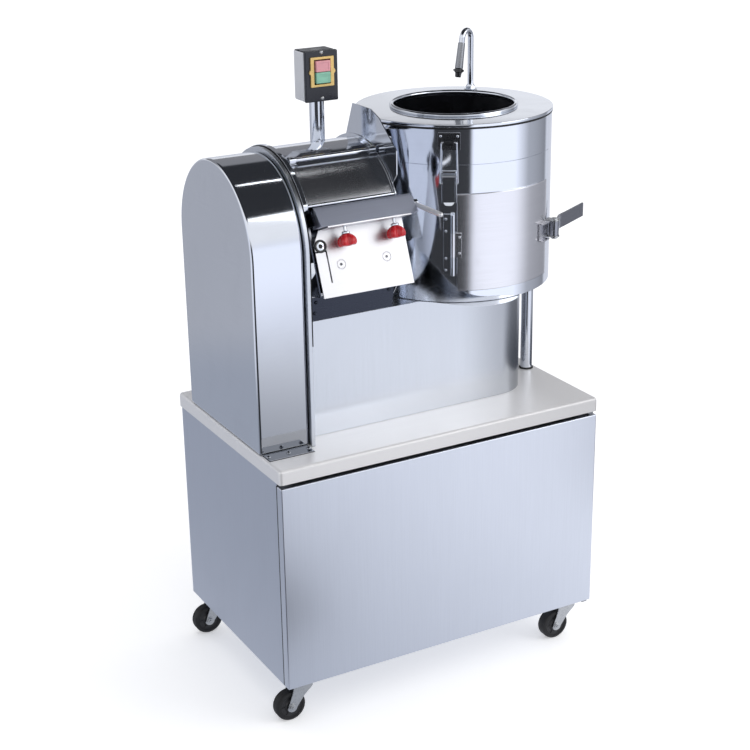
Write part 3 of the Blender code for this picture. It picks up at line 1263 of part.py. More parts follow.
def doorway(name, inner, outer, play_angle, play):
    """A block of the discharge doorway's shape between two radii, grown or shrunk by a play."""
    outline = band(FLAT, inner, outer, DOORWAY_FROM + GATE_LAP_ANGLE - play_angle,
                   DOORWAY_TO - GATE_LAP_ANGLE + play_angle, GATE_STEPS)
    low = DECK_Z + DOORWAY_BOTTOM + GATE_LAP - play
    high = DECK_Z + DOORWAY_TOP - GATE_LAP + play
    return plate(name, outline, high - low, (DRUM_X, DRUM_Y, (low + high) / 2))


def build_drum():
    """The drum's barrel with its doorway, the abrasive liner, and the cap with the mouth."""
    at = (DRUM_X, DRUM_Y, 0.0)
    inner = DRUM_RADIUS - DRUM_SHEET
    floor_top = DRUM_FLOOR_Z + DRUM_FLOOR_SHEET
    hole = SHAFT_RADIUS + 4 * SHAFT_PLAY
    top = SEAM_Z - GAP
    barrel = turned("drum_barrel",
                    [(DRUM_RADIUS, top), (DRUM_RADIUS, DRUM_FLOOR_Z), (hole, DRUM_FLOOR_Z),
                     (hole, floor_top),
                     (inner, floor_top), (inner, top)],
                    at, material=MIRROR_STEEL, steps=DRUM_STEPS)
    drain = cylinder("drain_hole", PIPE_RADIUS - PIPE_WALL, OVERRUN, (PIPE_X, PIPE_Y, DRUM_FLOOR_Z))
    cut(barrel, doorway("barrel_doorway", inner - OVERRUN, DRUM_RADIUS + OVERRUN, 0.0, 0.0), drain)
    liner_outer = inner - GAP
    liner_inner = liner_outer - LINER_THICKNESS
    liner = turned("abrasive_liner",
                   [(liner_outer, top - LINER_TOP_GAP), (liner_outer, floor_top + GAP),
                    (liner_inner, floor_top + GAP),
                    (liner_inner, top - LINER_TOP_GAP)],
                   at, material=ABRASIVE, steps=DRUM_STEPS)
    cut(liner, doorway("liner_doorway", inner - OVERRUN, DRUM_RADIUS + OVERRUN, 0.0, 0.0))
    groove_top = DRUM_TOP_Z - CAP_EDGE_HEIGHT
    groove = groove_top - CAP_GROOVE_HEIGHT
    bead_z = DRUM_TOP_Z + MOUTH_BEAD / 2
    bead = arc((MOUTH_RADIUS + MOUTH_BEAD, bead_z), MOUTH_BEAD, 30, 180, MOUTH_BEAD_STEPS)
    lid_under = DRUM_TOP_Z - DRUM_SHEET
    throat = MOUTH_RADIUS + DRUM_SHEET
    turned("drum_cap",
           [*bead[::-1], (bead[0][0] + DRUM_SHEET / 2, DRUM_TOP_Z), (CAP_EDGE_RADIUS, DRUM_TOP_Z),
            (CAP_EDGE_RADIUS, groove_top),
            (DRUM_RADIUS - CAP_GROOVE_DEPTH / 2, groove_top), (DRUM_RADIUS - CAP_GROOVE_DEPTH / 2, groove),
            (DRUM_RADIUS, groove), (DRUM_RADIUS, SEAM_Z), (inner, SEAM_Z),
            (inner - CAP_GROOVE_DEPTH, groove),
            (inner - CAP_GROOVE_DEPTH, lid_under), (throat, lid_under), (throat, lid_under - DRUM_SHEET),
            (MOUTH_RADIUS, lid_under - DRUM_SHEET)],
           at, material=MIRROR_STEEL, steps=DRUM_STEPS)


def build_peeler_drive():
    """The abrasive disc, its shaft and bearing column, and the gearmotor under the deck."""
    at = (DRUM_X, DRUM_Y, 0.0)
    bore = SHAFT_RADIUS + SHAFT_PLAY
    disc_z = DECK_Z + DISC_RISE
    disc_top = disc_z + DISC_THICKNESS
    hub_z = DRUM_FLOOR_Z + DRUM_FLOOR_SHEET + 2 * SHAFT_PLAY
    disc = turned("peeler_disc",
                  [(DISC_RADIUS, disc_top), (DISC_RADIUS, disc_z), (DISC_HUB_RADIUS, disc_z),
                   (DISC_HUB_RADIUS, hub_z),
                   (bore, hub_z), (bore, disc_top)],
                  at, material=ABRASIVE, steps=DRUM_STEPS)
    for index in range(DISC_RIDGES):
        spoke = holder("ridge_place", at, (0.0, 0.0, math.tau * index / DISC_RIDGES))
        ridge = box("ridge", (RIDGE_INNER, -RIDGE_WIDTH / 2, disc_z + DISC_THICKNESS / 2),
                    (DISC_RADIUS * RIDGE_REACH_SHARE, RIDGE_WIDTH / 2, disc_top + RIDGE_HEIGHT),
                    parent=spoke)
        soften(ridge, RIDGE_HEIGHT / 2)
        join(disc, ridge)
    socket = DECK_UNDER_Z - GAP - GEARMOTOR_SOCKET
    nut = disc_top + SHAFT_PLAY
    turned("peeler_shaft",
           [(0.0, nut + DISC_NUT_HEIGHT), (DISC_NUT_RADIUS, nut + DISC_NUT_HEIGHT), (DISC_NUT_RADIUS, nut),
            (SHAFT_RADIUS, nut), (SHAFT_RADIUS, socket + GAP), (0.0, socket + GAP)],
           at, material=FRAME_STEEL)
    foot = DECK_Z + GAP
    head = SHELF_Z - SHELF_SHEET - GAP
    step = COLUMN_FLANGE_HEIGHT
    turned("bearing_column",
           [(COLUMN_FLANGE_RADIUS, head), (COLUMN_FLANGE_RADIUS, head - step), (COLUMN_RADIUS, head - step),
            (COLUMN_RADIUS, foot + step), (COLUMN_FLANGE_RADIUS, foot + step), (COLUMN_FLANGE_RADIUS, foot),
            (bore, foot), (bore, head)],
           at, material=CAST_METAL)
    top = DECK_UNDER_Z - GAP
    flange = top - GEARMOTOR_FLANGE_HEIGHT
    bottom = top - GEARMOTOR_LENGTH
    turned("peeler_gearmotor",
           [(0.0, socket), (bore, socket), (bore, top), (GEARMOTOR_FLANGE_RADIUS, top),
            (GEARMOTOR_FLANGE_RADIUS, flange), (GEARMOTOR_RADIUS, flange),
            (GEARMOTOR_RADIUS, bottom + MOTOR_END_WIDTH), (GEARMOTOR_RADIUS - MOTOR_END_WIDTH / 2, bottom),
            (0.0, bottom)],
           at, material=MOTOR_PAINT)
    pipe_inner = PIPE_RADIUS - PIPE_WALL
    turned("drain_pipe",
           [(PIPE_RADIUS, DRUM_FLOOR_Z - GAP), (PIPE_RADIUS, foot + PIPE_COLLAR_HEIGHT),
            (PIPE_COLLAR_RADIUS, foot + PIPE_COLLAR_HEIGHT), (PIPE_COLLAR_RADIUS, foot),
            (PIPE_RADIUS, foot),
            (PIPE_RADIUS, DECK_Z - PIPE_BELOW_DECK), (pipe_inner, DECK_Z - PIPE_BELOW_DECK),
            (pipe_inner, DRUM_FLOOR_Z - GAP)],
           (PIPE_X, PIPE_Y, 0.0), material=MIRROR_STEEL)


def drum_side(name, angle, standoff=0.0, rise=0.0):
    """An empty on the drum's side whose X points away from the drum."""
    x, y = polar((DRUM_X, DRUM_Y), DRUM_RADIUS + standoff, angle)
    return holder(name, (x, y, DECK_Z + rise), (0.0, 0.0, math.radians(angle)))


def build_gate():
    """The discharge door with its plug, and its hinge at the left."""
    low = DECK_Z + DOORWAY_BOTTOM
    high = DECK_Z + DOORWAY_TOP
    inner = DRUM_RADIUS + 2 * GAP
    outline = band(FLAT, inner, inner + GATE_SHEET, DOORWAY_FROM, DOORWAY_TO, GATE_STEPS)
    gate = plate("discharge_door", outline, high - low, (DRUM_X, DRUM_Y, (low + high) / 2),
                 material=MIRROR_STEEL)
    plug = doorway("door_plug", DRUM_RADIUS - GATE_PLUG_DEPTH, inner + GATE_SHEET / 2,
                   -GATE_PLUG_PLAY_ANGLE,
                   -GATE_PLUG_PLAY)
    axis = drum_side("gate_axis", HINGE_ANGLE, HINGE_STANDOFF)
    length = HINGE_TOP - HINGE_BOTTOM
    low_cut, high_cut = (HINGE_BOTTOM + length * share for share in HINGE_GATE_SHARES)
    gate_knuckle = cylinder("gate_knuckle", HINGE_RADIUS, high_cut - low_cut,
                            (0.0, 0.0, (low_cut + high_cut) / 2),
                            parent=axis, steps=12)
    out = GATE_SHEET / 2 + 2 * GAP - HINGE_STANDOFF
    strap = box("gate_strap", (out - HINGE_LEAF_SHEET / 2, 0.0, low_cut + GAP),
                (0.0, HINGE_LEAF_WIDTH, high_cut - GAP), parent=axis)
    trim = cylinder("strap_trim", DRUM_RADIUS + GAP, CABINET_HEIGHT,
                    (DRUM_X, DRUM_Y, DECK_Z + CABINET_HEIGHT / 2),
                    steps=DRUM_STEPS)
    cut(strap, trim)
    join(gate, plug, gate_knuckle, strap)
    build_gate_pad(gate)
    pin_hole = cylinder("gate_pin_hole", HINGE_PIN_RADIUS + HINGE_PLAY, 2 * length,
                        (0.0, 0.0, HINGE_BOTTOM),
                        parent=axis, steps=12)
    cut(gate, pin_hole)
    x, y = polar((DRUM_X, DRUM_Y), DRUM_RADIUS + HINGE_STANDOFF, HINGE_ANGLE)
    move_origin(gate, (x, y, (low + high) / 2))
    middle = (HINGE_BOTTOM + HINGE_TOP) / 2
    hinge = box("discharge_hinge", (2 * GAP - HINGE_STANDOFF, -HINGE_LEAF_WIDTH, HINGE_BOTTOM),
                (2 * GAP - HINGE_STANDOFF + HINGE_LEAF_SHEET, -HINGE_RADIUS * HINGE_LEAF_LAP_SHARE,
                 HINGE_TOP), ZINC, parent=axis)
    for bottom, top in ((HINGE_BOTTOM, low_cut - GAP), (high_cut + GAP, HINGE_TOP)):
        knuckle = cylinder("hinge_knuckle", HINGE_RADIUS, top - bottom, (0.0, 0.0, (bottom + top) / 2),
                           parent=axis,
                           steps=12)
        toe = box("hinge_toe", (2 * GAP - HINGE_STANDOFF, -HINGE_RADIUS, bottom), (0.0, 0.0, top),
                  parent=axis)
        join(hinge, knuckle, toe)
    join(hinge, cylinder("hinge_pin", HINGE_PIN_RADIUS, length - 2 * GAP, (0.0, 0.0, middle), parent=axis,
                         steps=12))
    hinge_trim = cylinder("hinge_trim", DRUM_RADIUS + GAP, CABINET_HEIGHT,
                          (DRUM_X, DRUM_Y, DECK_Z + CABINET_HEIGHT / 2), steps=DRUM_STEPS)
    cut(hinge, hinge_trim)


def build_gate_pad(gate):
    """The channel on the discharge door's free edge that the lever's nose slides along."""
    seat = drum_side("pad_seat", PAD_ANGLE, 0.0, LEVER_RISE)
    outer = 2 * GAP + GATE_SHEET + PAD_SHEET
    half = PAD_WIDTH / 2
    tall = PAD_HEIGHT / 2
    pad = box("gate_pad", (0.0, -half, -tall), (outer, half, tall), parent=seat)
    for side in (-1, 1):
        ends = sorted((side * tall, side * (tall - PAD_SHEET)))
        join(pad, box("pad_wing", (GAP, GAP - half, ends[0]), (outer + PAD_WING, half - GAP, ends[1]),
                      parent=seat))
    cut(pad, cylinder("pad_trim", DRUM_RADIUS + 2 * GAP + GATE_SHEET / 2, CABINET_HEIGHT,
                      (DRUM_X, DRUM_Y, DECK_Z + CABINET_HEIGHT / 2), steps=DRUM_STEPS))
    join(gate, pad)


def build_gate_lever():
    """The bracket on the drum and the lever whose nose presses the discharge door shut."""
    seat = drum_side("bracket_seat", LEVER_ANGLE, 0.0, LEVER_RISE)
    half = LEVER_WIDTH / 2
    under = half + GAP
    reach = LEVER_STANDOFF + BRACKET_REACH
    bracket = box("lever_bracket", (0.0, -BRACKET_WIDTH / 2 + BRACKET_SHEET, -under - BRACKET_SHEET),
                  (BRACKET_BACK_SHEET, BRACKET_WIDTH / 2, under + BRACKET_SHEET), ZINC, parent=seat)
    for side in (-1, 1):
        ends = sorted((side * under, side * (under + BRACKET_SHEET)))
        join(bracket, box("bracket_arm", (GAP, -BRACKET_WIDTH / 2 + BRACKET_SHEET, ends[0]),
                          (reach, BRACKET_WIDTH / 2, ends[1]), parent=seat))
        head = under + BRACKET_SHEET / 2 + PIVOT_HEAD_HEIGHT / 2
        join(bracket, cylinder("pivot_head", PIVOT_HEAD_RADIUS, PIVOT_HEAD_HEIGHT + BRACKET_SHEET,
                               (LEVER_STANDOFF, 0.0, side * head), parent=seat, steps=6))
    join(bracket, cylinder("pivot_pin", PIVOT_RADIUS, 2 * under + BRACKET_SHEET, (LEVER_STANDOFF, 0.0, 0.0),
                           parent=seat, steps=16))
    cut(bracket, cylinder("bracket_trim", DRUM_RADIUS + GAP, CABINET_HEIGHT,
                          (DRUM_X, DRUM_Y, DECK_Z + CABINET_HEIGHT / 2), steps=DRUM_STEPS * 2))
    x, y = polar((DRUM_X, DRUM_Y), DRUM_RADIUS + LEVER_STANDOFF, LEVER_ANGLE)
    pivot = holder("lever_pivot", (x, y, DECK_Z + LEVER_RISE), (0.0, 0.0, math.radians(LEVER_HEADING)))
    lever = cylinder("discharge_lever", LEVER_HUB_RADIUS, LEVER_WIDTH, FLAT, material=MIRROR_STEEL,
                     parent=pivot)
    strap = box("lever_strap", (0.0, -LEVER_SHEET / 2, -half + GAP),
                (LEVER_LENGTH, LEVER_SHEET / 2, half - GAP),
                parent=pivot)
    nose_way = math.radians(LEVER_NOSE_HEADING)
    nose_at = (LEVER_NOSE_REACH * math.cos(nose_way), LEVER_NOSE_REACH * math.sin(nose_way), 0.0)
    nose = cylinder("lever_nose", LEVER_NOSE_RADIUS, LEVER_WIDTH - 4 * GAP, nose_at, parent=pivot, steps=12)
    neck = box("lever_neck", (0.0, -LEVER_NOSE_RADIUS * LEVER_NECK_SHARE, -half + 3 * GAP),
               (LEVER_NOSE_REACH, LEVER_NOSE_RADIUS * LEVER_NECK_SHARE, half - 3 * GAP),
               parent=holder("neck_way", FLAT, (0.0, 0.0, nose_way), pivot))
    join(lever, strap, nose, neck)
    cut(lever, cylinder("lever_pin_hole", PIVOT_RADIUS + PIVOT_PLAY, 2 * LEVER_WIDTH, FLAT, parent=pivot,
                        steps=16))


def build_latch(name, angle):
    """One toggle latch: its base is welded to the barrel and its keeper to the cap."""
    side = drum_side(f"latch_{name}", angle)
    half = LATCH_BASE_WIDTH / 2
    face = GAP
    base = box(f"base_{name}", (-FITTING_SINK, -half, LATCH_BASE_BOTTOM),
               (face + LATCH_BASE_SHEET, half, LATCH_BASE_TOP), parent=side)
    for way in (-1, 1):
        ends = sorted((way * (half - GAP), way * (half - GAP - LATCH_EAR_SHEET)))
        join(base, box("latch_ear", (face + LATCH_BASE_SHEET / 2, ends[0],
                                     LATCH_PIVOT_RISE - LATCH_EAR_HEIGHT / 2),
                       (face + LATCH_EAR_REACH, ends[1], LATCH_PIVOT_RISE + LATCH_EAR_HEIGHT / 2),
                       parent=side))
    pivot = holder(f"latch_pivot_{name}", (LATCH_PIVOT_STANDOFF, 0.0, LATCH_PIVOT_RISE), parent=side)
    cut(base, cylinder("ear_hole", LATCH_PIVOT_RADIUS + PIVOT_PLAY, OVERRUN + LATCH_BASE_WIDTH, FLAT,
                       ALONG_Y,
                       parent=pivot, steps=12))
    lever_half = LATCH_LEVER_WIDTH / 2
    sheet = LATCH_LEVER_SHEET
    inside_part = sheet * LATCH_LEVER_INSIDE_SHARE
    lever = box(f"latch_lever_{name}", (-inside_part, -lever_half, LATCH_LEVER_ABOVE - LATCH_LEVER_LENGTH),
                (sheet - inside_part, lever_half, LATCH_LEVER_ABOVE), ZINC, parent=pivot)
    move_origin(lever, FLAT)
    join(lever, cylinder("latch_pin", LATCH_PIVOT_RADIUS, LATCH_BASE_WIDTH, FLAT, ALONG_Y, parent=pivot,
                         steps=12))
    foot = holder(f"bail_pivot_{name}", (-BAIL_BACK, 0.0, -BAIL_DROP), parent=pivot)
    top = BAIL_TOP_RISE - LATCH_PIVOT_RISE + BAIL_DROP
    inside = lever_half + BAIL_WIRE * BAIL_SEAT_SHARE
    loop = [(0.0, inside, 0.0), (0.0, BAIL_FOOT_SPREAD, 0.0), (0.0, BAIL_TOP_SPREAD, top),
            (0.0, -BAIL_TOP_SPREAD, top),
            (0.0, -BAIL_FOOT_SPREAD, 0.0), (0.0, -inside, 0.0)]
    wire(f"latch_bail_{name}", loop, BAIL_WIRE, material=ZINC, parent=foot)
    keeper = box(f"keeper_{name}", (-FITTING_SINK, -KEEPER_WIDTH / 2, KEEPER_BOTTOM),
                 (face + KEEPER_SHEET, KEEPER_WIDTH / 2, KEEPER_TOP), parent=side)
    ledge_top = BAIL_TOP_RISE - BAIL_WIRE - GAP
    join(keeper, box("keeper_ledge", (face + KEEPER_SHEET / 2, -KEEPER_LEDGE_WIDTH / 2,
                                      ledge_top - KEEPER_LEDGE_SHEET),
                     (face + KEEPER_LEDGE_REACH, KEEPER_LEDGE_WIDTH / 2, ledge_top), parent=side))
    join(bpy.data.objects["drum_barrel"], base)
    join(bpy.data.objects["drum_cap"], keeper)


def build_latches():
    """The two latches, on opposite sides of the drum."""
    for name, angle in zip(LATCH_NAMES, LATCH_ANGLES):
        build_latch(name, angle)


def build_spout():
    """The swivelling water spout and its fitting on the cap."""
    base_top = SPOUT_BASE_HEIGHT
    nut_top = base_top + SPOUT_NUT_HEIGHT
    bore = SPOUT_RADIUS + GAP
    turned("spout_base",
           [(0.0, base_top / 2), (bore, base_top / 2), (bore, nut_top), (SPOUT_NUT_RADIUS, nut_top),
            (SPOUT_NUT_RADIUS, base_top), (SPOUT_BASE_RADIUS, base_top), (SPOUT_BASE_RADIUS, GAP),
            (0.0, GAP)],
           (SPOUT_X, SPOUT_Y, DRUM_TOP_Z), material=MIRROR_STEEL)
    bend = arc((SPOUT_BEND_RADIUS, SPOUT_BEND_RISE), SPOUT_BEND_RADIUS, 180, SPOUT_BEND_END,
               SPOUT_BEND_STEPS)
    path = [(0.0, base_top / 2 + GAP), *bend, (SPOUT_REACH, SPOUT_TIP_RISE)]
    turn = (0.0, 0.0, math.radians(SPOUT_HEADING))
    at = (SPOUT_X, SPOUT_Y, DRUM_TOP_Z)
    spout = wire("water_spout", [(s, 0.0, z) for s, z in path], SPOUT_RADIUS, at, turn, MIRROR_STEEL,
                 resolution=3)
    last, tip = Vector(path[-2]), Vector(path[-1])
    start = tip + (last - tip).normalized() * NOZZLE_LENGTH
    sleeve = wire("nozzle", [(start.x, 0.0, start.y), (tip.x, 0.0, tip.y)], NOZZLE_RADIUS, at, turn,
                  resolution=3)
    join(spout, sleeve)


def build_switch():
    """The switch box on its post, with its bezel and two buttons."""
    axis_cut = cylinder("post_saddle_cut", CASING_RADIUS + GAP, CABINET_WIDTH,
                        (0.0, CUTTER_AXIS_Y, CUTTER_Z), ALONG_X,
                        steps=DRUM_STEPS)
    bottom = DECK_Z + SWITCH_BOTTOM_RISE
    foot = DECK_Z + POST_FOOT_RISE
    foot_top = foot + POST_FOOT_HEIGHT * 2
    bore = POST_RADIUS - POST_WALL
    post = turned("switch_post",
                  [(POST_RADIUS, bottom - GAP), (POST_RADIUS, foot_top), (POST_FOOT_RADIUS, foot_top),
                   (POST_FOOT_RADIUS, foot), (bore, foot), (bore, bottom - GAP)],
                  (SWITCH_X, SWITCH_Y, 0.0), material=MIRROR_STEEL)
    cut(post, axis_cut)
    half = SWITCH_WIDTH / 2
    front = SWITCH_Y - SWITCH_DEPTH / 2
    body = box("switch_box", (SWITCH_X - half, front, bottom), (SWITCH_X + half, front + SWITCH_DEPTH,
               bottom + SWITCH_HEIGHT), DARK_PLASTIC)
    soften(body, SWITCH_EDGE, 2)
    middle = DECK_Z + BEZEL_RISE
    cut(body, box("switch_window", (SWITCH_X - WINDOW_WIDTH / 2, front - OVERRUN,
                                    middle - WINDOW_HEIGHT / 2),
                  (SWITCH_X + WINDOW_WIDTH / 2, front + WINDOW_DEPTH, middle + WINDOW_HEIGHT / 2)))
    outer = rectangle((-BEZEL_WIDTH / 2, -BEZEL_HEIGHT / 2), (BEZEL_WIDTH / 2, BEZEL_HEIGHT / 2))
    inner = rectangle((-WINDOW_WIDTH / 2, -WINDOW_HEIGHT / 2), (WINDOW_WIDTH / 2, WINDOW_HEIGHT / 2))
    plate("switch_bezel", outer, BEZEL_SHEET, (SWITCH_X, front - GAP - BEZEL_SHEET / 2, middle), ACROSS_Y,
          YELLOW_PLASTIC, holes=[inner])
    face = front - GAP - BEZEL_SHEET - BUTTON_PROUD
    for name, way, paint in (("stop_button", 1, STOP_RED), ("start_button", -1, START_GREEN)):
        z = middle + way * (BUTTON_HEIGHT / 2 + GAP)
        button = box(name, (SWITCH_X - BUTTON_WIDTH / 2, face, z - BUTTON_HEIGHT / 2),
                     (SWITCH_X + BUTTON_WIDTH / 2, face + BUTTON_DEPTH, z + BUTTON_HEIGHT / 2), paint)
        soften(button, BUTTON_EDGE)


def build_screws(plane):
    """The visible screws, each joined to the piece it holds, and the pivot screw of the front plate."""
    profile = [(0.0, SCREW_HEIGHT), (SCREW_RADIUS, SCREW_HEIGHT), (SCREW_RADIUS, WASHER_HEIGHT),
               (WASHER_RADIUS, WASHER_HEIGHT), (WASHER_RADIUS, -SCREW_SINK), (0.0, -SCREW_SINK)]
    for side in (-1, 1):
        join(bpy.data.objects["front_plate"],
             turned("plate_screw", profile, (side * PLATE_SCREW_SPACING / 2, -BLADE_DROP, 0.0),
                    parent=plane, steps=16))
    left = (FRONT_LEFT - FRONT_RIGHT) / 2 + PIVOT_SCREW_INSET
    rim = PIVOT_SCREW_RADIUS
    profile = [(0.0, PIVOT_SCREW_HEIGHT), (SCREW_RADIUS, PIVOT_SCREW_HEIGHT),
               (rim, PIVOT_SCREW_HEIGHT / 2), (rim, 0.0),
               (0.0, 0.0)]
    turned("pivot_screw", profile, (left, -PIVOT_SCREW_DROP, GAP), material=BLACK_RUBBER, parent=plane,
           steps=16)
    head = [(0.0, SCREW_HEIGHT), (SCREW_CROWN_RADIUS, SCREW_HEIGHT), (SCREW_RADIUS, 0.0),
            (SCREW_RADIUS, -SCREW_SINK),
            (0.0, -SCREW_SINK)]
    foot_z = DECK_Z + GAP + GUARD_FOOT_SHEET
    y = CUTTER_AXIS_Y - GUARD_RADIUS - GUARD_FOOT_DEPTH / 2
    for share in GUARD_SCREW_SHARES:
        x = GUARD_LEFT + (GUARD_RIGHT - GUARD_LEFT) * share
        join(bpy.data.objects["belt_guard"], turned("guard_screw", head, (x, y, foot_z), steps=12))
    front = SWITCH_Y - SWITCH_DEPTH / 2
    for z in (BEZEL_RISE + BEZEL_HEIGHT / 2 + SWITCH_SCREW_MARGIN,
              BEZEL_RISE - BEZEL_HEIGHT / 2 - SWITCH_SCREW_MARGIN):
        join(bpy.data.objects["switch_box"],
             turned("switch_screw", head, (SWITCH_X, front, DECK_Z + z), ACROSS_Y, steps=12))


def build_gland():
    """The gland at the back through which a power cord would enter."""
    tail = -GLAND_TAIL
    sheet = PANEL_SHEET + GAP
    turned("cable_gland",
           [(GLAND_RADIUS, GLAND_HEAD), (GLAND_RADIUS, GAP), (GLAND_THREAD_RADIUS, GAP),
            (GLAND_THREAD_RADIUS, -sheet),
            (GLAND_RADIUS, -sheet), (GLAND_RADIUS, tail), (GLAND_BORE_RADIUS, tail),
            (GLAND_BORE_RADIUS, GLAND_HEAD)],
           (GLAND_X, BODY_BACK_Y, CASTER_HEIGHT + GLAND_RISE), ALONG_Y, DARK_PLASTIC, steps=12)


def lever_tip():
    """How far right the discharge lever reaches."""
    x, _ = polar((DRUM_X, DRUM_Y), DRUM_RADIUS + LEVER_STANDOFF, LEVER_ANGLE)
    return x + LEVER_LENGTH * math.cos(math.radians(LEVER_HEADING))


def build_machine():
    """Builds every piece and puts the footprint's middle on the world's origin."""
    PARTS.objects.link(MACHINE)
    build_deck()
    build_shell()
    build_frame()
    build_door()
    build_casters()
    build_cutter_drive()
    build_guard()
    build_casing()
    build_cover()
    build_hood()
    plane = build_front()
    build_hopper()
    build_skirt()
    build_drum()
    build_peeler_drive()
    build_gate()
    build_gate_lever()
    build_latches()
    build_spout()
    build_switch()
    build_screws(plane)
    build_gland()
    middle_x = (lever_tip() - LEFT_REACH) / 2
    middle_y = (BACK_REACH - FRONT_REACH) / 2
    MACHINE.location = (-middle_x, -middle_y, 0.0)
    bpy.context.view_layer.update()


build_machine()
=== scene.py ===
"""Finishes a potato peeling and slicing machine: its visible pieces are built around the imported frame.

Every piece is built in the machine's own frame, in metres: X to the right, Y to the back, Z up, with zero
on the floor under the middle of the cabinet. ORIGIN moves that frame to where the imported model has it.
"""
import json
import math

import bmesh
import bpy
from bpy.props import FloatProperty, FloatVectorProperty, IntProperty, PointerProperty
from bpy.types import Operator, Panel, PropertyGroup
from mathutils import Euler, Matrix, Vector

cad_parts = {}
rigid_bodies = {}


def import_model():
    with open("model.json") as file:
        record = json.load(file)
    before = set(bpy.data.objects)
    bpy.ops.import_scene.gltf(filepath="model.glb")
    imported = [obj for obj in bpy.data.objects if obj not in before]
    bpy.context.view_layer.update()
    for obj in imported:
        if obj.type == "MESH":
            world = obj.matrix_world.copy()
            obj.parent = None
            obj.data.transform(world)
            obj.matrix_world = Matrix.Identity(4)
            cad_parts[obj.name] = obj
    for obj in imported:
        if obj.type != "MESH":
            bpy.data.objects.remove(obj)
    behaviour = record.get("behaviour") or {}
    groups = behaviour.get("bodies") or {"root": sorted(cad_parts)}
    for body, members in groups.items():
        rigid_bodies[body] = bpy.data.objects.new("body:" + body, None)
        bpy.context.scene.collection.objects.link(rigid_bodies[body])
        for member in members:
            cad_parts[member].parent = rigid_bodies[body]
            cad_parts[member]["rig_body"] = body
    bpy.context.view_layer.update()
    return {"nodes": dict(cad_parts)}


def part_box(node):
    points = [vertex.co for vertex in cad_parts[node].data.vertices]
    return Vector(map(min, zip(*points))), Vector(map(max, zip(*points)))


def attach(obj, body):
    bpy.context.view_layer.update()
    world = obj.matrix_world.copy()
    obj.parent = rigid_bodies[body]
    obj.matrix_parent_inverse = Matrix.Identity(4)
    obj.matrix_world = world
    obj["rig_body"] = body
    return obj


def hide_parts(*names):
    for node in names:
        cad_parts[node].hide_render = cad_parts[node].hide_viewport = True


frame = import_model()

bl_info = {
    "name": "Potato peeler machine",
    "version": (1, 0, 0),
    "blender": (4, 5, 0),
    "location": "3D View > Sidebar > Peeler",
    "description": "Builds the visible pieces, finishes and studio of a potato peeling and slicing machine",
    "category": "Object",
}

worktop_low, worktop_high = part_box("worktop")
ORIGIN = Vector(((worktop_low.x + worktop_high.x) / 2, (worktop_low.y + worktop_high.y) / 2, 0.0))
DECK = worktop_high.z
GAP = 0.0003
WELD = 0.00001
FLAT = math.radians(0.4)
SIDES = (-1, 1)

# Cabinet and what stands on it
TOP_X = 0.36
TOP_Y = 0.238
CASTER_X = 0.315
CASTER_Y = 0.2
SKIRT_FRONT = -0.121
SHAFT_HOLE = 0.0137
DRAIN = (0.335, -0.015)

# Slicing head
AXIS_Y = 0.008
AXIS_Z = DECK + 0.371
HEAD_CENTRE = (AXIS_Y, AXIS_Z)
HEAD_PLACE = (0.0, AXIS_Y, AXIS_Z)
CASING_RADIUS = 0.168
CASING_LEFT = -0.246
CASING_RIGHT = -0.052
GUARD_RADIUS = 0.163
GUARD_LEFT = -0.36
GUARD_RIGHT = -0.2553
FRONT_LEAN = math.radians(21.5)
FRONT_TOP = (-0.139, DECK + 0.415)
FRONT_LEFT = -0.231
FRONT_RIGHT = -0.04
FRONT_MIDDLE = (FRONT_LEFT + FRONT_RIGHT) / 2
FRONT_LENGTH = 0.1275
KNOB_X = (-0.174, -0.0705)
KNOB_OUT = 0.0235
HOOD_LIP = (-0.15, DECK + 0.4545)

# Drum
DRUM = (0.227, 0.106)
DRUM_RADIUS = 0.201
DRUM_FLOOR = DECK + 0.1956
DRUM_SEAM = DECK + 0.4775
DRUM_TOP = DECK + 0.5567
SHELF = DECK + 0.1953
LATCHES = (("front", -124.3), ("rear", 55.7))

# Turns that lay a lathed piece along the machine's axes
UPRIGHT = (0.0, 0.0, 0.0)
ALONG_X = (0.0, math.pi / 2, 0.0)
ALONG_Y = (-math.pi / 2, 0.0, 0.0)
UPSIDE_DOWN = (math.pi, 0.0, 0.0)

# Ways
RIGHTWARD = (1.0, 0.0, 0.0)
LEFTWARD = (-1.0, 0.0, 0.0)
FORWARD = (0.0, -1.0, 0.0)
UPWARD = (0.0, 0.0, 1.0)
DOWNWARD = (0.0, 0.0, -1.0)


# Sizes and colours that a user may change
def colour_setting(name, description, default):
    """A colour that a user may change."""
    return FloatVectorProperty(name=name, description=description, default=default, min=0.0, max=1.0,
                               size=3, subtype="COLOR")


def radius_setting(name, description, default, low, high):
    """A radius that a user may change."""
    return FloatProperty(name=name, description=description, default=default, min=low, max=high,
                         unit="LENGTH")


class CabinetLook(PropertyGroup):
    """The folded sheets of the cabinet and its casters."""

    worktop_radius: radius_setting("Worktop fold", "Outer radius of the worktop's folded edges", 0.007,
                                   0.001, 0.008)
    door_radius: radius_setting("Door fold", "Outer radius of the door's folded edges", 0.0025, 0.001,
                                0.006)
    panel_colour: colour_setting("Panel steel", "Colour of the satin side and back sheets",
                                 (0.66, 0.695, 0.775))
    door_colour: colour_setting("Door steel", "Colour of the satin door", (0.71, 0.745, 0.82))
    # Near white and used with little metal, this colour stands in for the bright sheen on the worktop's top
    # (painted sheen)
    worktop_colour: colour_setting("Worktop steel", "Colour of the brushed worktop", (0.97, 0.96, 0.96))
    tyre_colour: colour_setting("Tyre rubber", "Colour of the caster tyres", (0.009, 0.009, 0.01))


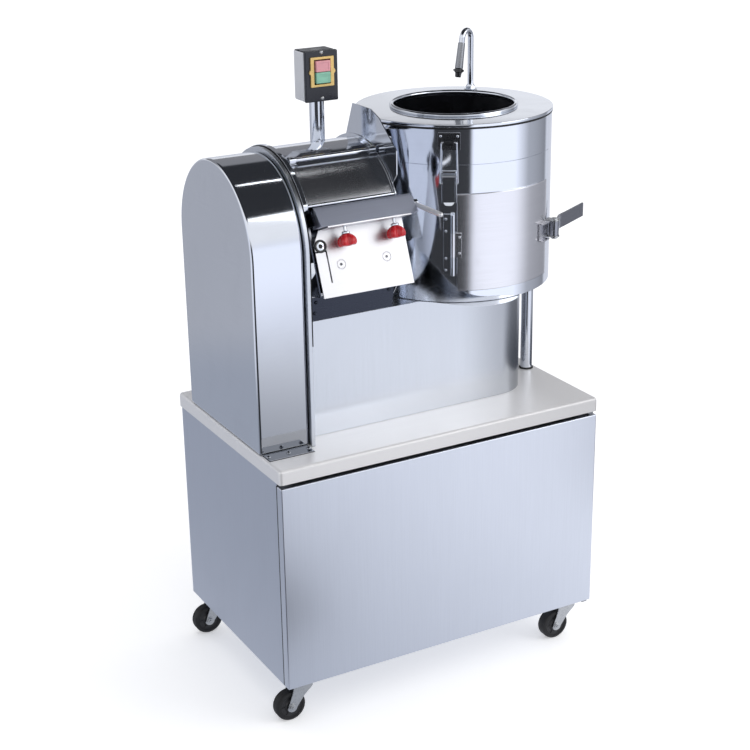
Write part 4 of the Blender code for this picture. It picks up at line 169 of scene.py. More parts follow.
class HeadLook(PropertyGroup):
    """The slicing head with its guard, casing and front plate."""

    guard_fold: radius_setting("Guard fold", "Outer radius between the guard's face and band", 0.006,
                               0.0005, 0.0065)
    round_steps: IntProperty(name="Round steps", description="Steps round the casing and the guard's arch",
                             default=144, min=48, max=256)
    polish_colour: colour_setting("Polished steel", "Colour of the polished sheets", (0.7, 0.73, 0.79))
    knob_colour: colour_setting("Knob plastic", "Colour of the star knobs", (0.62, 0.012, 0.02))


class DrumLook(PropertyGroup):
    """The peeling drum, its cap and its discharge door."""

    round_steps: IntProperty(name="Round steps", description="Steps round the drum", default=180, min=64,
                             max=360)
    bead_radius: radius_setting("Mouth bead", "Radius of the rolled bead round the mouth", 0.0045, 0.002,
                                0.008)
    grit_colour: colour_setting("Grit", "Colour of the abrasive lining", (0.018, 0.018, 0.022))


class SwitchLook(PropertyGroup):
    """The switch box on its post."""

    housing_colour: colour_setting("Housing", "Colour of the switch box behind its lid", (0.92, 0.92, 0.95))
    lid_colour: colour_setting("Lid", "Colour of the switch box's lid", (0.019, 0.021, 0.03))
    bezel_colour: colour_setting("Bezel", "Colour of the plate round the buttons", (0.9, 0.61, 0.21))
    stop_colour: colour_setting("Stop button", "Colour of the upper button", (0.84, 0.38, 0.42))
    start_colour: colour_setting("Start button", "Colour of the lower button", (0.28, 0.61, 0.45))


class StudioLook(PropertyGroup):
    """Floor, lamps and camera."""

    floor_colour: colour_setting("Floor", "Colour of the studio floor", (0.93, 0.93, 0.935))
    dome_level: FloatProperty(name="Dome level", description="Strength of the even light from all round",
                              default=0.9, min=0.0, max=2.0)
    key_power: FloatProperty(name="Key lamp", description="Power of the large lamp at the right front",
                             default=32.0, min=0.0, max=500.0, unit="POWER")
    fill_power: FloatProperty(name="Fill lamp", description="Power of the small strip lamp above",
                              default=0.28, min=0.0, max=500.0, unit="POWER")
    floor_lift: FloatProperty(name="Floor lift", description="Light that only the camera sees on the floor",
                              default=0.4, min=0.0, max=1.0)
    camera_lens: FloatProperty(name="Camera lens",
                               description="Focal length in millimetres on a 36 mm sensor", default=77.22,
                               min=20.0, max=200.0)


# Shader maths
class Value:
    """A shader socket on which arithmetic adds Math nodes."""

    def __init__(self, finish, socket):
        self.finish = finish
        self.socket = socket

    def math(self, operation, one, other):
        """A Math node on two values."""
        return self.finish.node("ShaderNodeMath", {"operation": operation}, {0: one, 1: other})

    def __add__(self, other):
        return self.math("ADD", self, other)

    __radd__ = __add__

    def __sub__(self, other):
        return self.math("SUBTRACT", self, other)

    def __rsub__(self, other):
        return self.math("SUBTRACT", other, self)

    def __mul__(self, other):
        return self.math("MULTIPLY", self, other)

    __rmul__ = __mul__


class Finish:
    """A surface finish under construction: one Principled shader and the nodes that feed it."""

    def __init__(self, name, slot, **constants):
        self.material = bpy.data.materials.new(name)
        self.material["slot"] = slot
        self.material.use_nodes = True
        self.tree = self.material.node_tree
        self.tree.nodes.clear()
        end = self.tree.nodes.new("ShaderNodeOutputMaterial")
        self.shader = self.tree.nodes.new("ShaderNodeBsdfPrincipled")
        self.tree.links.new(self.shader.outputs["BSDF"], end.inputs["Surface"])
        self.place = self.node("ShaderNodeTexCoord", output="Object")
        for socket, value in constants.items():
            self.feed(socket.replace("_", " ").title(), value)

    def plug(self, socket, value):
        """Links a value to a socket, or sets the socket to a plain number or colour."""
        if isinstance(value, Value):
            self.tree.links.new(value.socket, socket)
        else:
            socket.default_value = value

    def node(self, kind, settings=None, inputs=None, output=0):
        """Adds a node with its settings first, then its inputs, and returns one of its outputs."""
        made = self.tree.nodes.new(kind)
        for key, value in (settings or {}).items():
            if key == "stops":
                for index, (place, colour) in enumerate(value):
                    stops = made.color_ramp.elements
                    stop = stops[index] if index < 2 else stops.new(place)
                    stop.position = place
                    stop.color = colour
            else:
                setattr(made, key, value)
        for key, value in (inputs or {}).items():
            self.plug(made.inputs[key], value)
        return Value(self, made.outputs[output])

    def feed(self, socket, value):
        """Feeds one input of the Principled shader."""
        self.plug(self.shader.inputs[socket], value)

    def surface(self, colour, roughness, normal):
        """Feeds what changes over the surface, and returns the material."""
        self.feed("Base Color", colour)
        self.feed("Roughness", roughness)
        self.feed("Normal", normal)
        return self.material

    def along(self, place, way):
        """How far a place lies along a way."""
        return self.node("ShaderNodeVectorMath", {"operation": "DOT_PRODUCT"}, {0: place, 1: way}, "Value")

    def stretched(self, stretch, shift=(0.0, 0.0, 0.0)):
        """The piece's own coordinates, scaled along each axis or alike along all."""
        scale = (stretch, stretch, stretch) if isinstance(stretch, float) else stretch
        return self.node("ShaderNodeVectorMath", {"operation": "MULTIPLY_ADD"},
                         {0: self.place, 1: scale, 2: shift})

    def noise(self, stretch, detail=3.0, roughness=0.55, shift=(0.0, 0.0, 0.0), distortion=0.0):
        """Smooth noise whose size along each axis is one metre divided by the stretch."""
        return self.node("ShaderNodeTexNoise", None,
                         {"Vector": self.stretched(stretch, shift), "Scale": 1.0, "Detail": detail,
                          "Roughness": roughness, "Distortion": distortion})

    def cells(self, stretch):
        """Distance to scattered points."""
        return self.node("ShaderNodeTexVoronoi", {"feature": "F1"},
                         {"Vector": self.stretched(stretch), "Scale": 1.0, "Randomness": 1.0}, "Distance")

    def mask(self, value, low, high, start=0.0, end=1.0):
        """A value's soft step from start to end between two levels."""
        return self.node("ShaderNodeMapRange", {"interpolation_type": "SMOOTHSTEP"},
                         {"Value": value, "From Min": low, "From Max": high, "To Min": start,
                          "To Max": end})

    def blend(self, mask, one, other):
        """A mix of two colours."""
        return self.node("ShaderNodeMix", {"data_type": "RGBA"}, {0: mask, 6: one, 7: other}, 2)

    def shades(self, mask, colour, dark, light):
        """A mix of two shades of a colour."""
        return self.blend(mask, shade_of(colour, dark), shade_of(colour, light))

    def bump(self, height, distance, strength=1.0, below=None):
        """A bumped normal, laid over another one if there is one."""
        inputs = {"Height": height, "Distance": distance, "Strength": strength}
        if below is not None:
            inputs["Normal"] = below
        return self.node("ShaderNodeBump", None, inputs)


def shade_of(colour, factor):
    """A colour made lighter or darker, as four numbers."""
    return (*(min(1.0, part * factor) for part in colour), 1.0)


def toned(finish, paint, colour, tones):
    """Paints light and shade into a colour: it is made lighter or darker where every ramp of a tone, along
    its own way, is full.
    """
    for ramps, factor in tones:
        share = None
        for way, low, high in ramps:
            step = finish.mask(finish.along(finish.place, way), low, high)
            share = step if share is None else share * step
        paint = finish.blend(share, paint, shade_of(colour, factor))
    return paint


def brushed_sheet(name, colour, grain, roughness=0.34, depth=0.000006, slot="satin_steel", metallic=1.0,
                  tones=()):
    """Satin stainless sheet: fine parallel grain, faint wipe marks and slow shifts of sheen."""
    finish = Finish(name, slot, metallic=metallic)
    fine = finish.noise(grain, 2.0, 0.7)
    coarse = finish.noise(tuple(part * 0.28 for part in grain), 3.0, 0.6, (3.1, 1.7, 0.4))
    wipe = finish.noise((5.0, 5.0, 3.4), 4.0, 0.6, (0.0, 2.0, 7.0), 0.8)
    marks = finish.mask(finish.noise((38.0, 38.0, 16.0), 3.0, 0.5, (9.0, 1.0, 4.0)), 0.62, 0.78)
    lines = fine * 0.75 + coarse * 0.25
    grained = finish.shades(finish.mask(lines, 0.32, 0.68), colour, 0.98, 1.015)
    wiped = finish.blend(finish.mask(wipe, 0.35, 0.75, 0.0, 0.35), grained, shade_of(colour, 0.95))
    # tones lays painted light and shade over the colour by place
    return finish.surface(toned(finish, wiped, colour, tones), roughness - 0.04 + lines * 0.05 + wipe * 0.05
                          + marks * 0.04, finish.bump(lines, depth, 0.8, finish.bump(wipe, 0.0006, 0.25)))


def polished_sheet(name, colour, grain, roughness=0.07, wave=0.0004, tones=()):
    """Bright stainless sheet: hand-rolled waves, hairlines from cleaning, and dull finger marks."""
    finish = Finish(name, "mirror_steel", metallic=1.0)
    roll = finish.noise((7.0, 7.0, 3.0), 2.0, 0.5, (1.0, 5.0, 2.0), 0.3)
    hair = finish.noise(grain, 2.0, 0.75)
    dull = finish.mask(finish.noise((16.0, 16.0, 10.0), 4.0, 0.62, (4.0, 0.0, 8.0), 0.6), 0.46, 0.74)
    spots = finish.mask(finish.cells(70.0), 0.05, 0.16, 1.0, 0.0)
    tint = finish.shades(finish.mask(hair, 0.3, 0.7), colour, 0.985, 1.01)
    dulled = finish.blend(dull * 0.3, tint, shade_of(colour, 0.93))
    # tones lays painted light and shade over the colour by place
    return finish.surface(toned(finish, dulled, colour, tones), roughness + dull * 0.03 + hair * 0.02
                          + spots * 0.02, finish.bump(hair, 0.000004, 0.5, finish.bump(roll, wave, 0.6)))


def mill_steel(name, colour, slot="frame_steel", roughness=0.45):
    """Machined or mill-finish steel: tool lines, dark scale in patches and dry stains."""
    finish = Finish(name, slot, metallic=1.0)
    lines = finish.noise((60.0, 420.0, 420.0), 3.0, 0.7)
    scale = finish.mask(finish.noise(14.0, 5.0, 0.6, distortion=0.7), 0.45, 0.7)
    base = finish.shades(lines, colour, 0.85, 1.12)
    return finish.surface(finish.blend(scale * 0.6, base, shade_of(colour, 0.55)),
                          roughness + scale * 0.15 - lines * 0.06,
                          finish.bump(lines, 0.00004, 0.6, finish.bump(scale, 0.0001, 0.4)))


def zinc_plating(name, colour, slot="zinc_plate"):
    """Zinc-plated pressed steel: soft spangle, a warm cast here and there, light scratches."""
    finish = Finish(name, slot, metallic=1.0)
    spangle = finish.cells(160.0)
    cloud = finish.noise(30.0, 4.0, 0.6)
    scratch = finish.mask(finish.noise((90.0, 1500.0, 700.0), 2.0, 0.8), 0.66, 0.74)
    base = finish.shades(spangle, colour, 0.9, 1.08)
    warm = shade_of((colour[0], colour[1] * 0.97, colour[2] * 0.88), 0.95)
    return finish.surface(finish.blend(finish.mask(cloud, 0.5, 0.8, 0.0, 0.5), base, warm),
                          0.2 + cloud * 0.1 + spangle * 0.06,
                          finish.bump(scratch, 0.00003, 0.5, finish.bump(spangle, 0.00003, 0.2)))


def cast_metal(name, colour):
    """Sand-cast metal: a fine pebbled skin with darker pits."""
    finish = Finish(name, "cast_aluminium", metallic=1.0)
    pebble = finish.noise(420.0, 4.0, 0.6)
    cloud = finish.noise(22.0, 3.0, 0.6)
    pits = finish.mask(finish.cells(240.0), 0.08, 0.22, 1.0, 0.0)
    base = finish.shades(cloud, colour, 0.86, 1.1)
    return finish.surface(finish.blend(pits * 0.5, base, shade_of(colour, 0.5)),
                          0.44 + pebble * 0.18 + pits * 0.1, finish.bump(pebble - pits * 0.6, 0.0003, 0.5))


def enamel(name, colour):
    """Sprayed enamel on cast metal: orange peel, dust settled in patches, dull wear."""
    finish = Finish(name, "motor_paint", metallic=0.0, coat_weight=0.25, coat_roughness=0.2)
    peel = finish.noise(650.0, 2.0, 0.5)
    dust = finish.mask(finish.noise((18.0, 18.0, 30.0), 5.0, 0.65), 0.45, 0.75)
    base = finish.shades(peel, colour, 0.92, 1.08)
    return finish.surface(finish.blend(dust * 0.3, base, (0.32, 0.33, 0.34, 1.0)), 0.34 + dust * 0.28,
                          finish.bump(peel, 0.00012, 0.35))


def rubber(name, colour):
    """Moulded rubber: fine skin texture, scuffs and grey dust."""
    finish = Finish(name, "black_rubber", metallic=0.0)
    skin = finish.noise(900.0, 3.0, 0.6)
    dust = finish.mask(finish.noise(45.0, 5.0, 0.65, distortion=0.4), 0.42, 0.72)
    scuff = finish.mask(finish.noise((40.0, 300.0, 120.0), 3.0, 0.7), 0.6, 0.75)
    base = finish.shades(skin, colour, 0.8, 1.3)
    return finish.surface(finish.blend(dust * 0.18 + scuff * 0.15, base, (0.05, 0.05, 0.052, 1.0)),
                          0.52 + dust * 0.22 + skin * 0.08, finish.bump(skin + scuff * 0.6, 0.00015, 0.5))


def abrasive(name, colour):
    """Coarse grit bonded in black resin: angular grains, worn bright here and there."""
    finish = Finish(name, "black_abrasive", metallic=0.0)
    grain = finish.cells(520.0)
    small = finish.noise(1400.0, 2.0, 0.7)
    worn = finish.mask(finish.noise((12.0, 12.0, 20.0), 4.0, 0.6), 0.45, 0.75)
    base = finish.shades(grain, colour, 0.5, 1.9)
    return finish.surface(finish.blend(worn * 0.4, base, (0.07, 0.07, 0.075, 1.0)),
                          0.34 + grain * 0.25 - worn * 0.1, finish.bump(grain + small * 0.4, 0.0011, 0.9))


def gloss_plastic(name, colour, slot):
    """Glossy moulded plastic: faint flow marks and fine handling scratches."""
    finish = Finish(name, slot, metallic=0.0, coat_weight=0.35, coat_roughness=0.06)
    flow = finish.noise((60.0, 60.0, 160.0), 3.0, 0.5, distortion=0.6)
    scratch = finish.mask(finish.noise((500.0, 2600.0, 1800.0), 2.0, 0.8), 0.64, 0.72)
    return finish.surface(finish.shades(flow, colour, 0.82, 1.15), 0.2 + flow * 0.08 + scratch * 0.15,
                          finish.bump(flow, 0.0004, 0.3, finish.bump(scratch, 0.00003, 0.4)))


def grained_plastic(name, colour, slot, grain=1100.0, roughness=0.42):
    """Moulded plastic with a spark-eroded grain that is polished where hands touch it."""
    finish = Finish(name, slot, metallic=0.0)
    pebble = finish.noise(grain, 3.0, 0.6)
    cells = finish.cells(grain * 0.7)
    handled = finish.mask(finish.noise(34.0, 4.0, 0.6), 0.45, 0.7)
    base = finish.shades(pebble, colour, 0.86, 1.12)
    return finish.surface(finish.blend(handled * 0.3, base, shade_of(colour, 1.25)),
                          roughness + pebble * 0.12 - handled * 0.12,
                          finish.bump(pebble + cells * 0.5, 0.00012, 0.5))


# Meshes
def item(name, bm):
    """An object made from a bmesh, in the machine's frame."""
    bmesh.ops.recalc_face_normals(bm, faces=bm.faces)
    mesh = bpy.data.meshes.new(name)
    bm.to_mesh(mesh)
    bm.free()
    made = bpy.data.objects.new(name, mesh)
    bpy.context.scene.collection.objects.link(made)
    return made


def moved(made, at=(0.0, 0.0, 0.0), turn=UPRIGHT, frame_of=None):
    """Turns and moves an object's mesh."""
    matrix = Matrix.Translation(at) @ Euler(turn).to_matrix().to_4x4()
    made.data.transform(frame_of @ matrix if frame_of else matrix)
    return made


def slab(name, low, high, missing=()):
    """A box between two corners, without the sides that face the given ways."""
    bm = bmesh.new()
    low, high = Vector(low), Vector(high)
    size = high - low
    bmesh.ops.create_cube(bm, size=1.0, matrix=Matrix.Translation((low + high) / 2)
                          @ Matrix.Diagonal((*size, 1.0)))
    gone = [face for face in bm.faces if any(face.normal.dot(Vector(way)) > 0.5 for way in missing)]
    bmesh.ops.delete(bm, geom=gone, context="FACES_ONLY")
    return item(name, bm)


def lathe(name, profile, at=(0.0, 0.0, 0.0), turn=UPRIGHT, steps=96, closed=False):
    """A turned piece from (radius, height) points. A closed profile makes a ring."""
    bm = bmesh.new()
    rings = []
    for radius, height in profile:
        if radius < 1e-7:
            rings.append([bm.verts.new((0.0, 0.0, height))] * steps)
        else:
            rings.append([bm.verts.new((x, y, height)) for x, y in circle(radius, steps)])
    for one, other in zip(rings, rings[1:] + (rings[:1] if closed else [])):
        for step in range(steps):
            after = (step + 1) % steps
            corners = [one[step], one[after], other[after], other[step]]
            unique = [corner for index, corner in enumerate(corners) if corner not in corners[:index]]
            if len(unique) > 2:
                bm.faces.new(unique)
    return moved(item(name, bm), at, turn)


def circle(radius, steps):
    """Evenly spaced points round zero."""
    return [(radius * math.cos(math.tau * step / steps), radius * math.sin(math.tau * step / steps))
            for step in range(steps)]


def turned_bar(name, radius, low, high, at=(0.0, 0.0, 0.0), turn=UPRIGHT, steps=96):
    """A round bar between two heights."""
    return lathe(name, [(0.0, low), (radius, low), (radius, high), (0.0, high)], at, turn, steps)


def turned_ring(name, inner, outer, low, high, at=(0.0, 0.0, 0.0), turn=UPRIGHT, steps=96):
    """A ring between two heights."""
    return lathe(name, [(inner, low), (outer, low), (outer, high), (inner, high)], at, turn, steps,
                 closed=True)


def hole(radius, at, turn=UPRIGHT, steps=48, reach=0.02):
    """A cutter for a round hole that reaches as far to both sides of a sheet."""
    return turned_bar("hole", radius, -reach, reach, at, turn, steps)


def joined_rings(bm, rings):
    """Faces between neighbouring rings of points."""
    for one, other in zip(rings, rings[1:]):
        for step, corner in enumerate(one):
            after = (step + 1) % len(one)
            bm.faces.new((corner, one[after], other[after], other[step]))


def prism(name, outline, low, high, axis="X"):
    """A flat outline drawn out between two places along an axis: (Y, Z), (X, Z) or (X, Y) points."""
    bm = bmesh.new()

    def corner(place, far):
        return {"X": (far, *place), "Y": (place[0], far, place[1]), "Z": (*place, far)}[axis]

    start = [bm.verts.new(corner(place, low)) for place in outline]
    end = [bm.verts.new(corner(place, high)) for place in outline]
    bm.faces.new(start)
    bm.faces.new(end[::-1])
    for index in range(len(outline)):
        after = (index + 1) % len(outline)
        bm.faces.new((start[index], start[after], end[after], end[index]))
    return item(name, bm)


def tube(name, points, radius, steps=20):
    """A round bar along points, with flat ends. The radius may be one number or one for each point."""
    bm = bmesh.new()
    points = [Vector(point) for point in points]
    radii = radius if isinstance(radius, (list, tuple)) else [radius] * len(points)
    rings = []
    side = None
    for index, (point, size) in enumerate(zip(points, radii)):
        way = (points[min(index + 1, len(points) - 1)] - points[max(index - 1, 0)]).normalized()
        if side is None:
            side = way.orthogonal().normalized()
        side = (side - way * side.dot(way)).normalized()
        other = way.cross(side)
        rings.append([bm.verts.new(point
                                   + (side * math.cos(math.tau * step / steps)
                                      + other * math.sin(math.tau * step / steps)) * size)
                      for step in range(steps)])
    joined_rings(bm, rings)
    bm.faces.new(rings[0])
    bm.faces.new(rings[-1][::-1])
    return item(name, bm)


def solid(name, corners, faces):
    """A closed piece from its corners and faces."""
    bm = bmesh.new()
    points = [bm.verts.new(corner) for corner in corners]
    for face in faces:
        bm.faces.new([points[index] for index in face])
    return item(name, bm)


def applied(made, kind, **settings):
    """Applies one modifier to an object."""
    modifier = made.modifiers.new(kind.lower(), kind)
    for key, value in settings.items():
        setattr(modifier, key, value)
    bpy.context.view_layer.update()
    mesh = bpy.data.meshes.new_from_object(made.evaluated_get(bpy.context.evaluated_depsgraph_get()))
    made.modifiers.clear()
    made.data = mesh
    return made


def carve(made, *tools, operation="DIFFERENCE"):
    """Cuts tools out of an object, or joins them to it."""
    for tool in tools:
        applied(made, "BOOLEAN", operation=operation, solver="EXACT", object=tool)
        bpy.data.objects.remove(tool)
    return made


def gather(made, *others):
    """Puts other objects' meshes into an object, without a union."""
    bm = bmesh.new()
    bm.from_mesh(made.data)
    for other in others:
        bm.from_mesh(other.data)
        bpy.data.objects.remove(other)
    bm.to_mesh(made.data)
    bm.free()
    return made


def rounded(made, width, segments=3, limit=35.0):
    """Rounds the sharp edges of an object."""
    bm = bmesh.new()
    bm.from_mesh(made.data)
    bmesh.ops.remove_doubles(bm, verts=bm.verts, dist=WELD)
    bmesh.ops.dissolve_limit(bm, angle_limit=FLAT, verts=bm.verts, edges=bm.edges)
    bm.to_mesh(made.data)
    bm.free()
    return applied(made, "BEVEL", width=width, segments=segments, limit_method="ANGLE",
                   angle_limit=math.radians(limit), use_clamp_overlap=True, miter_outer="MITER_ARC")


def stretch(side, near, far):
    """The two ends of a stretch on one side of the middle, the lower one first."""
    return sorted((side * near, side * far))


def sheet(made, thickness):
    """Gives an open surface its thickness, on the inside."""
    return applied(made, "SOLIDIFY", thickness=thickness, offset=-1.0, use_even_offset=True)


def from_node(name, node):
    """A copy of a frame node's mesh, in the machine's frame."""
    bm = bmesh.new()
    bm.from_mesh(frame["nodes"][node].data)
    bmesh.ops.remove_doubles(bm, verts=bm.verts, dist=WELD)
    bmesh.ops.translate(bm, vec=-ORIGIN, verts=bm.verts)
    bmesh.ops.dissolve_limit(bm, angle_limit=FLAT, verts=bm.verts, edges=bm.edges)
    return item(name, bm)


def show(made, material, *nodes, body=None, limit=42.0):
    """Gives a piece its finish and smooth shading, and ties it to the frame."""
    for polygon in made.data.polygons:
        polygon.use_smooth = True
    made.data.set_sharp_from_angle(angle=math.radians(limit))
    weighted = made.modifiers.new("weighted", "WEIGHTED_NORMAL")
    weighted.keep_sharp = True
    made.data.materials.clear()
    made.data.materials.append(material)
    made.location = ORIGIN
    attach(made, body or frame["nodes"][nodes[0]]["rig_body"])
    if nodes:
        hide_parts(*nodes)
    return made


def arc(centre, radius, start, end, steps):
    """Points on an arc between two angles in degrees."""
    angles = [math.radians(start + (end - start) * step / steps) for step in range(steps + 1)]
    return [(centre[0] + radius * math.cos(a), centre[1] + radius * math.sin(a)) for a in angles]


def polar(centre, radius, angle):
    """One point on a circle."""
    return arc(centre, radius, angle, angle, 1)[0]


def band(centre, inner, outer, start, end, steps):
    """The outline of a piece of ring."""
    return arc(centre, outer, start, end, steps) + arc(centre, inner, end, start, steps)


def bent(path, thickness):
    """The outline of a bent sheet whose outer side is the path and whose thickness lies to its left."""
    inner = []
    for index, point in enumerate(path):
        here = Vector(point)
        before = here - Vector(path[index - 1]) if index > 0 else None
        after = Vector(path[index + 1]) - here if index + 1 < len(path) else None
        sides = [Vector((-way.y, way.x)).normalized() for way in (before, after) if way is not None]
        middle = sum(sides, Vector((0.0, 0.0))).normalized()
        inner.append(tuple(here + middle * thickness / middle.dot(sides[0])))
    return list(path) + inner[::-1]


def arch(radius, foot, steps):
    """An upright arch about the slicing head's axis, down to a foot."""
    return [(AXIS_Y + radius, foot), *arc(HEAD_CENTRE, radius, 0, 180, steps), (AXIS_Y - radius, foot)]


def on_front(drop, out):
    """A point (Y, Z) of the leaning front plate, by its drop along it and its distance in front."""
    return (FRONT_TOP[0] - drop * math.sin(FRONT_LEAN) - out * math.cos(FRONT_LEAN),
            FRONT_TOP[1] - drop * math.cos(FRONT_LEAN) + out * math.sin(FRONT_LEAN))


def drum_side(angle, out=0.0, rise=0.0):
    """The frame of a place on the drum's side, with X away from the drum."""
    x, y = polar(DRUM, DRUM_RADIUS + out, angle)
    return Matrix.Translation((x, y, DECK + rise)) @ Matrix.Rotation(math.radians(angle), 4, "Z")


def screw_head(name, radius, height, at, turn=UPRIGHT, frame_of=None, recess=True):
    """A domed screw head with a cross recess."""
    profile = [(0.0, height)]
    profile += [(radius * math.sin(a), height * math.cos(a) ** 0.8)
                for a in (math.radians(x) for x in (18, 36, 54, 70, 82))]
    profile += [(radius, 0.0), (radius, -0.001), (0.0, -0.001)]
    made = lathe(name, profile, steps=28)
    if recess:
        reach = radius * 0.55
        width = radius * 0.13
        carve(made, slab("cross", (-reach, -width, height * 0.5), (reach, width, height * 2)))
        carve(made, slab("cross", (-width, -reach, height * 0.5), (width, reach, height * 2)))
    return moved(made, at, turn, frame_of)


def hex_bolt(name, across, height, at, turn=UPRIGHT):
    """A hexagonal bolt head with a washer face and chamfered corners."""
    radius = across / math.sqrt(3)
    head = rounded(turned_bar(name, radius, height, 0.0, steps=6), 0.0004, 2)
    washer = rounded(turned_bar("washer", radius * 1.25, 0.0012, -0.0004, steps=40), 0.0002, 2)
    return moved(gather(head, washer), at, turn)


# Finishes by name, each made once
MADE = {}


def finish(name, maker, *settings, **more):
    """A finish by its name, made when it is first asked for."""
    if name not in MADE:
        MADE[name] = maker(name, *settings, **more)
    return MADE[name]


def scene_look(name):
    """One of the property groups of this machine."""
    return getattr(bpy.context.scene, f"peeler_{name}")


def panel_steel():
    """Satin steel of the cabinet's upright sheets."""
    return finish("satin_panel_steel", brushed_sheet, tuple(scene_look("cabinet").panel_colour),
                  (760.0, 760.0, 9.0), 0.33)


def polished(name="polished_steel", grain=(640.0, 640.0, 12.0), **more):
    """Polished steel with hairlines along one way."""
    return finish(name, polished_sheet, tuple(scene_look("head").polish_colour), grain, **more)


def satin(name, colour, grain, *settings, **more):
    """A satin steel of its own colour and grain."""
    return finish(name, brushed_sheet, colour, grain, *settings, **more)


def round_x_steel():
    """Polished steel whose hairlines run round the slicing head."""
    return polished("polished_head_steel", (620.0, 8.0, 8.0), roughness=0.08)


def drum_steel():
    """Polished steel whose hairlines run round the drum, with a painted highlight down the drum's front and
    painted shade on the left of the cap's top.
    """
    return polished("polished_drum_steel", (7.0, 7.0, 520.0), roughness=0.075, wave=0.0003,
                    tones=[(((FORWARD, 0.045, 0.085), (DOWNWARD, -DRUM_TOP, 0.002 - DRUM_TOP)), 1.22),
                           (((LEFTWARD, -0.26, -0.1), (UPWARD, DRUM_TOP - 0.002, DRUM_TOP)), 0.78)])


def zinc():
    """Zinc-plated fittings."""
    return finish("zinc_fittings", zinc_plating, (0.53, 0.54, 0.55))


def bright_fittings():
    """Bright turned and bent fittings."""
    return polished("bright_fittings", (300.0, 300.0, 300.0), roughness=0.11, wave=0.0002)


def dark_steel():
    """Mill-finish steel inside the machine."""
    return finish("mill_steel", mill_steel, (0.36, 0.37, 0.39))


def castings():
    """Cast aluminium of pulleys and bearings."""
    return finish("cast_housings", cast_metal, (0.5, 0.51, 0.52))


def motor_enamel():
    """Blue enamel of the motors."""
    return finish("motor_enamel", enamel, (0.1, 0.18, 0.28))


def black_grit():
    """Black grit of the drum's lining and disc."""
    return finish("black_grit", abrasive, tuple(scene_look("drum").grit_colour))


def tyre_rubber():
    """Rubber of tyres, belt and seals."""
    return finish("tyre_rubber", rubber, tuple(scene_look("cabinet").tyre_colour))


def inner_piece(node, material, width=0.0006, segments=2):
    """A machined piece inside the machine, with its edges broken."""
    return show(rounded(from_node(node + "_piece", node), width, segments), material, node)


# Cabinet
def build_worktop():
    """The folded worktop with its openings and a turned-in lower edge."""
    look = scene_look("cabinet")
    made = slab("worktop_sheet", (-TOP_X, -TOP_Y, DECK - 0.029), (TOP_X, TOP_Y, DECK), missing=[DOWNWARD])
    rounded(made, look.worktop_radius, 5)
    sheet(made, 0.002)
    carve(made, rounded(slab("slot", (-0.32, -0.1, DECK - 0.02), (-0.28, 0.116, DECK + 0.02)), 0.003, 3),
          hole(SHAFT_HOLE, (*DRUM, DECK), steps=64), hole(0.0128, (*DRAIN, DECK), steps=64))
    # Painted shade: the worktop's right end and its front lip are darkened, the lip most towards the right;
    # its near-white colour is a painted sheen
    lip = (FORWARD, TOP_Y - 0.0025, TOP_Y - 0.0006)
    tones = [(((RIGHTWARD, 0.2, 0.3),), 0.86), ((lip,), 0.82), ((lip, (RIGHTWARD, -0.1, TOP_X)), 0.68)]
    show(made, satin("brushed_worktop", tuple(look.worktop_colour), (9.0, 620.0, 620.0), 0.3, metallic=0.25,
                     tones=tones), "worktop")


def build_shell():
    """The folded sheets round the cabinet, with the caster plates and their bolts."""
    shell = rounded(from_node("cabinet_sheets", "cabinet_shell"), 0.0007, 3, 50.0)
    reach = 0.0195
    bolts = [hex_bolt("bolt", 0.008, 0.0035, (x + side * reach, y + far * reach, 0.0823), UPSIDE_DOWN)
             for x in (-CASTER_X, CASTER_X) for y in (-CASTER_Y, CASTER_Y) for side in SIDES
             for far in SIDES]
    show(gather(shell, *bolts), panel_steel(), "cabinet_shell")
    inner_piece("cabinet_frame", dark_steel(), 0.0016, 3)


def build_door():
    """The cabinet door: one folded sheet with a softened edge all round, and black strips in the gap behind
    it that paint the shade falling there.
    """
    look = scene_look("cabinet")
    edge = TOP_X - 0.002
    bottom = 0.0865
    top = DECK - 0.0368
    made = slab("door_sheet", (-edge, -TOP_Y, bottom), (edge, -0.22, top), missing=[(0, 1, 0)])
    rounded(made, look.door_radius, 5)
    sheet(made, 0.0015)
    carve(made, turned_bar("hole", 0.0045, 0.0, 0.5, (0.348, -0.229, 0.05), steps=32))
    show(made, satin("satin_door_steel", tuple(look.door_colour), (620.0, 620.0, 9.0), 0.31, 0.000003),
         "cabinet_door")
    # Painted shade: black rubber strips fill the gap behind the door's edges where shade falls
    front = -0.2197
    back = -0.2155
    left = 0.0023 - edge
    seal = [slab("side", (0.0003 - edge, front, bottom + 0.001), (0.0053 - edge, back, top)),
            slab("head", (left, front, top - 0.003), (0.3, back, top)),
            slab("sill", (left, front, bottom + 0.001), (0.3, back, bottom + 0.004))]
    show(rounded(gather(*seal), 0.0004, 2), tyre_rubber(), body="machine")


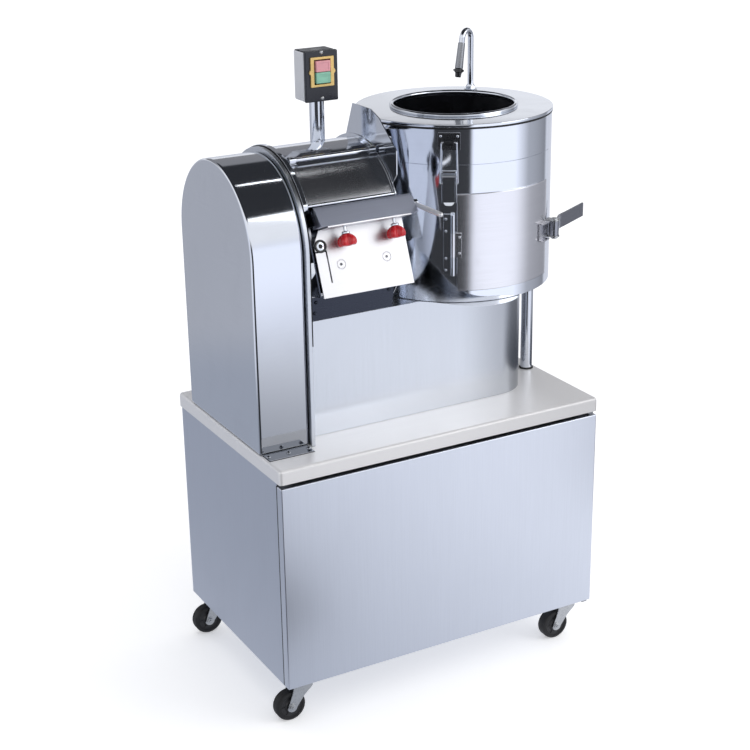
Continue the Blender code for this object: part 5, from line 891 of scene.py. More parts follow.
def build_caster(name, x, y):
    """One swivel caster: ball race, cheeks with axle and nuts, and a wheel with a ribbed hub."""
    wheel_radius = 0.0315
    cheek_out = 0.0165
    axle = Vector((x - 0.026, y, wheel_radius))
    race = lathe("race", [(0.0053, 0.0757), (0.019, 0.0757), (0.0213, 0.0772), (0.022, 0.0785),
                          (0.022, 0.0805), (0.0208, 0.0817), (0.0053, 0.0817)], (x, y, 0.0), closed=True)
    parts = [rounded(race, 0.0003, 2)]
    cheek = arc((-0.026, wheel_radius), 0.0105, 190, 350, 20)
    cheek += [(0.001, 0.052), (0.019, 0.068), (0.0205, 0.0765), (-0.0205, 0.0765), (-0.0225, 0.066)]
    for side in SIDES:
        low, high = stretch(side, 0.014, cheek_out)
        leg = prism("cheek", [(x + px, pz) for px, pz in cheek], y + low, y + high, "Y")
        parts.append(rounded(leg, 0.0008, 3))
        way = (-math.pi / 2 * side, 0.0, 0.0)
        at = (axle.x, y + side * cheek_out, axle.z)
        parts.append(hex_bolt("nut", 0.0125, 0.0035, at, way))
        parts.append(rounded(turned_bar("end", 0.0035, 0.0055, 0.0, at, way, 24), 0.0006, 2))
    parts.append(turned_bar("axle", 0.004, -cheek_out, cheek_out, axle, ALONG_Y, 32))
    show(gather(*parts), zinc(), f"caster_fork_{name}")
    side = arc((wheel_radius - 0.0055, 0.0065), 0.0055, 5, 90, 5) + [(0.0243, 0.012), (0.0236, 0.0112),
                                                                     (0.0227, 0.0112)]
    tyre = side[::-1] + [(wheel_radius, 0.0)] + [(r, -w) for r, w in side]
    show(lathe("tyre_" + name, tyre, axle, ALONG_Y, 120, closed=True), tyre_rubber(),
         f"caster_wheel_{name}")
    hub = [(0.0228, 0.0106), (0.0212, 0.0106), (0.0204, 0.0092), (0.014, 0.009), (0.0128, 0.0106),
           (0.0117, 0.0119), (0.0043, 0.0119)]
    wheel = lathe("hub", hub + [(r, -w) for r, w in hub[::-1]], axle, ALONG_Y, closed=True)
    ribs = []
    for step in range(6):
        for side in SIDES:
            rib = slab("rib", (0.0125, side * 0.0098 - 0.0008, -0.0009),
                       (0.0212, side * 0.0098 + 0.0008, 0.0009))
            ribs.append(moved(rounded(rib, 0.0003, 2), axle, (0.0, math.tau * step / 6, 0.0)))
    plastic = finish("hub_plastic", grained_plastic, (0.022, 0.022, 0.024), "black_rubber", 900.0, 0.36)
    show(gather(rounded(wheel, 0.0004, 2), *ribs), plastic, f"caster_wheel_{name}")


# Belt guard and carrier plate
def build_guard():
    """The belt guard with its fold, foot flange and three screws; the carrier plate behind it."""
    look = scene_look("head")
    foot = DECK + GAP
    steps = look.round_steps // 2
    guard = prism("belt_guard_sheet", arch(GUARD_RADIUS, foot, steps), GUARD_LEFT, GUARD_RIGHT)
    rounded(guard, look.guard_fold, 7, 50.0)
    carve(guard, prism("room", arch(GUARD_RADIUS - 0.0021, foot - 0.02, steps), GUARD_LEFT + 0.0021, 0.0))
    front = AXIS_Y - GUARD_RADIUS
    left = GUARD_LEFT + 0.006
    right = GUARD_RIGHT - 0.006
    corner = [(front + 0.0008, foot + 0.006), (front - 0.0005, foot + 0.0035),
              (front - 0.003, foot + 0.002), (front - 0.032, foot + 0.002), (front - 0.032, foot),
              (front + 0.0008, foot)]
    flange = rounded(prism("flange", corner, left, right), 0.0006, 2)
    screws = [screw_head("screw", 0.0045, 0.003, (GUARD_LEFT + (GUARD_RIGHT - GUARD_LEFT) * share,
                                                  front - 0.016, foot + 0.002))
              for share in (0.1, 0.5, 0.9)]
    # Painted light and shade on the guard's front: lighter towards the top (painted highlight), darker
    # towards the foot (painted shade)
    plate = (FORWARD, -front - 0.004, -front - 0.0015)
    tones = [((plate, (UPWARD, DECK + 0.2, DECK + 0.37)), 1.15),
             ((plate, (DOWNWARD, -DECK - 0.36, -DECK)), 0.56)]
    show(gather(guard, flange, *screws), polished("polished_guard_steel", (8.0, 8.0, 480.0),
                                                  roughness=0.075, tones=tones), "belt_guard")
    gasket = slab("foot_gasket", (left - 0.0008, front - 0.0329, DECK + 0.00003),
                  (right + 0.0008, front, DECK + 0.00029))
    ring = prism("casing_seal", arch(0.1737, foot + 0.2, steps) + arch(0.169, foot + 0.2, steps)[::-1],
                 CASING_LEFT - 0.0008, CASING_LEFT - 0.0002)
    show(gather(gasket, ring), tyre_rubber(), body="machine")
    left = GUARD_RIGHT + GAP
    carrier = rounded(prism("carrier_plate", arch(0.172, foot, steps), left, left + 0.008), 0.0008, 3, 50.0)
    carve(carrier, slab("step", (left + 0.004, -0.118, foot), (left + 0.038, AXIS_Y + 0.086, foot + 0.004)),
          operation="UNION")
    carve(carrier, hole(SHAFT_HOLE, (left, AXIS_Y, AXIS_Z), ALONG_X))
    show(carrier, satin("satin_carrier_steel", (0.66, 0.69, 0.74), (60.0, 60.0, 700.0), 0.27),
         "head_carrier")


# Slicing head
def build_casing():
    """The casing with its flanges, cheeks, apron and saddles."""
    look = scene_look("head")
    flange = CASING_LEFT + 0.009
    end = CASING_RIGHT - 0.002
    outline = [(0.175, CASING_LEFT), (0.175, flange), (CASING_RADIUS, flange), (CASING_RADIUS, end),
               (0.1745, end), (0.1745, CASING_RIGHT), (0.085, CASING_RIGHT), (0.085, end), (0.166, end),
               (0.166, CASING_LEFT)]
    casing = rounded(lathe("casing", outline, HEAD_PLACE, ALONG_X, look.round_steps, closed=True), 0.0006,
                     3, 50.0)
    back = 0.0033
    hood_back = (-0.1415, DECK + 0.46)
    room = [on_front(0.1475, -back), on_front(0.0, -back), hood_back, (hood_back[0], hood_back[1] + 0.02),
            on_front(-0.02, 0.168), on_front(0.1475, 0.168)]
    carve(casing, prism("opening", band(HEAD_CENTRE, 0.108, 0.195, 115.5, 208.0, 64), flange + GAP,
                        end - GAP), prism("front_room", room, -0.4, 0.2))
    root = 0.16
    clear = 0.0023
    apron_top = polar(HEAD_CENTRE, 0.167, 209.5)
    profile = [polar(HEAD_CENTRE, root, 149.5), polar(HEAD_CENTRE, CASING_RADIUS, 149.5),
               (HOOD_LIP[0] + clear, HOOD_LIP[1] - 2 * clear), on_front(-2 * clear, 0.04 - 3 * clear),
               on_front(-2 * clear, 0.0), on_front(-2 * clear, -back), on_front(FRONT_LENGTH - back, -back),
               apron_top, polar(HEAD_CENTRE, root, 210.0)]
    fitted = [rounded(prism("cheek", profile, x, x + 0.003), 0.0006, 2)
              for x in (flange - GAP, end + 0.002 - GAP - 0.003)]
    apron_foot = (-0.1215, DECK + 0.2335)
    apron = prism("apron", bent([apron_top, apron_foot], 0.002), flange, CASING_RIGHT - 0.0015)
    fitted.append(rounded(apron, 0.0005, 2))
    saddles = []
    for share in (0.25, 0.75):
        x = flange + (end - flange) * share
        saddle = slab("saddle", (x - 0.0075, AXIS_Y - 0.03, SHELF + GAP),
                      (x + 0.0075, AXIS_Y + 0.03, AXIS_Z - CASING_RADIUS + 0.0015))
        saddles.append(rounded(saddle, 0.0012, 2))
    way = Vector(apron_top) - Vector(apron_foot)
    lean = math.atan2(way.y, -way.x)
    for x, share in ((-0.222, 0.72), (-0.222, 0.3), (-0.066, 0.72)):
        at = (x, apron_foot[0] + way.x * share - 0.0006, apron_foot[1] + way.y * share)
        fitted.append(screw_head("screw", 0.0036, 0.0022, at, (math.pi - lean, 0.0, 0.0)))
    # Painted shade: the cheeks, apron and their screws get a near-black copy of the casing's steel for the
    # shade on them
    show(gather(*fitted), satin("dark_apron_steel", (0.055, 0.062, 0.085), (9.0, 560.0, 560.0), 0.26),
         "cutter_casing")
    show(gather(casing, *saddles), round_x_steel(), "cutter_casing")


def casing_trim(name):
    """A cutter as round as the casing, for what sits on it."""
    return turned_bar(name, CASING_RADIUS + GAP, -0.4, 0.2, HEAD_PLACE, ALONG_X, 288)


def build_cover():
    """The cover over the rotor with its rolled bar, and the rod and lugs that it hinges on."""
    left = CASING_LEFT + 0.0096
    right = CASING_RIGHT - 0.0026
    hinge = (0.0, *polar(HEAD_CENTRE, 0.174, 114.3))
    cover = rounded(prism("cover_sheet", band(HEAD_CENTRE, 0.166, CASING_RADIUS, 117.0, 148.5, 48), left,
                          right), 0.0005, 2, 50)
    bar = rounded(turned_bar("bar", 0.0035, left, right, (0.0, *polar(HEAD_CENTRE, 0.17, 148.5)), ALONG_X,
                             40), 0.0008, 3)
    inner = left + 0.014
    outer = right - 0.014
    knuckle = turned_ring("knuckle", 0.003, 0.0045, inner, outer, hinge, ALONG_X, 40)
    path = [polar(HEAD_CENTRE, 0.1672, 118.5), polar(HEAD_CENTRE, 0.171, 115.9)]
    link = prism("link", bent(path, 0.0025), inner + 0.001, outer - 0.001)
    show(cover, satin("satin_cover_steel", (0.6, 0.61, 0.64), (620.0, 9.0, 9.0), 0.2), "cutter_cover")
    show(gather(bar, rounded(knuckle, 0.0003, 2), rounded(link, 0.0003, 2)), bright_fittings(),
         "cutter_cover")
    rod = turned_bar("rod", 0.0025, left, right, hinge, ALONG_X, 32)
    lugs = []
    for x in (left, right - 0.014):
        lug = turned_bar("lug", 0.0075, x + 0.0005, x + 0.0135, hinge, ALONG_X, 48)
        lugs.append(rounded(carve(lug, casing_trim("trim")), 0.0009, 3, 40.0))
    show(gather(rod, *lugs), bright_fittings(), "cover_hinge")


def front_place():
    """The frame of the leaning front plate: X along it, Y up it, Z in front of it."""
    turn = Matrix.Rotation(math.pi / 2 - FRONT_LEAN, 4, "X")
    return Matrix.Translation((FRONT_MIDDLE, *FRONT_TOP)) @ turn


def star_body():
    """The body of a star knob: five rounded wings that draw in towards a domed top and a flat foot."""
    bm = bmesh.new()
    rings = []
    for height, share in ((-0.01, 0.7), (-0.0094, 0.82), (-0.0078, 0.93), (-0.005, 0.99), (-0.001, 1.0),
                          (0.003, 0.95), (0.0067, 0.83), (0.0095, 0.66), (0.0114, 0.5), (0.0123, 0.38),
                          (0.0125, 0.3)):
        ring = []
        for step in range(120):
            angle = math.tau * step / 120
            wing = 0.0029 * math.cos(5 * angle) - 0.0006 * math.cos(10 * angle)
            reach = (0.0166 + wing * share) * share
            ring.append(bm.verts.new((reach * math.cos(angle), reach * math.sin(angle), height)))
        rings.append(ring)
    joined_rings(bm, rings)
    bm.faces.new(rings[0][::-1])
    bm.faces.new(rings[-1])
    return item("knob", bm)


def build_front():
    """The leaning front plate with its folded flange, slot and screws, the blade, and the pivot screw."""
    place = front_place()
    half = (FRONT_RIGHT - FRONT_LEFT) / 2
    outline = [(-half, -FRONT_LENGTH), (half, -FRONT_LENGTH), (half, 0.0), (0.0155 - half, 0.0),
               (-half, -0.028)]
    plate = prism("plate", outline, -0.003, 0.0, "Z")
    carve(plate, slab("flange", (0.0155 - half, -0.003, -0.0015), (half, 0.0, 0.04)), operation="UNION")
    inset = 0.0235 - half
    screws_at = [(side * 0.048, -0.07, 0.0) for side in SIDES]
    carve(plate, slab("across", (-half - 0.02, -0.0428, -0.02), (inset, -0.0402, 0.02)),
          slab("down", (inset - 0.0026, -0.1005, -0.02), (inset, -0.0402, 0.02)),
          *[turned_ring("groove", 0.0078, 0.0092, -0.0009, 0.01, at, steps=64) for at in screws_at])
    rounded(plate, 0.0007, 3)
    carve(plate, *[hole(0.0034, (x - FRONT_MIDDLE, -0.001, KNOB_OUT), ALONG_Y, 32, 0.06) for x in KNOB_X])
    screws = [screw_head("screw", 0.0026, 0.0018, at, (0.0, 0.0, 0.5)) for at in screws_at]
    show(moved(plate, frame_of=place), satin("satin_front_steel", (0.73, 0.73, 0.75), (9.0, 520.0, 520.0),
                                             0.36, 0.000003), "front_plate")
    show(moved(gather(*screws), frame_of=place), dark_steel(), "front_plate")
    blade = slab("blade", (-0.0905, -0.085, -0.0063), (0.0755, -0.055, -0.0033))
    show(moved(rounded(blade, 0.0006, 2), frame_of=place), dark_steel(), "cutter_blade")
    ring = [(0.0083, 0.0003), (0.0083, 0.0021), (0.0089, 0.0029), (0.0112, 0.003), (0.0122, 0.0018),
            (0.0125, 0.0004), (0.0125, 0.0003)]
    at = (0.0125 - half, -0.0315, 0.0)
    screw = gather(lathe("pivot_ring", ring, at, steps=72, closed=True),
                   screw_head("pivot_pin", 0.0041, 0.0019, (at[0], at[1], 0.0012)))
    show(moved(screw, frame_of=place), finish("black_screw_plastic", gloss_plastic, (0.01, 0.01, 0.012),
                                              "black_rubber"), "pivot_screw")
    washer = lathe("pivot_washer", [(0.0, 0.0012), (0.007, 0.0012), (0.008, 0.0007), (0.008, 0.0003),
                                    (0.0, 0.0003)], at, steps=72)
    show(moved(washer, frame_of=place), bright_fittings(), "pivot_screw")
    for name, x in zip(("left", "right"), KNOB_X):
        build_star_knob(f"star_knob_{name}",
                        place @ Matrix.Translation((x - FRONT_MIDDLE, -0.03, KNOB_OUT)))


def build_star_knob(node, seat):
    """A star knob with its dished top, stud and collar."""
    seat = seat @ Matrix.Rotation(-math.pi / 2, 4, "X")
    knob = star_body()
    carve(knob, lathe("dish", [(0.0, -0.008), (0.008, -0.008), (0.0095, -0.02), (0.0, -0.02)], steps=64))
    plastic = finish("red_knob_plastic", gloss_plastic, tuple(scene_look("head").knob_colour),
                     "red_plastic")
    show(moved(knob, frame_of=seat), plastic, node)
    stud = [(0.0, 0.0318), (0.003, 0.0318), (0.003, 0.0), (0.0, 0.0)]
    collar = lathe("collar", [(0.003, 0.0124), (0.0078, 0.0124), (0.0078, 0.0152), (0.0058, 0.0172),
                              (0.003, 0.0172)], steps=48, closed=True)
    show(moved(gather(lathe("stud", stud, steps=32), rounded(collar, 0.0004, 2)), frame_of=seat),
         bright_fittings(), node)


def build_hood():
    """The bent hood with its closed ends, and the lock lever beside it."""
    path = [(-0.1435, DECK + 0.458), HOOD_LIP, on_front(-GAP, 0.04), on_front(-GAP, 0.003)]
    hood = prism("hood_sheet", bent(path, 0.002), -0.228, -0.024)
    insets = ((0.0, -0.001), (0.001, -0.001), (0.002, 0.0005), (0.0, 0.001))
    closing = [(y + inward, z + rise) for (y, z), (inward, rise) in zip(path, insets)]
    for x in (-0.2277, -0.0263):
        carve(hood, prism("closing", closing, x, x + 0.002), operation="UNION")
    rounded(hood, 0.0007, 3)
    show(hood, satin("satin_hood_steel", (0.74, 0.78, 0.92), (12.0, 700.0, 700.0), 0.48), "hood")
    pivot = (-0.0187, -0.15, DECK + 0.4385)
    hub = rounded(turned_bar("hub", 0.009, -0.005, 0.005, pivot, ALONG_X, 64), 0.001, 3)
    pin = rounded(turned_bar("pin", 0.004, 0.0, 0.0068, pivot, ALONG_X, 32), 0.001, 3)
    end = [(0.0, 0.1), (0.0022, 0.0995), (0.0038, 0.0982), (0.0046, 0.0962), (0.0048, 0.094)]
    rod = lathe("rod", end + [(0.0048, 0.0), (0.0, 0.0)], pivot, (math.pi / 2, 0.0, 0.0), 48)
    show(gather(hub, pin), bright_fittings(), "lock_lever")
    show(rod, satin("satin_rod_steel", (0.93, 0.93, 0.95), (300.0, 9.0, 300.0), 0.32, metallic=0.75),
         "lock_lever")


# Feed hopper, skirt and shelf
def funnel(inset, above, reach):
    """The corners of the hopper's funnel, moved in, raised and run on to the left."""
    top = DECK + 0.535 + above
    left = -0.0505
    right = 0.016 - inset
    front = 2 * inset
    back = 0.058 - inset
    floor = DECK + inset
    lefts = [(left, -0.136 + front, top), (left, back, top), (left, back, floor + 0.292),
             (left, -0.072 + front, floor + 0.292)]
    rights = [(right, -0.005 + front, top), (right, back, top), (right, back, floor + 0.42),
              (right, -0.005 + front, floor + 0.42)]
    share = reach / (right - left)
    lefts = [Vector(one).lerp(Vector(other), -share) for one, other in zip(lefts, rights)]
    return lefts + [Vector(place) for place in rights]


BLOCK_FACES = ((0, 1, 2, 3), (7, 6, 5, 4), (0, 4, 5, 1), (1, 5, 6, 2), (2, 6, 7, 3), (3, 7, 4, 0))


def build_hopper():
    """The feed hopper: an upright plate on the casing's end, and a funnel that slopes to the feed hole."""
    outline = [(0.026, DECK + 0.603), (-0.045, DECK + 0.603), (-0.077, DECK + 0.591),
               (-0.142, DECK + 0.541), (-0.142, DECK + 0.496)]
    wall = prism("hopper_sheet", outline + arc(HEAD_CENTRE, 0.118, 148.0, 405.0, 96), -0.0515, -0.0495)
    carve(wall, hole(0.085, (-0.05, AXIS_Y, AXIS_Z), ALONG_X, 128))
    shell = carve(solid("funnel", funnel(0.0, 0.0, 0.0), BLOCK_FACES),
                  solid("inside", funnel(0.002, 0.02, 0.002), BLOCK_FACES))
    carve(wall, shell, operation="UNION")
    show(rounded(wall, 0.0006, 3), polished("polished_hopper_steel", (420.0, 420.0, 11.0), roughness=0.08),
         "feed_hopper")


def skirt_plan(inset, steps=24):
    """The skirt's plan from its left front end round to its left back end, set in by a distance."""
    left = GUARD_RIGHT + 0.0086
    corner = arc((0.202, -0.043), 0.078 - inset, -90, 0, steps)
    corner += arc((0.237, 0.147), 0.043 - inset, 0, 90, steps)
    return [(left, SKIRT_FRONT + inset)], corner, [(left, 0.19 - inset)]


def build_skirt():
    """The skirt whose front edge sweeps down to the drum, and the shelf plate that closes it."""
    start, corner, end = skirt_plan(0.0)
    high = DECK + 0.2325
    path = [(*start[0], high), (-0.12, SKIRT_FRONT, high)]
    for step in range(41):
        share = step / 40
        drop = (high - SHELF) * math.sin(share * math.pi / 2) ** 1.3
        path.append((0.005 + 0.192 * share, SKIRT_FRONT, high - drop))
    path += [(x, y, SHELF) for x, y in corner + end]
    bm = bmesh.new()
    foot = [bm.verts.new((x, y, DECK + GAP)) for x, y, _ in path]
    edge = [bm.verts.new(point) for point in path]
    for index in range(len(path) - 1):
        bm.faces.new((foot[index], foot[index + 1], edge[index + 1], edge[index]))
    skirt = sheet(item("skirt_sheet", bm), 0.0015)
    # Painted light and shade on the skirt: a lighter band near its foot (painted reflection of the
    # worktop), darker towards its right end (painted shade)
    tones = [(((DOWNWARD, -DECK - 0.052, -DECK - 0.038), (LEFTWARD, -0.12, 0.18)), 1.28),
             (((RIGHTWARD, 0.09, 0.22),), 0.64)]
    steel = satin("satin_skirt_steel", (0.66, 0.69, 0.74), (640.0, 640.0, 8.0), 0.22, 0.000015,
                  "mirror_steel", tones=tones)
    show(rounded(skirt, 0.0004, 2, 50.0), steel, "skirt")
    start, corner, end = skirt_plan(0.0018)
    shelf = prism("shelf_sheet", start + corner + end, SHELF - 0.004, SHELF, "Z")
    carve(shelf, hole(SHAFT_HOLE, (*DRUM, SHELF)))
    show(rounded(shelf, 0.0006, 2, 50.0), satin("satin_shelf_steel", (0.66, 0.67, 0.7), (9.0, 620.0, 620.0),
                                                0.26), "shelf_plate")


# Drum
def doorway():
    """A block of the discharge doorway's shape, through the barrel and its lining."""
    return prism("doorway", band(DRUM, 0.18, 0.22, -117.3, -57.0, 64), DECK + 0.23, DECK + 0.4095, "Z")


def round_drum(name, profile, steps):
    """A closed profile turned about the drum's axis."""
    return lathe(name, profile, (*DRUM, 0.0), steps=steps, closed=True)


def build_drum():
    """The barrel with its doorway, the grit lining, and the cap with its rolled mouth bead."""
    look = scene_look("drum")
    steps = look.round_steps
    floor = DRUM_FLOOR
    top = DRUM_SEAM - GAP
    barrel = round_drum("barrel", [(0.2005, top), (DRUM_RADIUS, top - 0.0005), (DRUM_RADIUS, floor + 0.001),
                                   (0.2, floor), (SHAFT_HOLE, floor), (SHAFT_HOLE, floor + 0.003),
                                   (0.199, floor + 0.003), (0.199, top)], steps)
    carve(barrel, doorway(), hole(0.0105, (*DRAIN, floor), reach=0.01))
    fittings = []
    for _, angle in LATCHES:
        parts = [rounded(slab("base", (-0.0015, -0.015, 0.402), (0.0023, 0.015, 0.466)), 0.0008, 3)]
        outline = [(0.0013, 0.449), (0.0113, 0.4515), (0.0113, 0.4605), (0.0085, 0.463), (0.0013, 0.463)]
        for side in SIDES:
            parts.append(rounded(prism("ear", outline, *stretch(side, 0.0147, 0.0127), "Y"), 0.0004, 2))
        for rise in (0.407, 0.4445):
            parts.append(screw_head("rivet", 0.0026, 0.0013, (0.0021, 0.0, rise), ALONG_X, recess=False))
        fittings.append(moved(gather(*parts), frame_of=drum_side(angle)))
    show(gather(barrel, *fittings), drum_steel(), "drum_barrel")
    lining = round_drum("lining", [(0.1987, top - 0.004), (0.1987, floor + 0.0033),
                                   (0.1919, floor + 0.0033), (0.1919, top - 0.004)], steps)
    show(carve(lining, doorway()), black_grit(), "abrasive_liner")
    build_cap(look, steps)


def build_cap(look, steps):
    """The cap: its side with a pressed groove, its top, the mouth's bead, and the latch keepers."""
    groove_top = DRUM_TOP - 0.006
    groove = DRUM_TOP - 0.01
    bead = arc((0.1275, DRUM_TOP + 0.0022), look.bead_radius, -28, 200, 20)
    side = [(0.1325, DRUM_TOP), (0.2015, DRUM_TOP), (0.2026, DRUM_TOP - 0.0005), (0.203, DRUM_TOP - 0.0016),
            (0.203, groove_top + 0.0008), (0.2024, groove_top), (0.2, groove_top - 0.0006),
            (0.1995, groove_top - 0.002), (0.2, groove + 0.0006), (DRUM_RADIUS, groove),
            (DRUM_RADIUS, DRUM_SEAM)]
    inside = [(0.199, DRUM_SEAM), (0.196, groove), (0.196, DRUM_TOP - 0.002), (0.125, DRUM_TOP - 0.002),
              (0.125, DRUM_TOP - 0.004), (0.123, DRUM_TOP - 0.004)]
    show(round_drum("cap", bead[::-1] + side + inside, steps), drum_steel(), "drum_cap")
    seal = [(0.1998, groove + 0.0006), (0.2022, groove + 0.0007), (0.2026, groove + 0.002),
            (0.2022, groove_top - 0.0007), (0.1998, groove_top - 0.0006)]
    show(round_drum("cap_seal", seal, steps), tyre_rubber(), "drum_cap")
    dark = finish("dark_keeper_steel", mill_steel, (0.17, 0.175, 0.19), "mirror_steel", 0.3)
    low = 0.5186
    high = 0.5216
    out = 0.0113
    for _, angle in LATCHES:
        keeper = rounded(slab("keeper", (-0.0015, -0.022, 0.507), (0.0023, 0.022, 0.541)), 0.0007, 3)
        ledge = prism("ledge", [(0.0013, high), (out, high), (out, low), (0.0013, low)], -0.01, 0.01, "Y")
        hook = prism("hook", [(0.0093, low), (out, low), (out, 0.5256), (0.0099, 0.5262)], -0.01, 0.01, "Y")
        rivets = [screw_head("rivet", 0.0028, 0.0014, (0.0022, side * 0.0165, 0.5345), ALONG_X,
                             recess=False) for side in SIDES]
        place = drum_side(angle)
        show(moved(gather(keeper, rounded(ledge, 0.0004, 2), rounded(hook, 0.0003, 2)), frame_of=place),
             dark, "drum_cap")
        show(moved(gather(*rivets), frame_of=place), bright_fittings(), "drum_cap")


def build_latches():
    """The toggle latches: lever with a curled end, and wire bail."""
    half = 0.01175
    rise = 0.456
    for name, angle in LATCHES:
        seat = drum_side(angle) @ Matrix.Translation((0.0078, 0.0, rise))
        path = [(0.0008, 0.0032), (0.0008, -0.046), (0.0014, -0.052), (0.004, -0.0575)]
        lever = prism("lever", bent(path, -0.0018), -half, half, "Y")
        round_end = prism("end", arc((0.0, -0.047), half, 180, 360, 24) + [(half, 0.01), (-half, 0.01)],
                          -0.02, 0.02, "X")
        carve(lever, round_end, operation="INTERSECT")
        outline = [(-0.0032, 0.0032), (0.0008, 0.0032), (0.0008, -0.04), (-0.0032, -0.034)]
        sides = [prism("side", outline, *stretch(side, half, half - 0.0016), "Y") for side in SIDES]
        pin = rounded(turned_bar("pin", 0.0018, -0.0156, 0.0156, turn=ALONG_Y, steps=28), 0.0004, 2)
        lever = gather(rounded(lever, 0.0005, 2), *[rounded(side, 0.0003, 2) for side in sides], pin)
        steel = polished("polished_latch_steel", (9.0, 9.0, 300.0), roughness=0.12, wave=0.0002)
        show(moved(lever, frame_of=seat), steel, f"latch_lever_{name}")
        foot = seat @ Matrix.Translation((-0.0005, 0.0, -0.014))
        top = 0.5235 - rise + 0.014
        loop = [(0.0, 0.0119, 0.0), (0.0, 0.0165, 0.0), (0.0, 0.0174, 0.0012)]
        loop += [(0.0, y, z) for y, z in arc((0.0112, top - 0.004), 0.004, 0, 90, 6)]
        loop += [(x, -y, z) for x, y, z in loop[::-1]]
        show(moved(tube("bail", loop, 0.0016, 20), frame_of=foot), bright_fittings(), f"latch_bail_{name}")


def side_screw(radius, height, out, angle, rise):
    """A screw head on the drum's side."""
    return screw_head("screw", radius, height, (0, 0, 0), ALONG_X,
                      frame_of=drum_side(angle, out - DRUM_RADIUS, rise))


def build_gate():
    """The discharge door with its plug and channel, the hinge, and the lever with its bracket."""
    door = prism("gate", band(DRUM, 0.2016, 0.2046, -119.9, -54.4, 96), DECK + 0.2205, DECK + 0.419, "Z")
    rounded(door, 0.0012, 3, 50.0)
    plug = prism("plug", band(DRUM, 0.193, 0.2031, -116.6, -57.7, 72), DECK + 0.232, DECK + 0.4075, "Z")
    axis = drum_side(-122.2, 0.007).translation
    low_cut = 0.2915
    high_cut = 0.3415
    leaf = prism("strap", band(DRUM, 0.2047, 0.2067, -121.2, -117.2, 12), DECK + low_cut + GAP,
                 DECK + high_cut - GAP, "Z")
    knuckle = turned_ring("knuckle", 0.0027, 0.0045, low_cut, high_cut, axis, steps=40)
    screws = [side_screw(0.0026, 0.0013, 0.2066, -118.4, rise) for rise in (0.3, 0.333)]
    seat = drum_side(-60.3, 0.0, 0.315)
    parts = [rounded(slab("pad", (0.003, -0.015, -0.019), (0.0061, 0.015, 0.019)), 0.0006, 2)]
    for side in SIDES:
        low, high = stretch(side, 0.019, 0.0165)
        parts.append(rounded(slab("wing", (0.0045, -0.0147, low), (0.0151, 0.0147, high)), 0.0006, 2))
    channel = [moved(part, frame_of=seat) for part in parts]
    steel = satin("satin_gate_steel", (0.87, 0.87, 0.91), (9.0, 9.0, 420.0), 0.2, 0.000002, "mirror_steel")
    show(gather(door, plug, rounded(knuckle, 0.0003, 2), rounded(leaf, 0.0003, 2), *channel, *screws),
         steel, "discharge_door")
    build_gate_hinge(axis, low_cut, high_cut)
    build_gate_lever()


def build_gate_hinge(axis, low_cut, high_cut):
    """The hinge's fixed leaf with its two knuckles, its pin and its screws."""
    low = 0.254
    high = 0.379
    hinge = moved(prism("leaf", band((0.0, 0.0), 0.2013, 0.2033, -127.4, -123.0, 12), low, high, "Z"),
                  (*DRUM, DECK))
    parts = [rounded(hinge, 0.0004, 2)]
    for bottom, top in ((low, low_cut - GAP), (high_cut + GAP, high)):
        parts.append(rounded(turned_bar("knuckle", 0.0045, bottom, top, axis, steps=40), 0.0005, 2))
        toe = prism("toe", band((0.0, 0.0), 0.2013, 0.2052, -123.6, -122.4, 4), bottom, top, "Z")
        parts.append(moved(toe, (*DRUM, DECK)))
    parts.append(turned_bar("pin", 0.0022, low + GAP, high - GAP, axis, steps=28))
    parts += [side_screw(0.003, 0.0015, 0.2032, -126.0, rise) for rise in (0.264, 0.2885, 0.3445, 0.369)]
    show(gather(*parts), bright_fittings(), "discharge_hinge")


def build_gate_lever():
    """The bracket on the barrel and the strap lever that turns in it."""
    parts = [rounded(slab("back", (0.0007, -0.009, -0.0183), (0.0026, 0.012, 0.0183)), 0.0005, 2)]
    out = 0.0186
    outline = [(0.0012, -0.009), (out, -0.009), *arc((out, 0.0015), 0.0105, -90, 90, 16), (0.0012, 0.012)]
    for side in SIDES:
        parts.append(rounded(prism("arm", outline, *stretch(side, 0.0153, 0.0183), "Z"), 0.0006, 2))
        parts.append(hex_bolt("bolt", 0.0112, 0.0034, (out, 0.0, side * 0.0183), UPRIGHT if side > 0
                              else UPSIDE_DOWN))
    parts.append(turned_bar("pin", 0.004, -0.018, 0.018, (out, 0.0, 0.0), steps=32))
    show(moved(gather(*parts), frame_of=drum_side(-51.5, 0.0, 0.315)), zinc(), "lever_bracket")
    place = Matrix.Translation((*polar(DRUM, DRUM_RADIUS + out, -51.5), DECK + 0.315))
    pivot = place @ Matrix.Rotation(math.radians(33.7), 4, "Z")
    hub = rounded(turned_ring("hub", 0.0044, 0.0095, -0.015, 0.015, steps=56), 0.0006, 2)
    path = [(0.0, -0.002), (0.02, -0.0005), (0.044, 0.0062), (0.052, 0.0075), (0.062, 0.007),
            (0.085, 0.0045), (0.166, -0.002)]
    blade = rounded(prism("strap", bent(path, 0.004), -0.0147, 0.0147, "Z"), 0.0009, 3)
    carve(blade, turned_bar("room", 0.0085, -0.02, 0.02, steps=48))
    nose = rounded(turned_bar("nose", 0.0035, -0.0144, 0.0144, (*polar((0.0, 0.0), 0.0125, 107.5), 0.0),
                              steps=32), 0.0005, 2)
    neck = rounded(slab("neck", (0.0085, -0.0028, -0.0141), (0.0125, 0.0028, 0.0141)), 0.0003, 2)
    moved(neck, turn=(0.0, 0.0, math.radians(107.5)))
    steel = satin("dull_lever_steel", (0.34, 0.35, 0.39), (14.0, 14.0, 500.0), 0.24, 0.000004,
                  "mirror_steel")
    show(moved(gather(hub, blade, nose, neck), frame_of=pivot), steel, "discharge_lever")


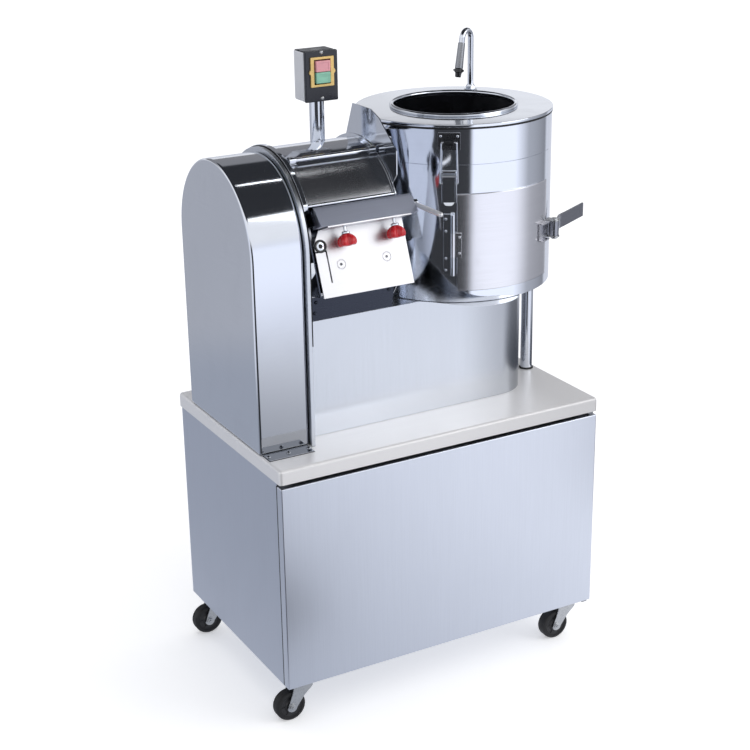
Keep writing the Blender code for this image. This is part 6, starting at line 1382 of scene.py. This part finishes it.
def build_drain():
    """The drain pipe with its nut under the drum and its rubber gasket on the worktop."""
    top = DRUM_FLOOR - GAP
    outer = 0.0125
    low = DECK - 0.05

    def round_drain(name, profile):
        """A closed profile turned about the pipe's axis."""
        return lathe(name, profile, (*DRAIN, 0.0), steps=72, closed=True)

    pipe = round_drain("pipe", [(outer, top), (outer, low + 0.001), (0.0121, low), (0.0105, low),
                                (0.0105, top)])
    nut = round_drain("ring", [(outer, top), (0.0165, top), (0.0165, top - 0.007), (0.0152, top - 0.0085),
                               (outer, top - 0.0085)])
    show(gather(pipe, rounded(nut, 0.0004, 2)), bright_fittings(), "drain_pipe")
    ring = [(0.0126, DECK + 0.0004), (0.0151, DECK + 0.0004), (0.0152, DECK + 0.0018),
            (0.0144, DECK + 0.0026), (0.0126, DECK + 0.003)]
    show(round_drain("drain_gasket", ring), tyre_rubber(), "drain_pipe")


def build_spout():
    """The spout: its fitting with a hexagon nut, the bent tube, and the nozzle with its winged collar."""
    at = Vector((0.338, 0.217, DRUM_TOP))
    base = lathe("base", [(0.0, 0.0003), (0.0145, 0.0003), (0.0145, 0.0024), (0.0136, 0.0036),
                          (0.011, 0.0042), (0.0, 0.0042)], at)
    nut = rounded(turned_ring("nut", 0.0065, 0.0112, 0.0044, 0.0108, at, steps=6), 0.0007, 2)
    cone = lathe("cone", [(0.0065, 0.0106), (0.0088, 0.0106), (0.0079, 0.0134), (0.0065, 0.0138)], at,
                 steps=64, closed=True)
    show(gather(base, nut, cone), bright_fittings(), "spout_base")
    heading = Matrix.Translation(at) @ Matrix.Rotation(math.radians(205.0), 4, "Z")
    bend = [Vector((s, 0.0, z)) for s, z in arc((0.0165, 0.112), 0.0165, 180, 12, 36)]
    tip = Vector((0.047, 0.0, 0.045))
    path = [Vector((0.0, 0.0, 0.0048)), *bend, *[bend[-1].lerp(tip, share) for share in (0.3, 0.6, 0.9)]]
    show(moved(tube("spout_tube", path, 0.0062, 40), frame_of=heading), bright_fittings(), "water_spout")
    way = (tip - bend[-1]).normalized()
    start = tip - way * 0.04

    def turned_along(name, *rings):
        """A turned piece from (place along the nozzle, radius) pairs."""
        return tube(name, [start + way * along for along, _ in rings], [radius for _, radius in rings], 48)

    sleeve = turned_along("sleeve", (-0.022, 0.0066), (-0.0205, 0.0074), (0.012, 0.0081), (0.03, 0.0087),
                          (0.0312, 0.008))
    show(moved(sleeve, frame_of=heading), finish("sleeve_plating", zinc_plating, (0.3, 0.31, 0.33),
                                                 "mirror_steel"), "water_spout")
    collar = turned_along("collar", (0.0312, 0.0076), (0.032, 0.0088), (0.0392, 0.0088), (0.04, 0.0078))
    wings = []
    for side in SIDES:
        root = start + way * 0.0356
        points = [root + Vector((0.0, side * out, 0.0)) for out in (0.007, 0.0116, 0.0128)]
        wings.append(tube("wing", points, [0.0024, 0.0022, 0.0014], 24))
    nozzle = turned_along("tip", (0.04, 0.0066), (0.0405, 0.007), (0.0485, 0.0062), (0.05, 0.0052))
    plastic = finish("nozzle_plastic", gloss_plastic, (0.012, 0.012, 0.014), "dark_grey_plastic")
    show(moved(gather(collar, *wings, nozzle), frame_of=heading), plastic, "water_spout")


# Switch
def build_switch():
    """The switch box on its post: housing, lid, bezel and two buttons."""
    look = scene_look("switch")
    x, y = -0.108, 0.066
    bottom = DECK + 0.6095
    foot = DECK + 0.515
    profile = [(0.0145, bottom - GAP), (0.0145, foot + 0.0135), (0.0154, foot + 0.0125),
               (0.0157, foot + 0.0105), (0.0157, foot), (0.0125, foot), (0.0125, bottom - GAP)]
    post = lathe("post", profile, (x, y, 0.0), closed=True)
    carve(post, casing_trim("saddle"))
    show(post, polished("polished_post_steel", (8.0, 8.0, 400.0), roughness=0.1), "switch_post")
    half = 0.0345
    front = y - 0.0255
    top = bottom + 0.096
    middle = DECK + 0.6665
    rear = rounded(slab("rear", (x - half, front + 0.0085, bottom), (x + half, y + 0.0255, top)), 0.0045, 5)
    dark = finish("lid_plastic", grained_plastic, tuple(look.lid_colour), "dark_grey_plastic", 900.0, 0.3)
    pale = finish("housing_plastic", grained_plastic, tuple(look.housing_colour), "dark_grey_plastic",
                  900.0, 0.4)
    show(rear, pale, "switch_box")
    rear.data.materials.append(dark)
    for face in rear.data.polygons:
        face.material_index = 1 if face.normal.z > 0.5 else 0
    crown = arc((x, top - 0.0435), 0.0545, 50.7, 129.3, 24)
    lid = [(x - half, bottom), (x + half, bottom)] + [(px, min(pz, top)) for px, pz in crown]
    face = prism("lid", lid, front, front + 0.0082, "Y")

    def window(depth):
        """A cutter for the buttons' window."""
        return slab("window", (x - 0.0176, front - 0.02, middle - 0.0236),
                    (x + 0.0176, front + depth, middle + 0.0236))

    carve(face, window(0.0065))
    show(rounded(face, 0.0022, 4, 40.0), dark, "switch_box")
    screws = [screw_head("screw", 0.0038, 0.002, (x, front + 0.0002, DECK + rise), (math.pi / 2, 0.0, 0.0))
              for rise in (0.7025, 0.6155)]
    show(gather(*screws), zinc(), "switch_box")
    plate = slab("bezel", (x - 0.0245, front - 0.0033, middle - 0.028),
                 (x + 0.0245, front - 0.0003, middle + 0.028))
    tabs = [turned_bar("tab", 0.0052, -0.0015, 0.0015, (x + side * 0.0223, front - 0.0018, middle), ALONG_Y,
                       40) for side in SIDES]
    carve(plate, *tabs, operation="UNION")
    carve(plate, window(0.02))
    show(rounded(plate, 0.0006, 3), finish("bezel_plastic", gloss_plastic, tuple(look.bezel_colour),
                                           "yellow_plastic"), "switch_bezel")
    face_y = front - 0.0078
    for name, way, colour, slot in (("stop", 1, look.stop_colour, "stop_button_red"),
                                    ("start", -1, look.start_colour, "start_button_green")):
        z = middle + way * 0.0108
        button = rounded(slab("button", (x - 0.0152, face_y, z - 0.0105),
                              (x + 0.0152, face_y + 0.01, z + 0.0105)), 0.0016, 4)
        dish = slab("dish", (x - 0.0115, face_y - 0.01, z - 0.0072),
                    (x + 0.0115, face_y + 0.0007, z + 0.0072))
        carve(button, rounded(dish, 0.0005, 2))
        show(button, finish(name + "_button_plastic", gloss_plastic, tuple(colour), slot), f"{name}_button")


# Drive and inner pieces
def build_motor():
    """The slicing head's motor: ribbed barrel, end shields, fan cowl, terminal box and feet."""
    z = 0.2036
    left = -0.262
    right = -0.04
    axis = (0.0, AXIS_Y, z)
    profile = [(0.0, right), (0.058, right), (0.0635, right - 0.004), (0.065, right - 0.02),
               (0.065, right - 0.05), (0.061, right - 0.052), (0.061, left + 0.026), (0.066, left + 0.024),
               (0.066, left + 0.012), (0.052, left + 0.004), (0.03, left + 0.003), (0.03, left),
               (0.0098, left), (0.0098, left + 0.0303), (0.0, left + 0.0303)]
    barrel = rounded(lathe("barrel_m", profile, axis, ALONG_X), 0.0006, 2, 30.0)
    parts = []
    for step in range(36):
        angle = math.tau * step / 36
        if abs(math.sin(angle)) > 0.86 or (math.sin(angle) < 0 and abs(math.cos(angle)) < 0.75):
            continue
        fin = slab("fin", (left + 0.027, 0.0595, -0.0011), (right - 0.053, 0.0672, 0.0011))
        parts.append(moved(fin, axis, (angle, 0.0, 0.0)))

    def block(name, middle, half_x, half_y, low, high, edge, segments):
        """A box with softened edges, in the middle of the motor's depth."""
        made = slab(name, (middle - half_x, AXIS_Y - half_y, low), (middle + half_x, AXIS_Y + half_y, high))
        parts.append(rounded(made, edge, segments))

    feet = (-0.186, -0.112)
    for x in feet:
        block("foot", x, 0.012, 0.074, 0.0869, 0.0935, 0.0015, 2)
        block("leg", x, 0.008, 0.05, 0.0925, z - 0.048, 0.002, 2)
    block("box", -0.151, 0.029, 0.029, z + 0.055, z + 0.091, 0.003, 3)
    block("lid", -0.151, 0.03, 0.03, z + 0.0915, z + 0.098, 0.002, 3)
    show(gather(barrel, *parts), motor_enamel(), "cutter_motor")
    fasteners = [screw_head("screw", 0.003, 0.0018,
                            (-0.151 + side * 0.024, AXIS_Y + far * 0.024, z + 0.0978)) for side in SIDES
                 for far in SIDES]
    fasteners += [hex_bolt("bolt", 0.01, 0.005, (x, AXIS_Y + side * 0.066, 0.0935)) for x in feet
                  for side in SIDES]
    fasteners += [turned_ring("ring", r, r + 0.0016, right + 0.0002, right - 0.0002, axis, ALONG_X, 72)
                  for r in (0.014, 0.022, 0.03, 0.038, 0.046)]
    show(gather(*fasteners), zinc(), "cutter_motor")


def build_works():
    """Pulleys, belt, shafts, bearing, rotor, peeling disc, gearmotor and the cable gland."""
    build_motor()
    for node, width in (("cutter_pulley", 0.0008), ("cutter_motor_pulley", 0.0006),
                        ("cutter_bearing", 0.0012), ("bearing_column", 0.0012)):
        inner_piece(node, castings(), width, 3)
    inner_piece("cutter_rotor", satin("satin_rotor_steel", (0.6, 0.61, 0.63), (500.0, 30.0, 30.0)), 0.0008)
    inner_piece("cutter_shaft", dark_steel(), 0.001)
    inner_piece("peeler_shaft", dark_steel(), 0.001)
    inner_piece("cutter_belt", tyre_rubber(), 0.0009)
    inner_piece("peeler_disc", black_grit(), 0.0025, 3)
    inner_piece("peeler_gearmotor", motor_enamel(), 0.0025, 3)
    at = (0.25, 0.234, 0.1686)
    bore = 0.0045
    nut = rounded(turned_ring("gland_nut", 0.0083, 0.0135, 0.0003, 0.0055, at, ALONG_Y, 6), 0.0006, 2)
    dome = [(bore, 0.016), (0.0075, 0.016), (0.0098, 0.0145), (0.0112, 0.0115), (0.0116, 0.0056),
            (bore, 0.0056)]
    inside = [(bore, 0.0056), (0.008, 0.0056), (0.008, -0.0018), (0.0125, -0.0018), (0.0125, -0.0065),
              (0.009, -0.01), (bore, -0.01)]
    turned = [lathe(name, profile, at, ALONG_Y, 64, closed=True)
              for name, profile in (("dome", dome), ("inside", inside))]
    plastic = finish("gland_plastic", grained_plastic, (0.03, 0.031, 0.034), "dark_grey_plastic")
    show(gather(nut, *turned), plastic, "cable_gland")


# Studio
# Brightness that metal mirrors all round: from behind, past the left, the camera's side and the right
AROUND = ((0.0, 0.75), (0.083, 0.58), (0.161, 0.5), (0.222, 0.6), (0.305, 1.0), (0.405, 0.95),
          (0.419, 0.05), (0.547, 0.05), (0.559, 1.05), (0.708, 1.05), (0.764, 0.45), (0.861, 0.3),
          (0.875, 0.8), (1.0, 0.75))
TO_RIGHT = (0.876, -0.483, 0.0)
TO_CAMERA = (-0.483, -0.876, 0.0)


def bearing(paint, place):
    """A place's bearing in radians: zero on the camera's side, more to its right."""
    ends = {0: paint.along(place, TO_RIGHT), 1: paint.along(place, TO_CAMERA)}
    return paint.node("ShaderNodeMath", {"operation": "ARCTAN2"}, ends)


def surround(paint, turn):
    """The colour that metal mirrors at a bearing."""
    stops = [(at, (level * 0.94, level * 0.97, level * 1.07, 1.0)) for at, level in AROUND]
    return paint.node("ShaderNodeValToRGB", {"stops": stops}, {"Fac": turn * (1.0 / math.tau) + 0.5},
                      "Color")


def studio_floor(look):
    """A broad pale floor that keeps the machine's shadow; metal mirrors dark and bright fields from it."""
    bm = bmesh.new()
    corners = [bm.verts.new(corner) for corner in ((-30.0, -30.0, 0.0), (30.0, -30.0, 0.0),
                                                   (30.0, 60.0, 0.0), (-30.0, 60.0, 0.0))]
    bm.faces.new(corners)
    floor = item("studio_floor", bm)
    paint = Finish("studio_floor_paint", "floor")
    path = paint.node("ShaderNodeLightPath", output="Is Camera Ray")
    glossy = paint.node("ShaderNodeLightPath", output="Is Glossy Ray")
    spread = paint.noise(2.0, 3.0, 0.5)
    colour = tuple(look.floor_colour)
    paint.feed("Base Color", paint.shades(spread, colour, 0.99, 1.0))
    paint.feed("Roughness", 0.9)
    paint.feed("Specular IOR Level", 0.0)
    across = paint.node("ShaderNodeSeparateXYZ", None, {0: paint.place}, "X")
    beside = paint.blend(paint.mask(across, -1.0, 1.15), (0.4, 0.43, 0.5, 1.0), (1.12, 1.14, 1.21, 1.0))
    away = paint.node("ShaderNodeVectorMath", {"operation": "LENGTH"}, {0: paint.place}, "Value")
    turn = bearing(paint, paint.place)
    ahead = paint.mask(turn, -0.54, -0.49) * paint.mask(turn, 0.28, 0.33, 1.0, 0.0)
    dark = ahead * paint.mask(away, 0.62, 0.75)
    beside = paint.blend(dark, beside, (0.05, 0.052, 0.058, 1.0))
    gloom = paint.mask(turn, 1.1, 1.5) * paint.mask(away, 0.9, 1.2)
    beside = paint.blend(gloom, beside, (0.085, 0.092, 0.115, 1.0))
    mirrored = paint.blend(paint.mask(away, 1.9, 2.5), beside, surround(paint, turn))
    end = paint.tree.nodes["Material Output"]
    white = paint.node("ShaderNodeEmission", None,
                       {"Color": (1.0, 1.0, 1.0, 1.0), "Strength": path * look.floor_lift})
    seen = paint.node("ShaderNodeEmission", None, {"Color": mirrored, "Strength": 1.0})
    lit = paint.node("ShaderNodeAddShader", None, {0: Value(paint, paint.shader.outputs[0]), 1: white})
    mixed = paint.node("ShaderNodeMixShader", None, {0: glossy, 1: lit, 2: seen})
    paint.plug(end.inputs["Surface"], mixed)
    floor.data.materials.append(paint.material)


def studio_sky(look):
    """An even dome for plain light; metal mirrors the surround, a white band above and a black ceiling."""
    world = bpy.data.worlds.new("studio")
    bpy.context.scene.world = world
    world.use_nodes = True
    sky = Finish.__new__(Finish)
    sky.tree = world.node_tree
    sky.tree.nodes.clear()
    way = sky.node("ShaderNodeTexCoord", output="Generated")
    height = sky.node("ShaderNodeSeparateXYZ", None, {0: way}, "Z")
    near = sky.along(way, TO_CAMERA)
    walls = sky.blend(sky.mask(height, 0.02, 0.25), surround(sky, bearing(sky, way)),
                      (1.04, 1.05, 1.08, 1.0))
    dusk = sky.mask(height, 0.205, 0.245) * sky.mask(near, -0.6, -0.2, 1.0, 0.0)
    upper = sky.blend(dusk, walls, (0.27, 0.27, 0.285, 1.0))
    mirrored = sky.blend(sky.mask(height, 0.6, 0.66), upper, (0.03, 0.032, 0.037, 1.0))
    level = look.dome_level
    left = sky.along(way, LEFTWARD)
    dome = sky.blend(sky.mask(left, 0.1, 0.7), (level, level, level * 1.01, 1.0), (0.34, 0.37, 0.44, 1.0))
    plain = sky.blend(sky.node("ShaderNodeLightPath", output="Is Glossy Ray"), dome, mirrored)
    white = sky.blend(sky.node("ShaderNodeLightPath", output="Is Camera Ray"), plain, (1.0, 1.0, 1.0, 1.0))
    light = sky.node("ShaderNodeBackground", None, {"Color": white, "Strength": 1.0})
    end = sky.tree.nodes.new("ShaderNodeOutputWorld")
    sky.plug(end.inputs["Surface"], light)


def studio_lamp(name, power, size, at, towards):
    """One large soft lamp."""
    lamp = bpy.data.lights.new(name, "AREA")
    lamp.shape = "RECTANGLE"
    lamp.size, lamp.size_y = size
    lamp.energy = power
    holder = bpy.data.objects.new(name, lamp)
    holder.location = at
    holder.rotation_euler = (Vector(towards) - Vector(at)).to_track_quat("-Z", "Y").to_euler()
    bpy.context.scene.collection.objects.link(holder)


def studio_camera(look):
    """The camera at the photograph's angle."""
    azimuth, elevation, roll = (math.radians(angle) for angle in (28.89, 20.62, -0.92))
    ahead = Vector((math.sin(azimuth) * math.cos(elevation), math.cos(azimuth) * math.cos(elevation),
                    -math.sin(elevation)))
    right = Vector((math.cos(azimuth), -math.sin(azimuth), 0.0))
    up = right.cross(ahead)
    across = right * math.cos(roll) + up * math.sin(roll)
    upward = up * math.cos(roll) - right * math.sin(roll)
    lens = bpy.data.cameras.new("camera")
    lens.lens = look.camera_lens
    lens.sensor_width = 36.0
    lens.clip_end = 200.0
    holder = bpy.data.objects.new("camera", lens)
    turn = Matrix((across, upward, -ahead)).transposed().to_4x4()
    holder.matrix_world = Matrix.Translation((-1.5707, -2.7125, 1.7496)) @ turn
    bpy.context.scene.collection.objects.link(holder)
    bpy.context.scene.camera = holder


class PEELER_OT_cabinet(Operator):
    """Builds the worktop, the cabinet's sheets and frame, and its door"""

    bl_idname = "peeler.cabinet"
    bl_label = "Cabinet"

    def execute(self, context):
        build_worktop()
        build_shell()
        build_door()
        return {"FINISHED"}


class PEELER_OT_casters(Operator):
    """Builds the four swivel casters"""

    bl_idname = "peeler.casters"
    bl_label = "Casters"

    def execute(self, context):
        for depth, y in (("front", -CASTER_Y), ("rear", CASTER_Y)):
            for side, x in (("left", -CASTER_X), ("right", CASTER_X)):
                build_caster(f"{depth}_{side}", x, y)
        return {"FINISHED"}


class PEELER_OT_guard(Operator):
    """Builds the belt guard and the carrier plate"""

    bl_idname = "peeler.guard"
    bl_label = "Belt guard"

    def execute(self, context):
        build_guard()
        return {"FINISHED"}


class PEELER_OT_slicer(Operator):
    """Builds the slicing head: casing, cover, front plate, star knobs, hood and lock lever"""

    bl_idname = "peeler.slicer"
    bl_label = "Slicing head"

    def execute(self, context):
        build_casing()
        build_cover()
        build_front()
        build_hood()
        return {"FINISHED"}


class PEELER_OT_hopper(Operator):
    """Builds the feed hopper"""

    bl_idname = "peeler.hopper"
    bl_label = "Feed hopper"

    def execute(self, context):
        build_hopper()
        return {"FINISHED"}


class PEELER_OT_skirt(Operator):
    """Builds the skirt, the shelf plate and the drain pipe"""

    bl_idname = "peeler.skirt"
    bl_label = "Skirt"

    def execute(self, context):
        build_skirt()
        build_drain()
        return {"FINISHED"}


class PEELER_OT_drum(Operator):
    """Builds the peeling drum, its lining, its cap and the toggle latches"""

    bl_idname = "peeler.drum"
    bl_label = "Drum"

    def execute(self, context):
        build_drum()
        build_latches()
        return {"FINISHED"}


class PEELER_OT_discharge(Operator):
    """Builds the discharge door with its hinge, bracket and lever"""

    bl_idname = "peeler.discharge"
    bl_label = "Discharge door"

    def execute(self, context):
        build_gate()
        return {"FINISHED"}


class PEELER_OT_spout(Operator):
    """Builds the water spout and its fitting"""

    bl_idname = "peeler.spout"
    bl_label = "Water spout"

    def execute(self, context):
        build_spout()
        return {"FINISHED"}


class PEELER_OT_switch(Operator):
    """Builds the switch box on its post, with its bezel and buttons"""

    bl_idname = "peeler.switch"
    bl_label = "Switch"

    def execute(self, context):
        build_switch()
        return {"FINISHED"}


class PEELER_OT_works(Operator):
    """Builds the motors, pulleys, belt, shafts, rotor, peeling disc and cable gland"""

    bl_idname = "peeler.works"
    bl_label = "Inner works"

    def execute(self, context):
        build_works()
        return {"FINISHED"}


class PEELER_OT_studio(Operator):
    """Builds the floor, the light and the camera"""

    bl_idname = "peeler.studio"
    bl_label = "Studio"

    def execute(self, context):
        look = scene_look("studio")
        context.scene.view_settings.view_transform = "Standard"
        studio_floor(look)
        studio_sky(look)
        studio_lamp("key_lamp", look.key_power, (2.6, 2.6), (2.6, -2.6, 2.6), (0.0, 0.0, 0.6))
        studio_lamp("strip_lamp", look.fill_power, (0.3, 0.07), (0.75, 0.05, 3.4), (0.75, 0.05, 0.0))
        studio_camera(look)
        return {"FINISHED"}


OPERATORS = (PEELER_OT_cabinet, PEELER_OT_casters, PEELER_OT_guard, PEELER_OT_slicer, PEELER_OT_hopper,
             PEELER_OT_skirt, PEELER_OT_drum, PEELER_OT_discharge, PEELER_OT_spout, PEELER_OT_switch,
             PEELER_OT_works, PEELER_OT_studio)
LOOKS = {"cabinet": CabinetLook, "head": HeadLook, "drum": DrumLook, "switch": SwitchLook,
         "studio": StudioLook}


class PEELER_PT_sidebar(Panel):
    """Lists the steps that build the machine"""

    bl_idname = "PEELER_PT_sidebar"
    bl_label = "Potato peeler machine"
    bl_space_type = "VIEW_3D"
    bl_region_type = "UI"
    bl_category = "Peeler"

    def draw(self, context):
        for operator in OPERATORS:
            self.layout.operator(operator.bl_idname)
        for name in LOOKS:
            box = self.layout.box()
            look = scene_look(name)
            for prop in look.bl_rna.properties:
                if prop.identifier not in ("rna_type", "name"):
                    box.prop(look, prop.identifier)


def register():
    """Registers the settings, the operators and the panel."""
    for name, look in LOOKS.items():
        bpy.utils.register_class(look)
        setattr(bpy.types.Scene, f"peeler_{name}", PointerProperty(type=look))
    for operator in (*OPERATORS, PEELER_PT_sidebar):
        bpy.utils.register_class(operator)


def unregister():
    """Removes what register added."""
    for operator in (PEELER_PT_sidebar, *OPERATORS[::-1]):
        bpy.utils.unregister_class(operator)
    for name, look in LOOKS.items():
        delattr(bpy.types.Scene, f"peeler_{name}")
        bpy.utils.unregister_class(look)


def main():
    """Registers the add-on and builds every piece."""
    register()
    for operator in OPERATORS:
        group, step = operator.bl_idname.split(".")
        getattr(getattr(bpy.ops, group), step)()


if __name__ == "__main__":
    main()
